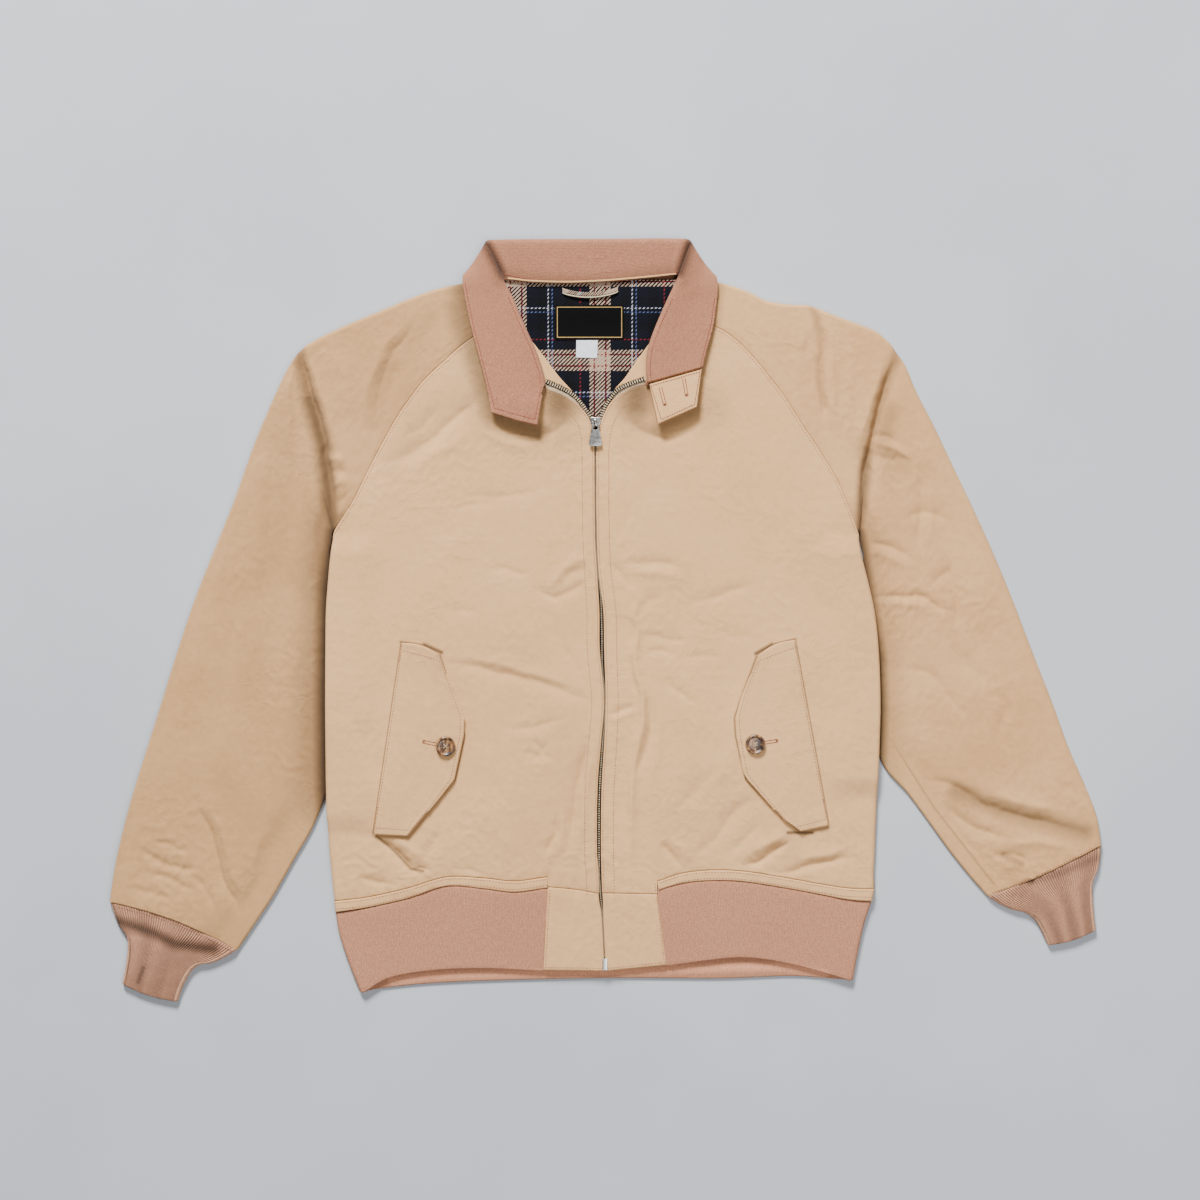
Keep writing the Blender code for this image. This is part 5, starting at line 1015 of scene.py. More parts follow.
def slab(middle: Array, thickness: float, uv: Array | None = None) -> Grid:
    """A closed sheet with all four edges rounded, from its middle surface."""
    middle = middle.copy()
    half = thickness / 2
    for row, inner in ((0, 1), (-1, -2)):
        middle[row] += unit(middle[inner] - middle[row]) * half
    for column, inner in ((0, 1), (-1, -2)):
        middle[:, column] += unit(middle[:, inner] - middle[:, column]) * half
    across = np.gradient(middle, axis=1)
    down = np.gradient(middle, axis=0)
    normal = unit(np.cross(across, down))
    if normal[..., 2].mean() < 0:
        normal = -normal
    uv = Grid(middle).uv if uv is None else uv
    angles = [math.radians(a) for a in (30, 60, 90, 120, 150)]

    def ring(centre: Array, up: Array, at: Array, share: float) -> tuple[Array, Array]:
        out_last = unit(centre[-1] - centre[-2])
        out_first = unit(centre[0] - centre[1])
        points, places = list(centre + up * half * share), list(at)
        for a in angles:
            points.append(centre[-1] + half * share * (up[-1] * math.cos(a) + out_last * math.sin(a)))
            places.append(at[-1])
        points += list((centre - up * half * share)[::-1])
        places += list(at[::-1])
        for a in angles:
            points.append(centre[0] + half * share * (-up[0] * math.cos(a) + out_first * math.sin(a)))
            places.append(at[0])
        return np.array(points), np.array(places)

    rings = []
    for end, inner, order in ((0, 1, (90, 65, 40, 20)), (-1, -2, (20, 40, 65, 90))):
        out = unit(middle[end] - middle[inner])
        caps = [ring(middle[end] + out * half * math.sin(math.radians(a)), normal[end], uv[end],
                     math.cos(math.radians(a)) * (a < 90)) for a in order]
        if end == 0:
            rings += caps + [ring(*line, 1.0) for line in zip(middle, normal, uv)]
        else:
            rings += caps
    return Grid(np.array([r[0] for r in rings]), np.array([r[1] for r in rings]), closed=True)


# ------------------------------------------------------------------ cloth pieces
@dataclass
class Front:
    """A front panel with the places of its hem.

    Attributes:
        side: Its half of the jacket.
        zip_line: Places along its throat and zip edge.
        seam_line: Places along its raglan seam.
        hem_line: Places along its hem.
    """

    side: Side
    zip_line: Array = field(init=False)
    seam_line: Array = field(init=False)
    hem_line: Array = field(init=False)

    def hem_level(self, x: Array, block: Array) -> Array:
        """y of the hem over the block and over the rib."""
        return np.where(block, Curve(self.side.block_top)(x), Curve([h[:2] for h in self.side.hem])(x))

    def grid(self) -> Grid:
        """The outside of the panel, from throat and zip to raglan seam and side."""
        left = self.side.left
        ends = [(*r[:4], 0.0) for r in self.side.yoke]
        for number, level in enumerate(SIDE_EDGES[1:]):
            y = min(level.y, self.side.outer_hem.panel_y)
            lag = max(0, 24 - 6 * (number + 1))
            ends.append((float(BODY.zip_edge(y - lag, left)), y - lag, float(BODY.side(y, left)), y, 1.0))
        rows = resample(ends, CELL, tail=CLUSTER)
        lengths = np.linalg.norm(rows[:, 2:4] - rows[:, :2], axis=1)
        distance = spread(lengths, round(lengths.max() / CELL))
        step = abs(self.side.block_side[0][0] - rows[-1, 0])
        extra = lengths[:, None] / lengths[-1] * np.array((step - 0.12, step + 0.12))
        distance = np.sort(np.concatenate([distance, extra], axis=1), axis=1)
        x, y = straight(rows, distance)
        last = rows[-1, 3]
        block = distance * lengths[-1] / lengths[:, None] < step
        share, late = smooth_step(last - 110, last, y), smooth_step(last - 12, last, y)
        rib_hem = self.hem_level(x, np.zeros_like(block))
        y = mix(y, rib_hem - FRONT_STEP + (y - last) * 0.75, share)
        y = y + (self.hem_level(x, block) - rib_hem) * late
        roll = np.clip(rows[:, 4:5], 0, 1)
        to_side = lengths[:, None] - distance
        z = BODY.front(x, y) + pucker(x, y, distance - PLACKET)
        z = z - mix(tuck(to_side), quarter(to_side, BODY.side_radius(x, y)), roll)
        z = z + pucker(x, y, to_side) * (1 - roll)
        to_hem = self.hem_level(x, block) - y
        low = y > HEM_START_Y
        z = z - tuck(np.maximum(0, to_hem)) * low + pucker(x, y, to_hem) * low
        points = lay(x, y, z)
        self.zip_line = points[:, 0]
        self.seam_line = points[roll[:, 0] < 0.5][:, -1]
        self.hem_line = points[-1]
        return Grid(points, lay(distance, y)).turned("first_column")

    def welt(self) -> Grid:
        """The folded strip between the panel and the rib."""
        side_x, block_x = self.side.outer_hem.x, self.side.block_hem.x
        low_side, fold_y = self.side.rib_top
        rib = Curve([(h.x, h.rib_y) for h in self.side.hem])
        top = Curve([h[:2] for h in self.side.hem])
        share = spread(np.array([abs(side_x - block_x)]), 110)[0] / abs(side_x - block_x)
        t = np.array((0.0, 0.02, 0.06, 0.12, 0.25, 0.5, 0.75, 0.9, 1.0))[:, None]
        x = mix(block_x, side_x, share)[None, :]
        low_x = mix(block_x, low_side, share)[None, :]
        foot = rib(low_x) + (fold_y - rib(low_side)) * (share ** 2)[None, :]
        y = mix(top(x) + 0.3, foot - FRONT_STEP, t)
        x = mix(x, low_x, t)
        x[:, 0] = self.beside_block(y[:, 0])
        distance = np.abs(x[:, -1:] - x)
        z = BODY.front(x, y) - quarter(distance, 3.4) - tuck(t * 10) + 0.45 + pucker(x, y, t * 10) \
            - smooth_step(0.35, 1.0, t) * (BODY.front(x, y) - RIB_HEIGHT - 1.0) * 0.35
        return Grid(lay(x, y, z)).turned("last_row", 1.0, 120, 4, 0.5)

    def beside_block(self, y: Array) -> Array:
        """x just outside the hem block."""
        (top_x, top_y), (foot_x, foot_y) = self.side.block_side
        return np.interp(y, (top_y, foot_y), (top_x, foot_x)) + 0.3 * self.side.out

    def block(self) -> Grid:
        """The shell-cloth block that ends the rib beside the zip."""
        (seam_x, _), (foot_x, foot_y) = self.side.block_side
        from_zip = np.abs(self.hem_line[:, 0] - self.hem_line[0, 0])
        top = self.hem_line[from_zip <= abs(seam_x - self.hem_line[0, 0]) + 0.01]
        u = np.linspace(0, 1, 44)
        run = np.linspace(0, 1, len(top))
        top_x, top_y = np.interp(u, run, top[:, 0]), np.interp(u, run, top[:, 1]) + 0.3
        t = np.concatenate([[0, 0.003, 0.008, 0.015], np.linspace(0.03, 1, 40)])[:, None]
        low_x = mix(float(BODY.zip_edge(ZIP_FOOT_Y, self.side.left)), foot_x, u)
        x, y = mix(top_x, low_x, t), mix(top_y, mix(ZIP_FOOT_Y, foot_y, u), t)
        x = x + (BODY.zip_edge(y, self.side.left) - x[:, :1]) * (1 - u) ** 3
        down = t * BLOCK_LENGTH
        to_seam = abs(foot_x - low_x[0]) - u * abs(foot_x - low_x[0])
        z = BODY.front(x, y) - tuck(down) + 0.1 + pucker(x, y, down) * 1.3
        z = z - tuck(to_seam) * 0.8 + pucker(x, y, to_seam)
        return Grid(lay(x, y, z)).turned("first_column").turned("last_row", 1.3)


def back_grid() -> Grid:
    """The back: neck edge to hem, rolled up at both sides below the underarms."""
    rows = [(r.back_x, r.back_y, l.back_x, l.back_y, 0.0) for r, l in zip(YOKE_RIGHT, YOKE_LEFT)]
    rows += [(s.right_x, s.y, s.left_x, min(s.y, BACK_HEM_Y), 1.0) for s in SIDE_EDGES[1:]]
    (right_x, right_y), (left_x, left_y) = BACK_RIB_TOP
    rows.append((right_x, right_y - 0.3, left_x, left_y - 0.3, 1.0))
    rows = resample(rows, 5.0)
    lengths = np.linalg.norm(rows[:, 2:4] - rows[:, :2], axis=1)
    distance = spread(lengths, 96, start=True)
    x, y = straight(rows, distance)
    near = np.minimum(distance, lengths[:, None] - distance)
    roll = np.clip(rows[:, 4:5], 0, 1)
    z = BODY.back_bottom(x, y) + mix(tuck(near), quarter(near, BODY.side_radius(x, y)), roll)
    return Grid(lay(x, y, z))


def sleeve_grid(side: Side) -> tuple[Grid, Array, Array]:
    """A raglan sleeve as one folded tube.

    Args:
        side: Its half of the jacket.

    Returns:
        Its grid, the places beside the raglan seam and those of its lower end.
    """
    last = len(side.yoke) - 1
    bows = np.interp(range(last + 1), (0, last - 2, last), (0, 0, side.sleeve[0].bow))
    table = [(r.over_x, r.over_y, r.seam_x, r.seam_y, r.back_x, r.back_y, 1, 0, bow)
             for r, bow in zip(side.yoke, bows)]
    table += [(*r[:4], *r[2:4], 0, 1, r.bow) for r in side.sleeve]
    rows = resample(table, CELL * 1.1, tail=CLUSTER)
    yoke, pressed = np.clip(rows[:, 6:7], 0, 1), np.clip(rows[:, 7:8], 0, 1)
    over, front_ends, back_ends = rows[:, 0:2], rows[:, 2:4], rows[:, 4:6]
    under_radius = UNDERARM_HEIGHT / 2

    def run(ends: Array, distance: Array) -> tuple[Array, Array]:
        length = np.linalg.norm(ends - over, axis=1)[:, None]
        way = unit(ends - over)
        across = lay(way[:, 1], -way[:, 0])
        across = np.where(across[:, 1:2] < 0, across, -across)
        bow = rows[:, 8:9] * np.sin(math.pi * np.clip(distance / length, 0, 1))
        return tuple(over[:, k:k + 1] + way[:, k:k + 1] * distance + across[:, k:k + 1] * bow
                     for k in (0, 1))

    front_length = np.linalg.norm(front_ends - over, axis=1)
    back_length = np.linalg.norm(back_ends - over, axis=1)
    arc = runs(over)

    def top_height(x: Array, y: Array, distance: Array) -> Array:
        to_under = front_length[:, None] - distance
        crown = mix(UNDERARM_HEIGHT, SLEEVE_HEIGHT, smooth_step(20, 46, to_under))
        fade = smooth_step(10, 34, to_under) * smooth_step(0, 14, distance)
        shape = BODY.folds(x, y) + 1.25 * BODY.cloth(x, y)
        return mix(crown + shape * fade, BODY.front(x, y), yoke)

    probe = np.full((len(rows), 1), 5.0)
    low = COLLAR_LIFT * BODY.collar_raise(*run(front_ends, probe)) * yoke
    over_radius = (top_height(*run(front_ends, probe), probe) - low) / 2
    upper = over_radius + spread(front_length - over_radius[:, 0], round(front_length.max() / CELL))
    x, y = run(front_ends, upper)
    to_seam = front_length[:, None] - upper
    z = top_height(x, y, upper) - mix(tuck(to_seam), quarter(to_seam, under_radius), pressed)
    top = lay(x, y, z + pucker(x, y, to_seam) * yoke)
    lower = over_radius + spread(back_length - over_radius[:, 0], 22)
    x, y = run(back_ends, lower)
    to_back = back_length[:, None] - lower
    z = COLLAR_LIFT * BODY.collar_raise(x, y) * yoke
    bottom = lay(x, y, z + mix(tuck(to_back), quarter(to_back, under_radius), pressed))[:, ::-1]
    fold = []
    for k in range(1, 12):
        angle, share = math.pi * k / 12, k / 12
        distance = over_radius * (1 - math.sin(angle))
        z = low + over_radius * (1 - math.cos(angle))
        (ax, ay), (bx, by) = run(back_ends, distance), run(front_ends, distance)
        fold.append(np.concatenate([mix(ax, bx, share), mix(ay, by, share), z], axis=1))
    end = np.maximum(0, arc[-1] - arc)[:, None, None]
    top[..., 2:] = top[..., 2:] - tuck(end) * smooth_step(0, 20, to_seam)[..., None] \
        + pucker(top[..., 0:1], top[..., 1:2], end)
    points = np.concatenate([bottom, np.stack(fold, axis=1), top], axis=1)
    cut = np.concatenate([-lower[:, ::-1], np.zeros((len(rows), len(fold))), upper], axis=1)
    return Grid(points, lay(cut, arc[:, None])), top[yoke[:, 0] > 0.5][:, -1], top[-1]


def cuff_grid(table: Sequence[CuffRow]) -> Grid:
    """A flattened knit tube with real ribs, its hem turned inside."""
    rows = resample(table, 1.5)
    along = runs(rows[:, :2])
    width = math.dist(rows[0, :2], rows[0, 2:4])
    ribs = round((width - rows[0, 4]) / CUFF_RIB_PITCH)
    count = 6 * ribs
    rings, uvs = [], []
    order = [(row, 0.0, at) for row, at in zip(rows, along)]
    order += [(rows[-1], KNIT / 2 * (1 - math.cos(a)), along[-1] + KNIT / 2 * math.sin(a))
              for a in (0.5, 1.0, 1.57, 2.2)]
    order += [(rows[-6], KNIT, along[-1] + 6)]
    for row, offset, at in order:
        low, high, height, bow = row[0:2], row[2:4], row[4], row[5]
        length = math.dist(low, high)
        way = (high - low) / length
        side = np.array((way[1], -way[0]))
        side = side if side[1] < 0 else -side
        radius = height / 2
        reach = max(radius - offset, 0.2)
        shift = np.cross(np.append(way, 0), (0, 0, 1))[:2]
        shift = shift if shift[1] > 0 else -shift
        extra = shift * min(at - along[-1], KNIT / 2) if at > along[-1] and offset < KNIT else 0
        top = np.linspace(0, 1, count + 1)
        angle = np.linspace(0, math.pi, CUFF_TURN_STEPS + 2)[1:-1]
        rib = CUFF_RIB_DEPTH * np.cos(2 * math.pi * ribs * top) * (1 - min(1.0, offset))
        distance = np.concatenate([
            mix(length - radius, radius, np.linspace(0, 1, CUFF_BACK_COUNT)),
            radius - reach * np.sin(angle),
            mix(radius, length - radius, top), length - radius + reach * np.sin(angle)])
        z = np.concatenate([
            np.full(CUFF_BACK_COUNT, offset), radius - reach * np.cos(angle),
            height - offset + rib - 0.3,
            radius + reach * np.cos(angle)])
        share = np.clip(distance / length, 0, 1)[:, None]
        place = low + way * distance[:, None] + side * bow * np.sin(math.pi * share) + extra
        sag = 0.25 * BODY.swell(place[:, 0] * 2, place[:, 1] * 2, 30) * (z > 3)
        seam = tuck(np.array(max(0.0, at))) * (z > radius)
        rings.append(np.column_stack([place, z + sag - seam]))
        turn = np.zeros(CUFF_TURN_STEPS)
        u = np.concatenate([np.linspace(0, width, CUFF_BACK_COUNT), turn, width * (1 - top), turn])
        uvs.append(np.column_stack([u, np.full(len(u), at)]))
    return Grid(np.array(rings), np.array(uvs), closed=True)


FRONT_COUNT, BACK_COUNT = 130, 120      # places along the waist rib's fronts and back


def rib_grid() -> Grid:
    """The waist rib: from block to block round both side folds."""
    radius = RIB_HEIGHT / 2
    turns = np.linspace(0, math.pi, TURN_STEPS + 2)[1:-1]
    shares = np.concatenate([[-0.04, 0.0, 0.012, 0.03], np.linspace(0.06, 1, 26)])
    folds = resample(RIB_FOLDS, 1.0)
    rings, uvs = [], []

    def front_line(side: Side, t: float, fold: Array) -> Array:
        low = Curve(side.rib_edge)
        rib = Curve([(h.x, h.rib_y) for h in side.hem])
        share = np.linspace(0, 1, FRONT_COUNT)
        low_ends = (low.xs[0], low.xs[-1])[::side.out]
        x = mix(side.block_hem.x, side.rib_top[0] - side.out * radius, share)
        low_x = mix(*low_ends, share)
        line = np.column_stack([mix(x, low_x, t), mix(rib(x) + FRONT_STEP, low(low_x), t)])
        line[:2, 0] = Front(side).beside_block(line[:2, 1]) + np.array((-2.5, 0.0)) * side.out
        line += (fold - line[-1]) * share[:, None] ** 2
        end_drop = 0.5 * quarter(np.abs(line[:, 0] - line[1, 0]), 1.5)
        end_drop[0] = 1.4
        z = RIB_HEIGHT + 0.3 * BODY.swell(line[:, 0], line[:, 1], 60) - end_drop
        z = z + 1.1 * smooth_step(0.9, 0.0, t) * smooth_step(1, 0.8, share) * (1 - share * 0.3)
        return np.column_stack([line, z])

    def side_turn(x: float, y: float, out: int) -> Array:
        rise = radius * np.cos(turns)
        return np.column_stack([x - out * radius + out * radius * np.sin(turns),
                                np.full(TURN_STEPS, y), radius - out * rise])

    for t in shares:
        row = [np.interp(t, np.linspace(0, 1, len(folds)), folds[:, k]) for k in range(4)]
        right, left = (front_line(side, t, np.array((x - side.out * radius, y)))
                       for side, x, y in zip(SIDES, row[::2], row[1::2]))
        across = np.linspace(row[0] + radius, row[2] - radius, BACK_COUNT)
        u = np.linspace(0, 1, BACK_COUNT)
        top = np.interp(across, *zip(*BACK_RIB_TOP))
        down = mix(top + FRONT_STEP, Curve(RIB_BACK_EDGE)(across), t)
        down = down + (1 - u) ** 6 * (row[1] - down[0]) + u ** 6 * (row[3] - down[-1])
        back = np.column_stack([across, down, np.zeros(BACK_COUNT)])
        line = np.concatenate([right, side_turn(row[0], row[1], -1), back,
                               side_turn(row[2], row[3], 1), left[::-1]])
        line[:, 2] += np.where(line[:, 2] > radius, -tuck(np.array(t * RIB_LENGTH)), 0)
        if t < 0:
            line[:, 2] += np.where(line[:, 2] > radius, -0.9, 0.9)
        rings.append(line)
        run = runs(line[:, :2])
        uvs.append(np.column_stack([run / run[-1] * RIB_CUT_WIDTH, np.full(len(run), t * RIB_LENGTH)]))
    rings, uvs = np.array(rings), np.array(uvs)
    edge, along = rings[-1], unit(rings[-1] - rings[-4])
    inward = np.zeros_like(edge)
    inward[:, 2] = np.where(edge[:, 2] > radius, -1.0, 1.0)
    for start, sign in ((FRONT_COUNT, 1), (FRONT_COUNT + TURN_STEPS + BACK_COUNT, -1)):
        inward[start:start + TURN_STEPS] = np.column_stack(
            [np.sin(turns) * sign, np.zeros(TURN_STEPS), -np.cos(turns) * sign])
    added, cuts = [], []
    for angle in np.radians((30, 60, 90, 120, 150, 180)):
        added.append(edge + along * 1.4 * math.sin(angle) + inward * 1.4 * (1 - math.cos(angle)))
        cuts.append(uvs[-1] + (0, 2.5 * angle))
    for back in (6, 14, 24):
        added.append(edge - along * back + inward * KNIT)
        cuts.append(uvs[-1] + (0, 8 + back))
    return Grid(np.concatenate([rings, added]), np.concatenate([uvs, cuts]))


COLLAR_CREASES = (((484.5, 239.0), (503.5, 277.0)), ((691.5, 238.0), (680.0, 275.0)))


def to_segment(places: Array, start: Sequence[float], stop: Sequence[float]) -> Array:
    """Plan distance of places from a straight line between two points."""
    first, run = np.array(start), np.subtract(stop, start)
    share = np.clip(((places - first) @ run) / (run @ run), 0, 1)
    return np.linalg.norm(places - first - share[..., None] * run, axis=-1)


def collar_grid(rows: Sequence[CollarRow]) -> Array:
    """Middle surface through the collar's rows, from stand seam to free edge."""
    middle = []
    for r in rows:
        seam, roll = np.array((r.seam_x, r.seam_y)), np.array((r.roll_x, r.roll_y))
        free = np.array((r.free_x, r.free_y))
        stand_way, fall_way = unit(seam - roll), unit(free - roll)
        stand_leg = roll + stand_way * min(4.0, 0.5 * math.dist(seam, roll))
        fall_leg = roll + fall_way * 4
        half_z, rise = (r.stand_z + r.fall_z) / 2, (r.fall_z - r.stand_z) / 2
        points = [(*seam, r.seam_z), (*mix(seam, stand_leg, 0.5), mix(r.seam_z, r.stand_z, 0.5)),
                  (*stand_leg, r.stand_z)]
        for share in (-0.7, 0.0, 0.7):
            way = stand_way if share < 0 else fall_way
            reach = 4.4 * (1 - math.cos(math.asin(abs(share))))
            reach = min(reach, 0.3 * math.dist(seam, roll)) if share < 0 else reach
            points.append((*(roll + way * reach), half_z + rise * share))
        points.append((*fall_leg, r.fall_z))
        for t in (0.25, 0.5, 0.75):
            z = mix(r.fall_z, r.free_z, smooth_step(0, 0.62, t))
            points.append((*mix(fall_leg, free, t), float(z)))
        points.append((*free, r.free_z))
        middle.append(spline(points, (3, 3, 3, 3, 3, 3, 4, 4, 4, 5)))
    return np.array(middle)


def collar_middle() -> Array:
    """Middle surface of the whole collar, its wing corners kept crisp."""
    rows = collar_grid(COLLAR_RIGHT + COLLAR_LEFT[::-1])

    def dense(part: Array, steps: int) -> Array:
        flat = part.reshape(len(part), -1)
        return spline(flat, steps).reshape(-1, *part.shape[1:])

    middle = np.concatenate([dense(rows[:3], 6)[:-1], dense(rows[2:], 6)])
    upper = smooth_step(8.0, 11.0, middle[..., 2])
    for start, stop in COLLAR_CREASES:
        distance = to_segment(middle[..., :2], start, stop)
        middle[..., 2] -= upper * (3.0 * np.exp(-(distance / 2.4) ** 1.4)
                                   - 0.8 * np.exp(-((distance - 6) / 4.0) ** 2))
    middle[..., 2] += upper * 0.3 * BODY.swell(middle[..., 0], middle[..., 1], 26)
    return middle


def throat_lift(y: Array) -> Array:
    """Rise of the zip's tape where the throat stands open."""
    return 1.5 * smooth_step(446, 424, y)


TAPE_LEVELS = (460, 505, 560, 610, 660, 690, 712, 746, 788, 835, 880, 925, 968)
TAPE_WIDTH = 7
ZIP_STRAIGHT_Y = 505      # above it the tapes' edges part toward the throat
ZIP_THROAT_X = 595.2


def tape_grid(side: Side) -> Grid:
    """One side of the zip's tape, from the throat to the hem."""
    rows = list(side.tape)
    for level in TAPE_LEVELS:
        middle = float(BODY.zip_middle(level)) if level >= ZIP_STRAIGHT_Y else ZIP_THROAT_X
        edge = float(BODY.zip_edge(max(level, ZIP_STRAIGHT_Y), side.left))
        rows.append((middle + side.out * 0.25, level, edge + side.out * TAPE_WIDTH, level))
    ends = resample(rows, 3.0)
    lengths = np.linalg.norm(ends[:, 2:4] - ends[:, :2], axis=1)
    x, y = straight(ends, lengths[:, None] * np.linspace(0, 1, 7))
    z = BODY.under_front(x, y) - 0.45 + throat_lift(y)
    return Grid(lay(x, y, z)).turned("first_column", 0.5, 170, 4, 1.0)


def flap_middle(outline: Places) -> Array:
    """Middle surface of a pocket flap, from its sewn edge to its free edge."""
    points = np.array(outline, dtype=float)
    free = points[2:12]
    run = runs(free)
    t = np.linspace(0, 1, 84)
    free_x, free_y = np.interp(t * run[-1], run, free[:, 0]), np.interp(t * run[-1], run, free[:, 1])
    sewn = mix(points[0], points[-1], t[:, None])
    u = np.linspace(0, 1, 40)
    x = mix(sewn[:, 0:1], free_x[:, None], u)
    y = mix(sewn[:, 1:2], free_y[:, None], u)
    share = u[:, None]
    top = mix(points[0], points[2], share) + np.sin(math.pi * share) * (
        points[1] - mix(points[0], points[2], 0.72)) * 1.1
    low = mix(points[-1], points[11], share)
    fade_top, fade_low = np.exp(-t * 60)[:, None], np.exp(-(1 - t) * 60)[:, None]
    x = x + (top[:, 0] - x[:1]) * fade_top + (low[:, 0] - x[-1:]) * fade_low
    y = y + (top[:, 1] - y[:1]) * fade_top + (low[:, 1] - y[-1:]) * fade_low
    base = BODY.under_front(x, y) + CLOTH
    soft = 0.6 * BODY.folds(x, y) + 0.8 * BODY.cloth(x, y)
    lift = 1.3 * smooth_step(0.5, 1.0, u) + 0.6 * smooth_step(0.85, 1.0, t[:, None]) \
        + 0.5 * smooth_step(0.12, 0.0, t[:, None]) * smooth_step(0.2, 0.7, u)
    sewn_dip = -0.9 * np.exp(-u * 22) + 0.1 * BODY.crumple(x, y, 6)
    stitch = -0.28 * np.exp(-((u - 0.87) / 0.015) ** 2)
    return lay(x, y, base + soft + 2.0 + lift + sewn_dip + stitch)


# ------------------------------------------------------------------ small hardware
def solid(name: str, outline: Places, bottom: float, top: float, material: bpy.types.Material,
          bevel: float, hole: Places = ()) -> bpy.types.Object:
    """A flat-sided metal plate with bevelled edges, in board millimetres.

    Args:
        name: Object name.
        outline: Its outer outline.
        bottom: Level of its underside.
        top: Level of its top.
        material: Its finish.
        bevel: Width of the rounded edges in mm.
        hole: Outline cut through it, if any.

    Returns:
        The linked object.
    """
    mesh_data = bmesh.new()
    layers = []
    for z in (bottom, top):
        rings, edges = [], []
        for loop in (outline, hole):
            if not loop:
                continue
            ring = [mesh_data.verts.new(to_metres((x, y, z))) for x, y in loop]
            edges += [mesh_data.edges.new((a, b)) for a, b in zip(ring, ring[1:] + ring[:1])]
            rings.append(ring)
        bmesh.ops.triangle_fill(mesh_data, use_beauty=True, edges=edges)
        layers.append(rings)
    for low, high in zip(*layers):
        for i in range(len(low)):
            k = (i + 1) % len(low)
            mesh_data.faces.new((low[i], low[k], high[k], high[i]))
    bmesh.ops.recalc_face_normals(mesh_data, faces=mesh_data.faces)
    bmesh.ops.dissolve_limit(mesh_data, angle_limit=0.01, verts=mesh_data.verts,
                             edges=mesh_data.edges)
    rims = [e for e in mesh_data.edges if e.calc_face_angle(0) > 0.6]
    bmesh.ops.bevel(mesh_data, geom=rims, offset=bevel / 1000, segments=3, profile=0.6,
                    affect="EDGES", clamp_overlap=True)
    bmesh.ops.triangulate(mesh_data, faces=[f for f in mesh_data.faces if len(f.verts) > 4])
    mesh = bpy.data.meshes.new(name)
    mesh_data.to_mesh(mesh)
    mesh_data.free()
    made = linked(name, mesh)
    return finish(made, material, 35)


BUTTON_PROFILE = ((0.0, 0.0), (6.6, 0.0), (8.6, 0.5), (9.6, 1.2), (9.95, 2.0), (9.8, 2.8),
                  (9.3, 3.35), (8.7, 3.5), (8.1, 3.35), (7.6, 2.9), (7.1, 2.35), (6.4, 2.1),
                  (5.0, 2.0), (2.5, 1.95), (0.0, 1.95))
HOLE_AT = 2.0
HOLE_RADIUS = 0.85


def make_button(name: str, place: tuple[float, float], base: float, turn: float,
                material: bpy.types.Material) -> bpy.types.Object:
    """A four-hole horn button with a raised rim, turned about its middle."""
    mesh_data = bmesh.new()
    segments = 72
    rings = []
    for radius, z in BUTTON_PROFILE:
        around = segments if radius else 1
        rings.append([mesh_data.verts.new(to_metres((
            place[0] + radius * math.cos(2 * math.pi * i / around),
            place[1] + radius * math.sin(2 * math.pi * i / around), base + z)))
            for i in range(around)])
    for a, b in zip(rings[:-1], rings[1:]):
        for i in range(segments):
            k = (i + 1) % segments
            ring = (a[i % len(a)], a[k % len(a)], b[k % len(b)], b[i % len(b)])
            mesh_data.faces.new(tuple(dict.fromkeys(ring)))
    bmesh.ops.recalc_face_normals(mesh_data, faces=mesh_data.faces)
    mesh = bpy.data.meshes.new(name)
    mesh_data.to_mesh(mesh)
    mesh_data.free()
    made = linked(name, mesh)
    cutters = []
    for quarter_turn in range(4):
        angle = turn + math.radians(45 + 90 * quarter_turn)
        reach = HOLE_AT * math.sqrt(2)
        bpy.ops.mesh.primitive_cylinder_add(
            vertices=20, radius=HOLE_RADIUS / 1000, depth=0.02,
            location=to_metres((place[0] + reach * math.cos(angle),
                                place[1] + reach * math.sin(angle), base)))
        cutters.append(bpy.context.object)
        hole = made.modifiers.new("hole", "BOOLEAN")
        hole.operation, hole.solver, hole.object = "DIFFERENCE", "EXACT", cutters[-1]
    realize(made)
    for cutter in cutters:
        bpy.data.objects.remove(cutter)
    return finish(made, material, 40)


# ------------------------------------------------------------ rows of small parts
def dashes(name: str, lines: Sequence[Array], pitch: float, size: tuple[float, float, float],
           material: bpy.types.Material, boxes: bool = False) -> bpy.types.Object:
    """Instance a small part along lines with Geometry Nodes, then make it a mesh.

    Args:
        name: Object name.
        lines: N by 3 places of each line in board millimetres.
        pitch: Spacing along the lines in mm.
        size: Across, high and along size of one part in mm.
        material: Finish of the parts.
        boxes: Whether the parts are blocks instead of rounded dashes.

    Returns:
        The linked object, with no modifier left on it.
    """
    mesh = bpy.data.meshes.new(name)
    vertices, edges = [], []
    for line in lines:
        first = len(vertices)
        vertices += to_metres(line).tolist()
        edges += [(first + i, first + i + 1) for i in range(len(line) - 1)]
    mesh.from_pydata(vertices, edges, [])
    made = linked(name, mesh)
    tree = bpy.data.node_groups.get("RowOfParts") or row_tree()
    rows = made.modifiers.new("rows", "NODES")
    rows.node_group = tree
    values = {"Pitch": pitch / 1000, "Size": tuple(s / 1000 for s in size), "Blocks": boxes,
              "Finish": material}
    for item in tree.interface.items_tree:
        if item.in_out == "INPUT" and item.name in values:
            rows[item.identifier] = values[item.name]
    realize(made)
    made.data.name = name
    return smooth(made, 40 if boxes else None)


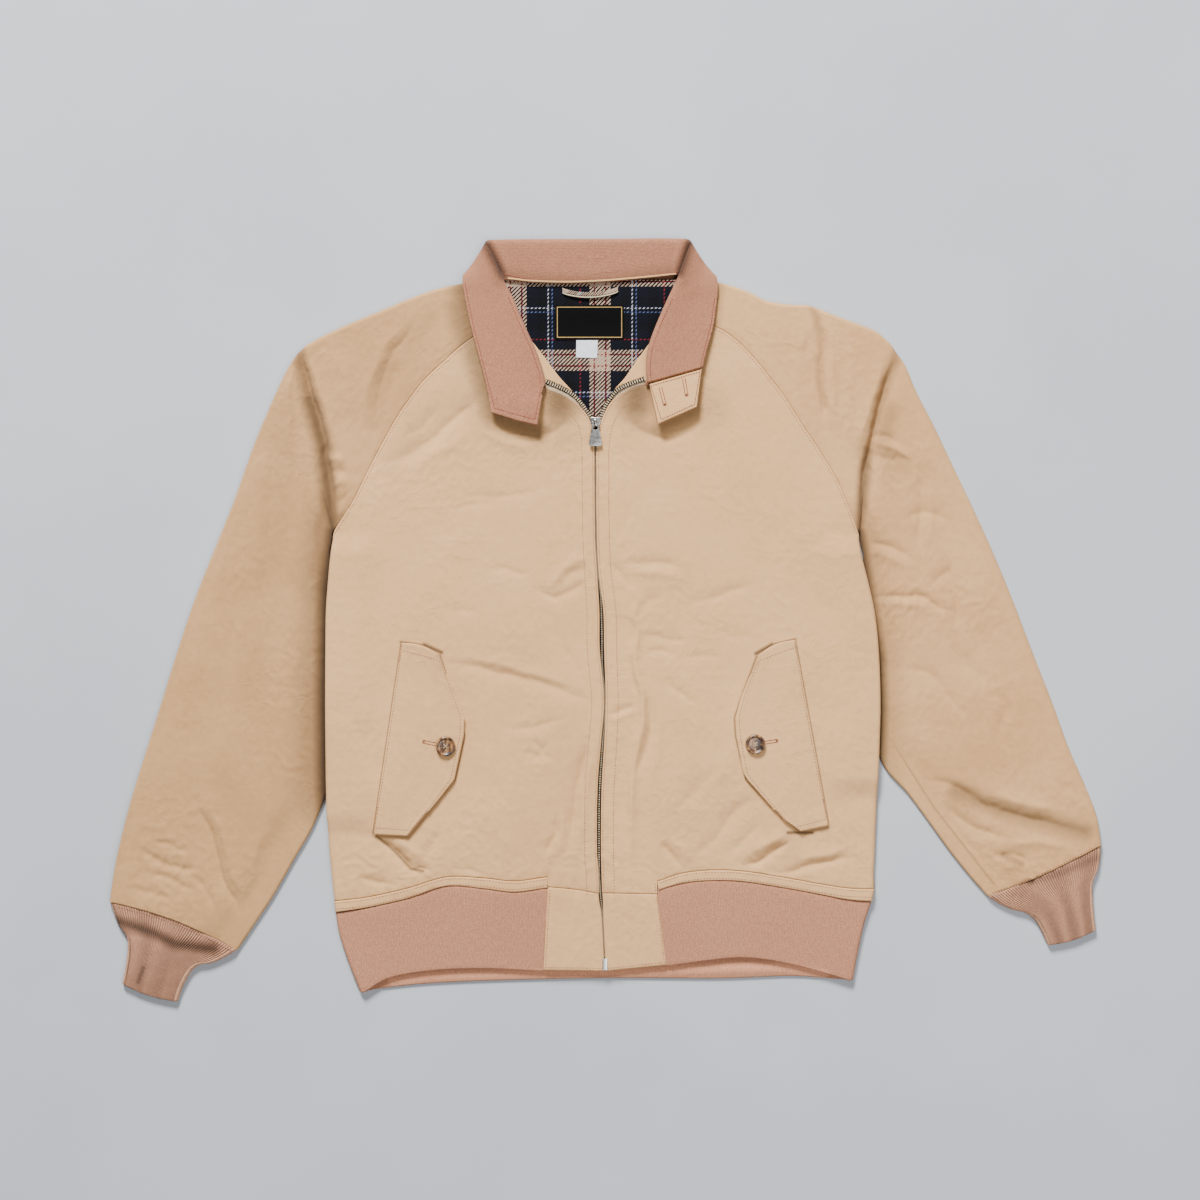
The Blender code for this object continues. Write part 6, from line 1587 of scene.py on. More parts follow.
def row_tree() -> bpy.types.NodeTree:
    """Node tree that sets parts along curves, realized and finished."""
    tree = bpy.data.node_groups.new("RowOfParts", "GeometryNodeTree")
    for name, kind in (("Geometry", "Geometry"), ("Pitch", "Float"), ("Size", "Vector"),
                       ("Blocks", "Bool"), ("Finish", "Material")):
        tree.interface.new_socket(name, in_out="INPUT", socket_type=f"NodeSocket{kind}")
    tree.interface.new_socket("Geometry", in_out="OUTPUT", socket_type="NodeSocketGeometry")
    s = Shader(tree)
    source, sink = s.node("NodeGroupInput"), s.node("NodeGroupOutput")
    curve = s.node("GeometryNodeMeshToCurve")
    points = s.node("GeometryNodeCurveToPoints", mode="LENGTH")
    dash = s.node("GeometryNodeMeshUVSphere", {"Segments": 6, "Rings": 5, "Radius": 0.5})
    block = s.node("GeometryNodeMeshCube")
    choice = s.node("GeometryNodeSwitch", input_type="GEOMETRY")
    place = s.node("GeometryNodeInstanceOnPoints")
    wander = s.node("FunctionNodeRandomValue", {"Min": (0.85, 0.85, 0.88), "Max": (1.12, 1.15, 1.06),
                                                "Seed": 7}, data_type="FLOAT_VECTOR")
    scale = s.node("ShaderNodeVectorMath", operation="MULTIPLY")
    real, finish = s.node("GeometryNodeRealizeInstances"), s.node("GeometryNodeSetMaterial")
    for first, output, second, socket in (
            (source, "Geometry", curve, "Mesh"), (curve, "Curve", points, "Curve"),
            (source, "Pitch", points, "Length"), (source, "Blocks", choice, "Switch"),
            (dash, "Mesh", choice, "False"), (block, "Mesh", choice, "True"),
            (points, "Points", place, "Points"), (choice, "Output", place, "Instance"),
            (points, "Rotation", place, "Rotation"), (source, "Size", scale, 0),
            (wander, "Value", scale, 1), (scale, "Vector", place, "Scale"),
            (place, "Instances", real, "Geometry"), (real, "Geometry", finish, "Geometry"),
            (source, "Finish", finish, "Material"), (finish, "Geometry", sink, "Geometry")):
        tree.links.new(first.outputs[output], second.inputs[socket])
    return tree


def beside(line: Array, distance: float) -> Array:
    """A line shifted sideways in plan: positive to the right of its run on the board."""
    run = unit(np.gradient(line[:, :2], axis=0))
    return line[:, :2] + np.column_stack([-run[:, 1], run[:, 0]]) * distance


def evened(line: Array, step: float = 2.0) -> Array:
    """The same plan line at even steps."""
    line = np.asarray(line, dtype=float)[:, :2]
    run = runs(line)
    at = np.linspace(0, run[-1], max(3, round(run[-1] / step) + 1))
    return np.column_stack([np.interp(at, run, line[:, 0]), np.interp(at, run, line[:, 1])])


# ---------------------------------------------------------------------- finishes
Socket = bpy.types.NodeSocket
Tree = bpy.types.NodeTree
Rgb = tuple[float, float, float]


class Shader:
    """Short-hand for building a node tree."""

    def __init__(self, tree: Tree) -> None:
        self.tree = tree

    def feed(self, node: bpy.types.Node, values: dict) -> None:
        """Link a node's inputs, or set them, by name or number."""
        for key, value in values.items():
            if isinstance(value, Socket):
                self.tree.links.new(value, node.inputs[key])
            else:
                node.inputs[key].default_value = value

    def node(self, kind: str, values: dict | None = None, **settings: object) -> bpy.types.Node:
        """Add a node, set its properties and feed its inputs."""
        made = self.tree.nodes.new(kind)
        for key, value in settings.items():
            setattr(made, key, value)
        self.feed(made, values or {})
        return made

    def group(self, tree: Tree, values: dict) -> bpy.types.Node:
        """Place a node group."""
        made = self.node("ShaderNodeGroup", node_tree=tree)
        self.feed(made, values)
        return made

    def math(self, operation: str, *values: object) -> Socket:
        """A math node's output."""
        return self.node("ShaderNodeMath", dict(enumerate(values)), operation=operation).outputs[0]

    def plus(self, a: object, b: object) -> Socket:
        """Sum of two values."""
        return self.math("ADD", a, b)

    def times(self, a: object, b: object) -> Socket:
        """Product of two values."""
        return self.math("MULTIPLY", a, b)

    def vector(self, operation: str, *values: object) -> bpy.types.Node:
        """A vector math node."""
        return self.node("ShaderNodeVectorMath", dict(enumerate(values)), operation=operation)

    def split(self, value: Socket) -> Sequence[Socket]:
        """The x, y and z of a vector."""
        return self.node("ShaderNodeSeparateXYZ", {0: value}).outputs

    def place(self) -> Socket:
        """Object places in metres."""
        return self.node("ShaderNodeTexCoord").outputs["Object"]

    def cut(self) -> Socket:
        """UVs in mm."""
        return self.node("ShaderNodeUVMap", uv_map="Cut").outputs[0]

    def noise(self, vector: Socket, scale: float, detail: float = 2.0, rough: float = 0.5) -> Socket:
        """A noise texture's value."""
        return self.node("ShaderNodeTexNoise", {"Vector": vector, "Scale": scale, "Detail": detail,
                                                "Roughness": rough}).outputs[0]

    def blend(self, a: object, b: object, share: object, kind: str = "MIX") -> Socket:
        """Blend two colours."""
        made = self.node("ShaderNodeMix", {0: share, 6: a, 7: b}, data_type="RGBA", blend_type=kind)
        return made.outputs[2]

    def dim(self, shade: Socket, value: Socket) -> Socket:
        """A colour times a brightness."""
        grey = self.node("ShaderNodeCombineColor", {0: value, 1: value, 2: value}).outputs[0]
        return self.blend(shade, grey, 1.0, "MULTIPLY")

    def ramp(self, value: Socket, low: float, high: float | Socket, to_low: float = 0.0,
             to_high: float = 1.0, kind: str = "SMOOTHSTEP") -> Socket:
        """Map a value range onto another, clamped."""
        return self.node("ShaderNodeMapRange", {0: value, 1: low, 2: high, 3: to_low, 4: to_high},
                         interpolation_type=kind).outputs[0]

    def bump(self, height: Socket, distance: float, **normal: Socket) -> Socket:
        """A bump normal; distance is the height in metres, Normal the normal beneath."""
        return self.node("ShaderNodeBump", {"Height": height, "Distance": distance, "Strength": 1.0,
                                            **normal}).outputs[0]


def colour(red: float, green: float, blue: float) -> tuple[float, float, float, float]:
    """Linear colour from display values of 0 to 255."""
    return tuple(((c / 255 + 0.055) / 1.055) ** 2.4 for c in (red, green, blue)) + (1.0,)


def new_group(name: str, outputs: Sequence[str], vectors: Sequence[str], floats: Sequence[str] = ()
              ) -> tuple[Shader, Sequence[Socket], bpy.types.Node]:
    """Start a shader node group with named sockets.

    Args:
        name: Name of the group.
        outputs: Names of its values.
        vectors: Names of its vector inputs.
        floats: Names of its value inputs.

    Returns:
        Its helper, its inputs' sockets and its output node.
    """
    tree = bpy.data.node_groups.new(name, "ShaderNodeTree")
    for labels, way, kind in ((vectors, "INPUT", "Vector"), (floats, "INPUT", "Float"),
                              (outputs, "OUTPUT", "Float")):
        for label in labels:
            tree.interface.new_socket(label, in_out=way, socket_type=f"NodeSocket{kind}")
    s = Shader(tree)
    return s, s.node("NodeGroupInput").outputs, s.node("NodeGroupOutput")


def twill_group() -> Tree:
    """Height of a fine diagonal weave over UVs in mm."""
    s, (cut, *_), sink = new_group("Twill", ("Height",), ("Cut",))
    split = s.split(cut)
    slant = s.plus(s.times(split[0], 0.82), s.times(split[1], 0.57))
    ribs = s.math("SINE", s.times(slant, 2 * math.pi / 0.95))
    threads = s.math("SINE", s.times(split[1], 2 * math.pi / 0.6))
    slub = s.noise(cut, 0.9, 3.0)
    total = s.plus(s.times(ribs, 0.35), s.times(threads, 0.2))
    s.feed(sink, {"Height": s.plus(total, s.times(slub, 1.4))})
    return s.tree


def crinkle_group() -> Tree:
    """Height of the small soft creases of washed cotton, over object places."""
    s, (place, *_), sink = new_group("Crinkle", ("Height", "Tone"), ("Place",))
    drift = s.node("ShaderNodeTexNoise", {"Vector": place, "Scale": 60.0, "Detail": 1.0}).outputs[1]
    bend = s.vector("MULTIPLY", drift, (0.012, 0.012, 0.012)).outputs[0]
    place = s.vector("ADD", place, bend).outputs[0]
    large = s.noise(place, 34.0, 2.0)
    fine = s.noise(place, 150.0, 3.0, 0.6)
    centred = s.math("SUBTRACT", s.times(s.noise(place, 75.0, 1.5), 2.0), 1.0)
    ridge = s.math("SUBTRACT", 1.0, s.math("ABSOLUTE", centred))
    crest = s.math("POWER", ridge, 6.0)
    where = s.ramp(s.noise(place, 14.0, 1.0), 0.45, 0.68)
    height = s.plus(s.times(large, 0.5), s.times(fine, 0.22))
    height = s.plus(height, s.times(s.times(crest, where), 0.5))
    tone = s.plus(s.times(s.noise(place, 9.0, 3.0), 0.6), s.times(fine, 0.4))
    s.feed(sink, {"Height": height, "Tone": tone})
    return s.tree


class Shade(NamedTuple):
    """A straight line beside which cloth lies in deep shade; width in mm, strength 0 to 1."""

    start: tuple[float, float]
    stop: tuple[float, float]
    width: float
    strength: float


def shades(width: float, strength: float, *places: tuple[float, float]) -> tuple[Shade, ...]:
    """Shades along a polyline of board places."""
    return tuple(Shade(a, b, width, strength) for a, b in zip(places, places[1:]))


def segment_group() -> Tree:
    """Mask that fades from 1 on a straight line to 0 at a width, in plan."""
    s, (place, start, run, width, *_), sink = new_group(
        "Segment", ("Mask",), ("Place", "Start", "Run"), ("Width",))
    flat = s.vector("MULTIPLY", place, (1.0, 1.0, 0.0)).outputs[0]
    offset = s.vector("SUBTRACT", flat, start).outputs[0]
    along = s.math("DIVIDE", s.vector("DOT_PRODUCT", offset, run).outputs[1],
                   s.vector("DOT_PRODUCT", run, run).outputs[1])
    share = s.ramp(along, 0.0, 1.0, kind="LINEAR")
    nearest = s.node("ShaderNodeVectorMath", {0: run, "Scale": share}, operation="SCALE").outputs[0]
    distance = s.vector("DISTANCE", offset, nearest).outputs[1]
    s.feed(sink, {"Mask": s.ramp(distance, 0.0, width, 1.0, 0.0)})
    return s.tree


CREASE_DEPTH = 0.0005     # bump heights of the cotton in metres
WEAVE_DEPTH = 0.0001


class Groups(NamedTuple):
    """The node groups that finishes share."""

    twill: Tree
    crinkle: Tree
    segment: Tree


def start_material(name: str) -> tuple[bpy.types.Material, Shader, bpy.types.Node]:
    """A material with its helper and its Principled shader."""
    made = bpy.data.materials.new(name)
    made.use_nodes = True
    return made, Shader(made.node_tree), made.node_tree.nodes["Principled BSDF"]


def shaded(s: Shader, segment: Tree, place: Socket, lines: Sequence[Shade], value: Socket,
           change: str = "SUBTRACT") -> Socket:
    """Lower a brightness value beside the shade lines as painted shade, or raise it as painted light where
    change is ADD.
    """
    deepest: Socket | float = 0.0
    for line in lines:
        (x0, y0), (x1, y1) = line.start, line.stop
        mask = s.group(segment, {
            "Place": place, "Start": to_metres((x0, y0, 0.0)),
            "Run": ((x1 - x0) / 1000, (y0 - y1) / 1000, 0.0), "Width": line.width / 1000})
        deepest = s.math("MAXIMUM", s.times(mask.outputs["Mask"], line.strength), deepest)
    return s.times(value, s.math(change, 1.0, deepest)) if lines else value


@dataclass(frozen=True)
class Cotton:
    """Washed cotton shell cloth with a soft nap.

    Attributes:
        name: Material name.
        base: Display colour of the cloth.
        deep: Display colour of its darker mottling.
        shades: Lines beside which it lies in deep shade.
    """

    name: str
    base: Rgb
    deep: Rgb
    shades: tuple[Shade, ...] = ()

    def make(self, groups: Groups) -> bpy.types.Material:
        """Build the material."""
        made, s, principled = start_material(self.name)
        place, cut = s.place(), s.cut()
        weave = s.group(groups.twill, {"Cut": cut}).outputs["Height"]
        soft = s.group(groups.crinkle, {"Place": place})
        tone = s.ramp(soft.outputs["Tone"], 0.36, 0.64)
        shade = s.blend(colour(*self.deep), colour(*self.base), tone)
        fleck = s.ramp(weave, 0.2, 1.3, 0.93, 1.04)
        shade = s.dim(shade, shaded(s, groups.segment, place, self.shades, fleck))
        normal = s.bump(soft.outputs["Height"], CREASE_DEPTH)
        normal = s.bump(weave, WEAVE_DEPTH, Normal=normal)
        s.feed(principled, {
            "Base Color": shade, "Normal": normal, "Roughness": 0.9, "Sheen Weight": 0.12,
            "Sheen Roughness": 0.5, "Sheen Tint": (1.0, 0.93, 0.85, 1.0),
            "Specular IOR Level": 0.25})
        return made


@dataclass(frozen=True)
class Knit:
    """Fine rib knit.

    Attributes:
        name: Material name.
        base: Display colour of the ribs.
        deep: Display colour between the ribs, darker as painted shade in their grooves; also the low end
            of the knit's random mottling.
        pitch: Rib spacing in mm.
        depth: Depth of a rib in mm.
        mark: Share of the ribs in the colour.
        shades: Lines beside which it lies in deep shade.
        painted_light: Lines beside which it is painted paler, as painted light.
    """

    name: str
    base: Rgb
    deep: Rgb
    pitch: float = CUFF_RIB_PITCH
    depth: float = 0.35
    mark: float = 0.6
    shades: tuple[Shade, ...] = ()
    painted_light: tuple[Shade, ...] = ()

    def make(self, groups: Groups) -> bpy.types.Material:
        """Build the material."""
        made, s, principled = start_material(self.name)
        place, cut = s.place(), s.cut()
        split = s.split(cut)
        drift = s.times(s.noise(cut, 0.03, 1.0), 0.8)
        # rib is 0 in the grooves between ribs, where the deep colour stands in as painted shade
        rib = s.math("SINE", s.times(s.plus(split[0], drift), 2 * math.pi / self.pitch))
        rib = s.times(s.plus(rib, 1.0), 0.5)
        loops = s.math("SINE", s.plus(s.times(split[1], 2 * math.pi / 1.3), s.times(rib, 2.6)))
        fuzz = s.noise(cut, 1.3, 3.0, 0.65)
        soft = s.group(groups.crinkle, {"Place": place})
        tone = s.plus(s.times(rib, self.mark), s.times(s.plus(soft.outputs["Tone"], fuzz), 0.25))
        tone = s.ramp(s.plus(tone, s.times(loops, 0.04)), 0.1, 0.25 + self.mark)
        shade = s.blend(colour(*self.deep), colour(*self.base), tone)
        drawn = s.node("ShaderNodeMapping", {0: cut, "Scale": (1.0, 0.3, 1.0)}).outputs[0]
        streak = s.ramp(s.noise(drawn, 0.55, 2.0, 0.7), 0.36, 0.64, 0.91, 1.05)
        heather_and_painted_shade = s.ramp(s.noise(cut, 0.7, 3.0, 0.8), 0.34, 0.66, 0.72, 1.1)
        heather_and_painted_shade = s.times(heather_and_painted_shade, streak)
        # painted shade lowers the heather's brightness beside the shade lines; painted light raises it
        # beside the painted-light lines
        heather_and_painted_shade = shaded(s, groups.segment, place, self.shades, heather_and_painted_shade)
        shade = s.dim(shade, shaded(s, groups.segment, place, self.painted_light, heather_and_painted_shade, "ADD"))
        height = s.plus(rib, s.times(loops, 0.14))
        height = s.plus(height, s.times(fuzz, 0.5))
        normal = s.bump(soft.outputs["Height"], 0.0006)
        normal = s.bump(height, self.depth / 1000, Normal=normal)
        s.feed(principled, {
            "Base Color": shade, "Normal": normal, "Roughness": 0.92, "Sheen Weight": 0.08,
            "Sheen Roughness": 0.6, "Sheen Tint": (1.0, 0.86, 0.78, 1.0), "Specular IOR Level": 0.2})
        return made


@dataclass(frozen=True)
class Plain:
    """A small plain part: thread, tape, label, metal, floor, or a dark block of painted shadow.

    Attributes:
        name: Material name.
        base: Display colour.
        other: Display colour of its variation.
        scale: Scale of the variation per metre.
        rough: Roughness.
        metal: Metalness.
        depth: Bump height in mm.
        specular: Specular level.
    """

    name: str
    base: Rgb
    other: Rgb
    scale: float
    rough: float
    metal: float = 0.0
    depth: float = 0.05
    specular: float = 0.4

    def make(self) -> bpy.types.Material:
        """Build the material."""
        made, s, principled = start_material(self.name)
        value = s.noise(s.place(), self.scale, 3.0, 0.6)
        shade = s.blend(colour(*self.other), colour(*self.base), s.ramp(value, 0.35, 0.65))
        s.feed(principled, {
            "Base Color": shade, "Normal": s.bump(value, self.depth / 1000),
            "Roughness": s.ramp(value, 0.3, 0.7, self.rough * 0.9, min(1.0, self.rough * 1.1)),
            "Metallic": self.metal, "Specular IOR Level": self.specular})
        return made


def horn_material() -> bpy.types.Material:
    """Brown horn with pale streaks under a gloss."""
    made, s, principled = start_material("horn")
    place = s.place()
    stretched = s.node("ShaderNodeMapping", {0: place, "Rotation": (0.0, 0.0, 0.6),
                                             "Scale": (1.0, 0.28, 1.0)}).outputs[0]
    streak = s.noise(stretched, 420.0, 4.0, 0.6)
    cloud = s.noise(place, 160.0, 2.0)
    shade = s.blend(colour(72, 46, 30), colour(168, 122, 78), s.ramp(streak, 0.4, 0.64))
    shade = s.blend(shade, colour(36, 24, 20), s.ramp(cloud, 0.46, 0.66))
    s.feed(principled, {"Base Color": shade, "Normal": s.bump(streak, 0.00004), "Roughness": 0.32,
                        "Coat Weight": 0.3, "Coat Roughness": 0.2})
    return made


BEIGE, RED, BLACK = (172, 146, 124), (108, 26, 32), (9, 9, 12)
WHITE, BLUE = (158, 160, 172), (70, 84, 122)
CHECK_GROUND = (11, 12, 22)
CHECK_REPEAT = 84.0
CHECK_WARP = ((2, 21, BEIGE), (6, 1.6, RED), (17.4, 1.6, RED), (34, 8, BLACK), (44, 1.3, WHITE),
              (48, 1.3, BLUE), (61, 10, BLACK), (76, 1.4, RED))      # start, width, colour
CHECK_WEFT = ((14, 21, BEIGE), (18, 1.6, RED), (29.4, 1.6, RED), (46, 8, BLACK), (56, 1.3, WHITE),
              (60, 1.3, BLUE), (71, 8, BLACK), (3, 1.4, RED))


def plaid_material() -> bpy.types.Material:
    """A woollen check: navy ground, beige bands that cross as twill, fine red and pale lines."""
    made, s, principled = start_material("plaid_lining")
    cut = s.cut()
    wobble = s.node("ShaderNodeTexNoise", {"Vector": cut, "Scale": 0.5, "Detail": 2.0}).outputs[1]
    cut = s.vector("ADD", cut, s.vector("MULTIPLY", wobble, (0.9, 0.9, 0.0)).outputs[0]).outputs[0]
    split = s.split(cut)
    twill = s.math("SINE", s.times(s.plus(split[0], split[1]), 2 * math.pi / 4.0))
    over = s.ramp(twill, -0.3, 0.4)

    def threads(axis: Socket, sett: Sequence[tuple[float, float, Rgb]]) -> Socket:
        shade: object = colour(*CHECK_GROUND)
        for start, width, tint in sett:
            place = s.math("MODULO", s.plus(axis, 8 * CHECK_REPEAT - start), CHECK_REPEAT)
            shade = s.blend(shade, colour(*tint), s.math("LESS_THAN", place, width))
        return shade

    shade = s.blend(threads(split[0], CHECK_WARP), threads(split[1], CHECK_WEFT), over)
    # painted shade between the twill's ribs darkens every band into a hatch
    shade = s.dim(shade, s.ramp(s.math("ABSOLUTE", twill), 0.0, 0.5, 0.5, 1.0))
    fuzz = s.noise(cut, 1.1, 3.0, 0.7)
    shade = s.blend(shade, colour(96, 90, 88), s.ramp(fuzz, 0.5, 1.0, 0.0, 0.16))
    height = s.plus(s.times(twill, 0.5), fuzz)
    s.feed(principled, {"Base Color": shade, "Normal": s.bump(height, 0.00022), "Roughness": 0.95,
                        "Sheen Weight": 0.06, "Specular IOR Level": 0.12})
    return made


LABEL_SIZE = (69.0, 34.6)
NECK_LABEL = ((555, 305), (624, 305), (624, 339.6), (555, 339.6))
SIZE_LABEL = ((576.3, 340), (597.8, 340), (597.2, 358), (576, 357.4))


def label_material() -> bpy.types.Material:
    """A woven black label inside a fine gold frame, its field left bare."""
    made, s, principled = start_material("black_label")
    cut = s.cut()
    split = s.split(cut)
    near_x = s.math("MINIMUM", split[0], s.math("SUBTRACT", LABEL_SIZE[0], split[0]))
    near_y = s.math("MINIMUM", split[1], s.math("SUBTRACT", LABEL_SIZE[1], split[1]))
    near = s.math("MINIMUM", near_x, near_y)
    line = s.times(s.math("GREATER_THAN", near, 1.7), s.math("LESS_THAN", near, 2.5))
    weave = s.math("SINE", s.times(split[1], 2 * math.pi / 0.7))
    fuzz = s.noise(cut, 1.6, 2.0)
    ground = s.blend(colour(6, 6, 7), colour(14, 13, 14), fuzz)
    shade = s.blend(ground, colour(178, 148, 92), line)
    height = s.plus(s.times(weave, 0.3), fuzz)
    s.feed(principled, {"Base Color": shade, "Normal": s.bump(height, 0.00015), "Roughness": 0.9,
                        "Specular IOR Level": 0.08})
    return made


FLAP_SHADES = (
    shades(2.0, 0.65, (400.5, 641.8), (424, 645)) + shades(3.6, 0.8, (424, 644.6), (441.5, 652.4))
    + shades(1.2, 0.6, (401, 643), (372.8, 834))
    + shades(1.8, 0.55, (440, 654), (464.8, 736), (455.4, 780))
    + shades(2.2, 0.4, (455, 780.5), (409, 837), (373, 836))
    + shades(2.0, 0.65, (795.5, 638.8), (772, 644.4))
    + shades(3.6, 0.8, (772, 644.4), (755.8, 653.6))
    + shades(1.2, 0.6, (795.6, 640), (829, 825))
    + shades(1.8, 0.55, (756.5, 656), (734.2, 718), (735.2, 736), (746, 780))
    + shades(2.2, 0.4, (746, 780.5), (800, 832.6), (829, 827))
    + shades(3.4, 0.75, (788, 832.5), (812, 832.5)))
FOLD_SHADES = (
    shades(2.8, 0.62, (377, 836), (395, 852), (411, 869), (423, 871))
    + shades(3.0, 0.35, (743, 864), (757, 862), (771, 853), (787, 842)))
COLLAR_EDGE_SHADES = (
    shades(24, 0.6, (463, 285), (468, 325), (476, 357), (485, 390), (492, 411))
    + shades(12, 0.4, (717, 285), (712, 325), (704, 355), (700, 380), (696, 406)))
TIP_SHADES = (
    shades(24, 0.6, (495, 416), (515, 425), (538, 431))
    + shades(16, 0.46, (697, 409), (678, 419), (658, 428))
    + shades(34, 0.72, (558, 390), (560, 406)) + shades(32, 0.72, (638, 390), (636, 404))
    + shades(40, 0.2, (482, 396), (497, 414), (524, 428), (556, 432), (566, 412))
    + shades(36, 0.2, (628, 404), (642, 418), (664, 428), (708, 406))
    + shades(22, 0.12, (474, 368), (446, 396), (414, 428), (392, 462)))
YOKE_SHADES_RIGHT = (
    shades(22, 0.5, (459, 308), (468, 345), (477, 384))
    + shades(16, 0.16, (432, 316), (402, 348), (384, 378), (374, 420))
    + shades(26, 0.07, (285, 420), (275, 520), (262, 600), (246, 700)))
YOKE_SHADES_LEFT = (
    shades(7, 0.24, (812, 306), (820, 330), (822, 350), (819, 378), (824, 404))
    + shades(22, 0.16, (866, 448), (892, 464))
    + shades(17, 0.46, (957, 791), (1006, 812), (1046, 823), (1084, 831))
    + shades(6, 0.4, (1004, 855), (1022, 864))
    + shades(2.2, 0.3, (884, 729), (934, 807), (994, 884)))
ARM_SHADES_RIGHT = (
    shades(12, 0.5, (298, 350), (305, 385), (310, 402))
    + shades(15, 0.74, (309, 400), (322, 445), (333, 531))
    + shades(44, 0.45, (335, 533), (327, 590), (325.3, 700), (326, 800))
    + shades(24, 0.92, (335, 533), (327, 590), (325.3, 700), (326, 790), (330, 840)))
ARM_SHADES_LEFT = (
    shades(10, 0.4, (898, 352), (888, 378), (868, 450))
    + shades(11, 0.66, (868, 450), (859, 531)) + shades(16, 0.3, (890, 410), (882, 442))
    + shades(34, 0.3, (858.5, 533), (866, 580), (879, 660), (880.5, 710), (877.5, 790))
    + shades(16, 0.88, (858.5, 533), (866, 580), (879, 660), (880.5, 710), (877.5, 790)))
CUFF_SHADES = (
    shades(11, 0.75, (117, 921), (153, 933), (174, 944), (213, 949))
    + shades(4, 0.5, (138, 982), (143, 968)) + shades(9, 0.75, (1024, 868), (1031, 880))
    + shades(8, 0.35, (1034, 880), (1060, 873), (1102, 856)))
COLLAR_SHADES = (
    shades(11, 0.75, (486, 245), (503, 277)) + shades(11, 0.75, (690.5, 243), (680, 274))
    + shades(16, 0.3, (503, 277), (555, 284), (612, 283), (680, 274)))
TAN_COTTON = Cotton("tan_cotton", (222, 174, 120), (213, 164, 111))
TAN_FRONT = Cotton("tan_cotton_front", (222, 174, 120), (213, 164, 111),
                   shades=FLAP_SHADES + FOLD_SHADES + TIP_SHADES + COLLAR_EDGE_SHADES)
# The wearer's-right sleeve is a darker copy of the cotton: painted shade where less light falls on it. The
# wearer's-left sleeve is a little darker than the body too.
TAN_SLEEVE_RIGHT = Cotton("tan_cotton_sleeve_right", (198, 152, 102), (188, 142, 93),
                          shades=ARM_SHADES_RIGHT + COLLAR_EDGE_SHADES + YOKE_SHADES_RIGHT)
TAN_SLEEVE_LEFT = Cotton("tan_cotton_sleeve_left", (212, 164, 111), (202, 153, 101),
                         shades=ARM_SHADES_LEFT + COLLAR_EDGE_SHADES + YOKE_SHADES_LEFT)
# Painted light: the strip of the back rib's inside that shows below the front rib is painted paler.
RIB_PAINTED_LIGHT = shades(7.5, 0.55, (392, 982), (431, 976.5), (509, 974), (619, 973.5), (667, 970.5),
                   (717, 968), (787, 967.5), (825, 974.5))
RIB_KNIT = Knit("rib_knit", (190, 133, 102), (162, 109, 81), 1.7, 0.1, 0.16, painted_light=RIB_PAINTED_LIGHT)
# The collar's knit is a darker copy of the rib's: painted shade against the stronger light that falls on
# the tilted collar.
COLLAR_KNIT = Knit("rib_knit_collar", (170, 116, 87), (142, 93, 70), 1.5, 0.08, 0.1,
                   COLLAR_SHADES)
CUFF_KNIT = Knit("rib_knit_cuff", (200, 150, 119), (140, 97, 74), shades=CUFF_SHADES)
THREAD = Plain("thread", (184, 134, 104), (152, 104, 78), 900.0, 0.8, specular=0.2)
PINK_THREAD = Plain("keyhole_thread", (166, 92, 76), (134, 70, 58), 900.0, 0.8, specular=0.2)
# Near-black blocks of painted shadow, for the zip's gap and the buttonholes' eyes.
PAINTED_SHADOW = Plain("deep_shadow", (34, 26, 22), (22, 17, 15), 900.0, 0.95, specular=0.05)
TAPE_CLOTH = Plain("zip_tape", (190, 168, 136), (160, 140, 112), 500.0, 0.85, depth=0.1)
NICKEL = Plain("nickel", (214, 212, 206), (176, 174, 170), 300.0, 0.3, 1.0, 0.02)
TEETH = Plain("zip_teeth", (206, 186, 156), (164, 142, 112), 500.0, 0.45, 0.3, 0.03)
WHITE_LABEL = Plain("white_label", (222, 226, 232), (204, 208, 214), 700.0, 0.8, depth=0.08)
PIPING = Plain("piping", (206, 192, 160), (180, 164, 132), 700.0, 0.85, depth=0.1)
FLOOR = Plain("studio_floor", (186, 190, 196), (181, 185, 191), 3.0, 0.85, depth=0.0, specular=0.2)


# ---------------------------------------------------------------------- assembly
class Finishes:
    """Every material, made once."""

    def __init__(self) -> None:
        groups = Groups(twill_group(), crinkle_group(), segment_group())
        self.cotton, self.front = TAN_COTTON.make(groups), TAN_FRONT.make(groups)
        self.sleeves = {"right": TAN_SLEEVE_RIGHT.make(groups), "left": TAN_SLEEVE_LEFT.make(groups)}
        self.rib, self.cuff, self.collar = (
            finish.make(groups) for finish in (RIB_KNIT, CUFF_KNIT, COLLAR_KNIT))
        self.pink, self.painted_shadow = PINK_THREAD.make(), PAINTED_SHADOW.make()
        self.thread, self.tape, self.nickel = THREAD.make(), TAPE_CLOTH.make(), NICKEL.make()
        self.teeth, self.horn, self.plaid = TEETH.make(), horn_material(), plaid_material()
        self.piping, self.black, self.white = PIPING.make(), label_material(), WHITE_LABEL.make()
        self.floor = FLOOR.make()


class Sheet(NamedTuple):
    """Flat cut of a cloth piece in metres, and the pieces it rests on."""

    width: float
    length: float
    area: float
    rests_on: tuple[str, ...]


def declare(made: bpy.types.Object, node: str) -> bpy.types.Object:
    """Attach a piece to the jacket, hide the solid it replaces and log its face count."""
    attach(made, "jacket")
    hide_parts(node)
    LOG.info("%s: %d faces", made.name, len(made.data.polygons))
    return made


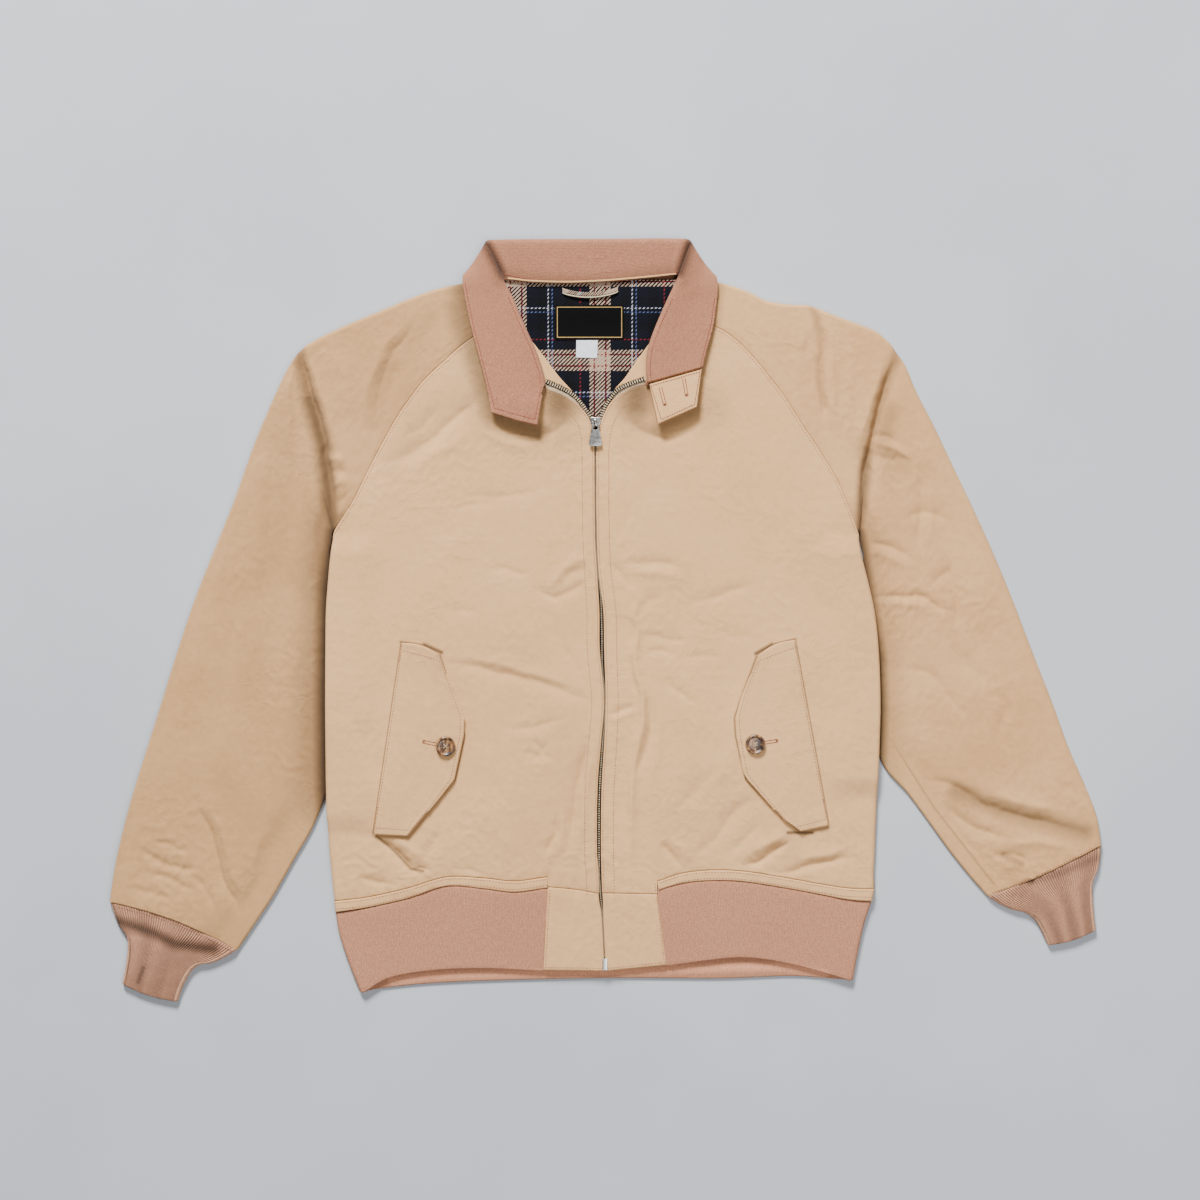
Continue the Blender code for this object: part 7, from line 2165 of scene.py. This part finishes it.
@dataclass
class Shell:
    """The cotton shell: back, fronts, welts, blocks and sleeves."""

    finishes: Finishes
    fronts: list[Front] = field(default_factory=list)
    pieces: list[bpy.types.Object] = field(default_factory=list)
    raglans: list[Array] = field(default_factory=list)
    wrists: list[Array] = field(default_factory=list)

    def build(self) -> None:
        """Make every shell piece."""
        cotton = self.finishes.cotton
        self.add("back", "back_panel", back_grid(), cotton, heart=100.0)
        for side in SIDES:
            front = Front(side)
            self.fronts.append(front)
            sleeve, raglan, wrist = sleeve_grid(side)
            self.raglans.append(raglan)
            self.wrists.append(wrist)
            for node, grid, material, heart in (
                    ("front", front.grid(), self.finishes.front, BELOW),
                    ("hem_welt", front.welt(), cotton, BELOW),
                    ("hem_block", front.block(), cotton, BELOW),
                    ("sleeve", sleeve, self.finishes.sleeves[side.name], 4.0)):
                node = f"{node}_{side.name}"
                self.add(f"{node}_cloth", node, grid, material, heart)

    def add(self, name: str, node: str, grid: Grid, material: bpy.types.Material,
            heart: float) -> None:
        """Make and declare one piece."""
        made = piece(name, grid.clamped(0.0), material, heart)
        self.pieces.append(declare(made, node))


def quad_sheet(corners: Places, rows: int, columns: int) -> tuple[Array, Array, Array]:
    """Plan places over four corners, with the shares down and across."""
    a, b, c, d = (np.array(p, dtype=float) for p in corners)
    t, u = np.linspace(0, 1, rows)[:, None, None], np.linspace(0, 1, columns)[None, :, None]
    return mix(mix(a, b, u), mix(d, c, u), t), t[..., 0], u[..., 0]


@dataclass
class Knits:
    """Collar, cuffs and waist rib."""

    finishes: Finishes
    tops: Surface = field(init=False)

    def build(self) -> None:
        """Make the knit pieces and the collar's tab."""
        f = self.finishes
        for side in SIDES:
            node, cuff = f"cuff_{side.name}", cuff_grid(side.cuff).clamped(0)
            declare(piece(f"{node}_knit", cuff, f.cuff, 4.0), node)
        declare(piece("waist_rib_knit", rib_grid().clamped(0), f.rib, 4.0), "waist_rib")
        grid = slab(collar_middle(), KNIT).clamped(0.1)
        collar = declare(piece("collar_knit", grid, f.collar, 12.0), "collar")
        plan, t, u = quad_sheet(TAB_CORNERS, 34, 46)
        z = mix(mix(15.0, 12.9, u ** 1.4), mix(14.8, 13.2, u), t)
        z = z - 0.2 * np.exp(-((u - 0.06) / 0.02) ** 2) - 0.2 * np.exp(-((t - 0.92) / 0.03) ** 2)
        z = z + 0.12 * BODY.crumple(plan[..., 0], plan[..., 1], 7) + 3.4 * t + 2.0 * u * (1 - 0.4 * t)
        tab = np.concatenate([plan, z[..., None]], axis=-1)
        made = piece("collar_tab_cloth", slab(tab, KNIT), f.cotton, 12.0, welded=True)
        self.tops = Surface(collar, declare(made, "collar_tab"))


@dataclass
class Inside:
    """What shows in the throat: lining, facings, neck tape, labels and loop."""

    finishes: Finishes

    def build(self) -> None:
        """Make the inside pieces."""
        f = self.finishes
        self.lining()
        for side in SIDES:
            rows = resample(side.facing, 1.6)
            u = np.linspace(0, 1, 8)
            x, y = straight(rows, np.linalg.norm(rows[:, 2:] - rows[:, :2], axis=1)[:, None] * u)
            z = mix(self.level(x, y) + 1.7, 7.3, u) + 0.1 * BODY.crumple(x, y, 6)
            grid = Grid(lay(x, y, z)).turned("first_column", 0.8, 150, 4, 0.3)
            node = f"facing_{side.name}"
            declare(piece(f"{node}_cloth", grid, f.cotton), node)
        x = np.linspace(508, 676, 90)
        seam = Curve(NECK_SEAM)(x)
        line = np.stack([lay(x, seam - 2.4 + 1.6 * v, 12.6 - 0.2 * v) for v in np.linspace(0, 1, 5)])
        made = piece("neck_tape_cloth", slab(line, 0.8), f.cotton, 12.8, welded=True)
        declare(made, "neck_tape")
        self.patch("neck_label", f.black, NECK_LABEL)
        self.patch("size_label", f.white, SIZE_LABEL)
        self.hanger()

    def lining(self) -> None:
        """The check cloth that shows in the throat."""
        rows = resample(LINING_ROWS, 2.5)
        x, y = straight(rows, (rows[:, 2] - rows[:, 0])[:, None] * np.linspace(0, 1, 76))
        z = self.level(x, y) + 0.35 * BODY.cloth(x, y)
        grid = Grid(lay(x, y, z), lay(x, y))
        declare(piece("lining_cloth", grid, self.finishes.plaid), "lining")

    def hanger(self) -> None:
        """The hanger loop and the piping along its lower edge."""
        t, v = np.linspace(0, 1, 50)[:, None], np.linspace(0, 1, 9)[None, :]
        arch = np.sin(math.pi * t) ** 0.7
        x, y = mix(562.5, 618.0, t) + 0 * v, mix(287.2, 286.0, t) + 5.4 * arch + 5.2 * v
        loop = lay(x, y, self.level(x, y) + 1.2 + 1.4 * arch)
        cut = lay(0 * x + 12.0, 1.7 * (x + y))
        grid = slab(loop, 1.5, cut)
        declare(piece("hanger_loop_cloth", grid, self.finishes.plaid, 9.5), "hanger_loop")
        edge = loop[:, -1] + (0, 0.5, 0.3)
        cord = np.stack([edge + np.array((0, math.cos(a), math.sin(a))) * 0.7
                         for a in np.linspace(0, 2 * math.pi, 9)[:-1]], axis=1)
        grid = Grid(cord, closed=True)
        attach(piece("hanger_loop_piping", grid, self.finishes.piping, 9.5), "jacket")

    def patch(self, node: str, material: bpy.types.Material, corners: Places) -> None:
        """Lay a label on the lining."""
        plan, _, _ = quad_sheet(corners, 14, 26)
        x, y = plan[..., 0], plan[..., 1]
        grid = Grid(lay(x, y, self.level(x, y) + 0.9 + 0.15 * BODY.crumple(x, y, 16)))
        for edge in ("last_row", "last_column", "first_row", "first_column"):
            grid = grid.turned(edge, 0.35, 90, 3, 0.0)
        declare(piece(f"{node}_cloth", grid, material), node)

    @staticmethod
    def level(x: Array, y: Array) -> Array:
        """Top of the lining."""
        return BODY.back_bottom(x, y) + CLOTH + 0.6 + LINING


@dataclass
class Pockets:
    """Flaps and their buttons."""

    finishes: Finishes
    flaps: list[bpy.types.Object] = field(default_factory=list)
    middles: list[Array] = field(default_factory=list)

    def build(self) -> None:
        """Make flaps and buttons."""
        for side in SIDES:
            (x, y), turn = side.button, side.button_turn
            middle = flap_middle(side.flap)
            node = f"pocket_flap_{side.name}"
            made = piece(f"{node}_cloth", slab(middle, CLOTH), self.finishes.cotton, 10.0,
                         welded=True)
            declare(made, node)
            self.middles.append(middle)
            self.flaps.append(made)
            node = f"button_{side.name}"
            base = Surface(made).drop([side.button], 0.25)[0][2]
            declare(make_button(f"{node}_horn", side.button, base, turn, self.finishes.horn), node)
            bars = [np.array([(x + math.cos(way) * at, y + math.sin(way) * at,
                               base + 2.0 + 0.6 * math.cos(at / 3.0 * 1.57))
                              for at in np.linspace(-2.7, 2.7, 9)])
                    for way in (turn + 0.785, turn + 2.356)]
            made = dashes(f"{node}_thread", bars, 0.6, (1.0, 0.8, 1.2), self.finishes.tape)
            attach(made, "jacket")


TEETH_END_Y = 957
SLIDER_PLACE = (595.4, 422.0)
SLIDER_OUTLINE = ((-4.2, -4.5), (4.2, -4.5), (5.2, -3.2), (5.2, 0.5), (3.6, 4.5), (-3.6, 4.5),
                  (-5.2, 0.5), (-5.2, -3.2))
PULL_LEVEL = (422.3, 13.2)      # y and z of the pull's pin
PULL_HALF = ((0.0, -1.0), (2.2, -1.0), (3.4, -0.4), (3.9, 0.8), (3.9, 7.0), (4.4, 9.0), (5.4, 15.0),
             (6.2, 20.0), (6.4, 22.6), (5.9, 23.8), (4.9, 24.2), (0.0, 24.2))
PULL_SLOT = ((0.0, 0.9), (2.0, 0.9), (2.2, 1.4), (2.2, 6.6), (1.4, 7.6), (0.0, 7.8))
PULL_THICKNESS = 1.2


@dataclass
class Zip:
    """Tapes, teeth over dark rows of painted shadow, slider, pull and box."""

    finishes: Finishes

    def build(self) -> None:
        """Make the zip."""
        f = self.finishes
        teeth, throat_teeth = [], []
        for side in SIDES:
            node = f"zip_tape_{side.name}"
            declare(piece(f"{node}_cloth", tape_grid(side), f.tape), node)
            line = evened(resample(side.tape, 1.0)[:, :2], 1.0)
            x, y = line[:, 0], line[:, 1]
            z = BODY.under_front(x, y) + 0.2 + throat_lift(y)
            throat_teeth.append(np.column_stack([beside(line, -0.9 * side.out), z]))
            y = np.arange(435.1 if side.left else 434, TEETH_END_Y, 2.0)
            x = BODY.zip_middle(y) + 1.0 * side.out
            teeth.append(lay(x, y, BODY.under_front(x, y) - 0.3))
        # the dark rows beneath the pale teeth are painted shadow of the gap between the tapes and in the
        # throat
        for name, lines, pitch, size, finish in (
                ("zip_gap_painted_shadow", teeth, 1.15, (2.7, 0.9, 1.3), f.painted_shadow),
                ("zip_throat_painted_shadow", throat_teeth, 1.15, (4.4, 0.9, 1.3), f.painted_shadow),
                ("zip_teeth", [teeth[0] + (1.0, 0, 0.6)], 2.3, (1.25, 0.7, 1.1), f.teeth),
                ("zip_throat_teeth", [line + (0, 0, 0.5) for line in throat_teeth], 2.4,
                 (3.2, 0.9, 1.15), f.teeth)):
            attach(dashes(name, lines, pitch, size, finish, boxes=True), "jacket")
        x, y = SLIDER_PLACE
        outline = [(x + a, y + b) for a, b in SLIDER_OUTLINE]
        slider = solid("zip_slider_metal", outline, 10.0, 11.8, f.nickel, 0.5)
        declare(self.joined(slider, self.bail(x, y)), "zip_slider")
        pull = self.pull(x, *PULL_LEVEL)
        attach(pull, "zip_pull")
        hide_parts("zip_pull")
        left, right = (float(BODY.zip_middle(965.0)) + reach for reach in (-2.4, 2.4))
        outline = [(left, 958), (right, 958), (right, 970), (left, 970)]
        declare(solid("zip_box_metal", outline, 9.1, 10.8, f.nickel, 0.5), "zip_box")

    def bail(self, x: float, y: float) -> bpy.types.Object:
        """The arch that holds the pull, as a swept bar."""
        path = spline([(-3.0, 0.6), (-2.9, 2.4), (-1.6, 3.4), (0.6, 3.6), (3.0, 3.4), (4.0, 2.7)], 6)
        ring = [(math.cos(a), math.sin(a)) for a in np.linspace(0, 2 * math.pi, 13)[:-1]]
        way = unit(np.gradient(path, axis=0))
        points = np.array([[(x + 1.1 * c, y + p[0] - w[1] * 0.55 * s, 11.2 + p[1] + w[0] * 0.55 * s)
                            for c, s in ring] for p, w in zip(path, way)])
        caps = [np.repeat(points[i].mean(axis=0)[None], len(ring), axis=0) for i in (0, -1)]
        points = np.concatenate([caps[0][None], points, caps[1][None]])
        return piece("bail", Grid(points, closed=True), self.finishes.nickel, 14.0)

    @staticmethod
    def joined(first: bpy.types.Object, second: bpy.types.Object) -> bpy.types.Object:
        """Join two meshes into the first."""
        gathered = bmesh.new()
        gathered.from_mesh(first.data)
        gathered.from_mesh(second.data)
        gathered.to_mesh(first.data)
        gathered.free()
        bpy.data.objects.remove(second)
        return first

    def pull(self, x: float, y: float, z: float) -> bpy.types.Object:
        """The slotted pull plate."""
        half = PULL_THICKNESS / 2

        def whole(part: Places) -> Places:
            loop = list(part) + [(-a, b) for a, b in part[-2:0:-1]]
            return [(x + a, y + b) for a, b in loop]

        return solid("zip_pull_metal", whole(PULL_HALF), z - half, z + half, self.finishes.nickel,
                     0.3, whole(PULL_SLOT))


COLLAR_STITCHES = (
    ((541.2, 388), (535.2, 420.4), (495.0, 408.7), (489.7, 388), (481.8, 357), (473.4, 325),
     (467.9, 298), (465.6, 284.5)),
    ((540.6, 383), (539.6, 375), (537, 365), (531, 349), (520, 325), (509, 299)),
    ((651, 381), (649.7, 368), (651.9, 349), (660.2, 326), (671.8, 300)),
    ((699.6, 371), (701.6, 359), (704.6, 348), (710.6, 325), (714.1, 300)),
    ((650.8, 386.6), (661.0, 420.3), (694.2, 405), (699.6, 372.4), (650.8, 386.6)),
    ((506, 275), (530, 280), (555, 282.6), (585, 282.6), (612, 280.6), (650, 276.6), (677, 272.6)),
)
TAB_KEYHOLES = (((664.4, 405.0), (660.2, 388.5)), ((686.2, 395.4), (683.4, 379.4)))


def keyhole(eye: tuple[float, float], end: tuple[float, float]) -> tuple[list[Array], Array]:
    """Plan lines of a keyhole buttonhole: two sides and a round eye, and a place in the eye for its
    painted shadow.
    """
    start, way = np.array(eye), unit(np.subtract(end, eye))
    side = np.array((way[1], -way[0]))
    length = math.dist(eye, end)
    lines = [np.array([start + way * at + side * 1.35 * k for at in np.linspace(1.4, length, 9)])
             for k in (-1, 1)]
    angles = np.linspace(0.7, 2 * math.pi - 0.7, 12)
    lines.append(np.array([start + way * 1.7 * math.cos(a) + side * 1.7 * math.sin(a)
                           for a in angles]))
    return lines, np.array([start - way * 0.2, start + way * 0.4])


@dataclass
class Sewing:
    """All visible stitch lines."""

    finishes: Finishes
    shell: Shell
    knits: Knits
    pockets: Pockets

    def build(self) -> None:
        """Lay the stitches on the finished pieces."""
        self.shell_rows()
        keys, eyes, flaps = [], [], []
        for side, flap, middle in zip(SIDES, self.pockets.flaps, self.pockets.middles):
            top = Surface(flap)
            rows, columns = middle.shape[:2]
            c, r = round(0.93 * columns), round(0.03 * rows)
            loop = np.concatenate([middle[r, :c + 1], middle[r:rows - r, c],
                                   middle[rows - 1 - r, c::-1]])
            flaps += [top.drop(evened(line), 0.1) for line in (loop, middle[:, 1])]
            self.keyhole(top, side.keyhole, keys, eyes)
        self.row("flap_stitches", flaps)
        tops, pink = self.knits.tops, self.finishes.pink
        for ends in TAB_KEYHOLES:
            self.keyhole(tops, ends, keys, eyes)
        self.row("keyhole_stitches", keys, 1.0, (1.0, 0.6, 1.2), pink)
        # each eye's hole gets a dark block of painted shadow
        self.row("keyhole_eye_painted_shadow", eyes, 1.2, (1.7, 0.5, 1.7), self.finishes.painted_shadow)
        self.row("collar_stitches", [tops.drop(evened(line), 0.3, 13.0) for line in COLLAR_STITCHES],
                 2.6, (1.0, 0.65, 1.9), pink)

    def shell_rows(self) -> None:
        """The stitches on fronts, blocks and sleeves."""
        lines = []
        for side, front, raglan, wrist in zip(SIDES, self.shell.fronts, self.shell.raglans,
                                              self.shell.wrists):
            edge = evened(front.zip_line)
            placket = beside(edge, -PLACKET * side.out)
            lines.append(placket[(placket[:, 1] > 400) | (np.abs(placket[:, 0] - THROAT_X) > 30)])
            lines.append(beside(edge, -2.0 * side.out))
            hem = evened(front.hem_line)
            (top_x, top_y), (foot_x, foot_y) = side.block_side
            welt = hem[(hem[:, 0] - top_x) * side.out > 1.5]
            lines += [beside(welt, 2.2 * side.out), beside(welt, 8.2 * side.out)]
            lines.append(beside(evened(raglan), 2.4 * side.out))
            inset = -2.2 * side.out
            corner = (foot_x + inset, foot_y - 3)
            zip_foot = (float(BODY.zip_edge(ZIP_FOOT_Y, side.left)) - inset, ZIP_FOOT_Y - 3)
            lines.append(evened([(top_x + inset, top_y + 3), corner]))
            lines.append(evened([corner, zip_foot]))
            lines.append(beside(evened(wrist), 2.0)[3:-3])
        cloth = Surface(*self.shell.pieces)
        self.row("shell_stitches", [cloth.drop(line, 0.1) for line in lines])

    @staticmethod
    def keyhole(top: Surface, ends: Places, keys: list[Array], eyes: list[Array]) -> None:
        """Add a buttonhole's stitches and a dark block of painted shadow in its eye, laid on a surface."""
        lines, eye = keyhole(*ends)
        keys += [top.drop(line, 0.1) for line in lines]
        eyes.append(top.drop(eye, 0.15))

    def row(self, name: str, lines: Sequence[Array], pitch: float = STITCH_PITCH,
            size: tuple[float, float, float] = (0.9, 0.55, 2.1),
            finish: bpy.types.Material | None = None) -> None:
        """One object of stitches."""
        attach(dashes(name, lines, pitch, size, finish or self.finishes.thread), "jacket")


@dataclass(frozen=True)
class Lamp:
    """A soft studio light that points to the origin.

    Attributes:
        name: Light name.
        place: Its place in metres.
        size: Width of its square.
        power: Watts.
    """

    name: str
    place: tuple[float, float, float]
    size: float
    power: float

    def make(self) -> None:
        """Add the light."""
        data = bpy.data.lights.new(self.name, "AREA")
        data.shape, data.size, data.energy = "SQUARE", self.size, self.power
        made = linked(self.name, data)
        made.location = self.place
        made.rotation_euler = (-Vector(self.place)).to_track_quat("-Z", "Y").to_euler()


LAMPS = (
    Lamp("key_soft", (-0.9, 3.5, 2.6), 1.15, 500.0), Lamp("fill_soft", (0.9, -0.7, 2.4), 1.8, 45.0),
)


def make_stage(floor_finish: bpy.types.Material) -> None:
    """Floor, world, lights and the overhead camera."""
    mesh_data = bmesh.new()
    bmesh.ops.create_grid(mesh_data, x_segments=1, y_segments=1, size=3.0)
    mesh = bpy.data.meshes.new("studio_floor")
    mesh_data.to_mesh(mesh)
    mesh_data.free()
    mesh.materials.append(floor_finish)
    linked("studio_floor", mesh)
    world = bpy.data.worlds.new("studio")
    world.use_nodes = True
    background = world.node_tree.nodes["Background"]
    background.inputs["Color"].default_value = (0.9, 0.95, 1.0, 1.0)
    background.inputs["Strength"].default_value = 0.16
    bpy.context.scene.world = world
    for lamp in LAMPS:
        lamp.make()
    data = bpy.data.cameras.new("overhead")
    data.sensor_width, data.lens, data.clip_end = 36.0, 72.0, 20.0
    camera = linked("overhead", data)
    x, y = FRAME_MIDDLE
    camera.location = ((x - ORIGIN_X) / 1000, (ORIGIN_Y - y) / 1000,
                       FRAME_WIDTH * data.lens / data.sensor_width + FOCUS_HEIGHT / 1000)
    bpy.context.scene.camera = camera


def main() -> None:
    """Build the jacket in order and log each piece."""
    logging.basicConfig(level=logging.INFO, format="%(message)s")
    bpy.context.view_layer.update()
    finishes = Finishes()
    shell = Shell(finishes)
    shell.build()
    knits = Knits(finishes)
    knits.build()
    Inside(finishes).build()
    pockets = Pockets(finishes)
    pockets.build()
    Zip(finishes).build()
    Sewing(finishes, shell, knits, pockets).build()
    make_stage(finishes.floor)
    bpy.context.view_layer.update()


if __name__ == "__main__":
    main()
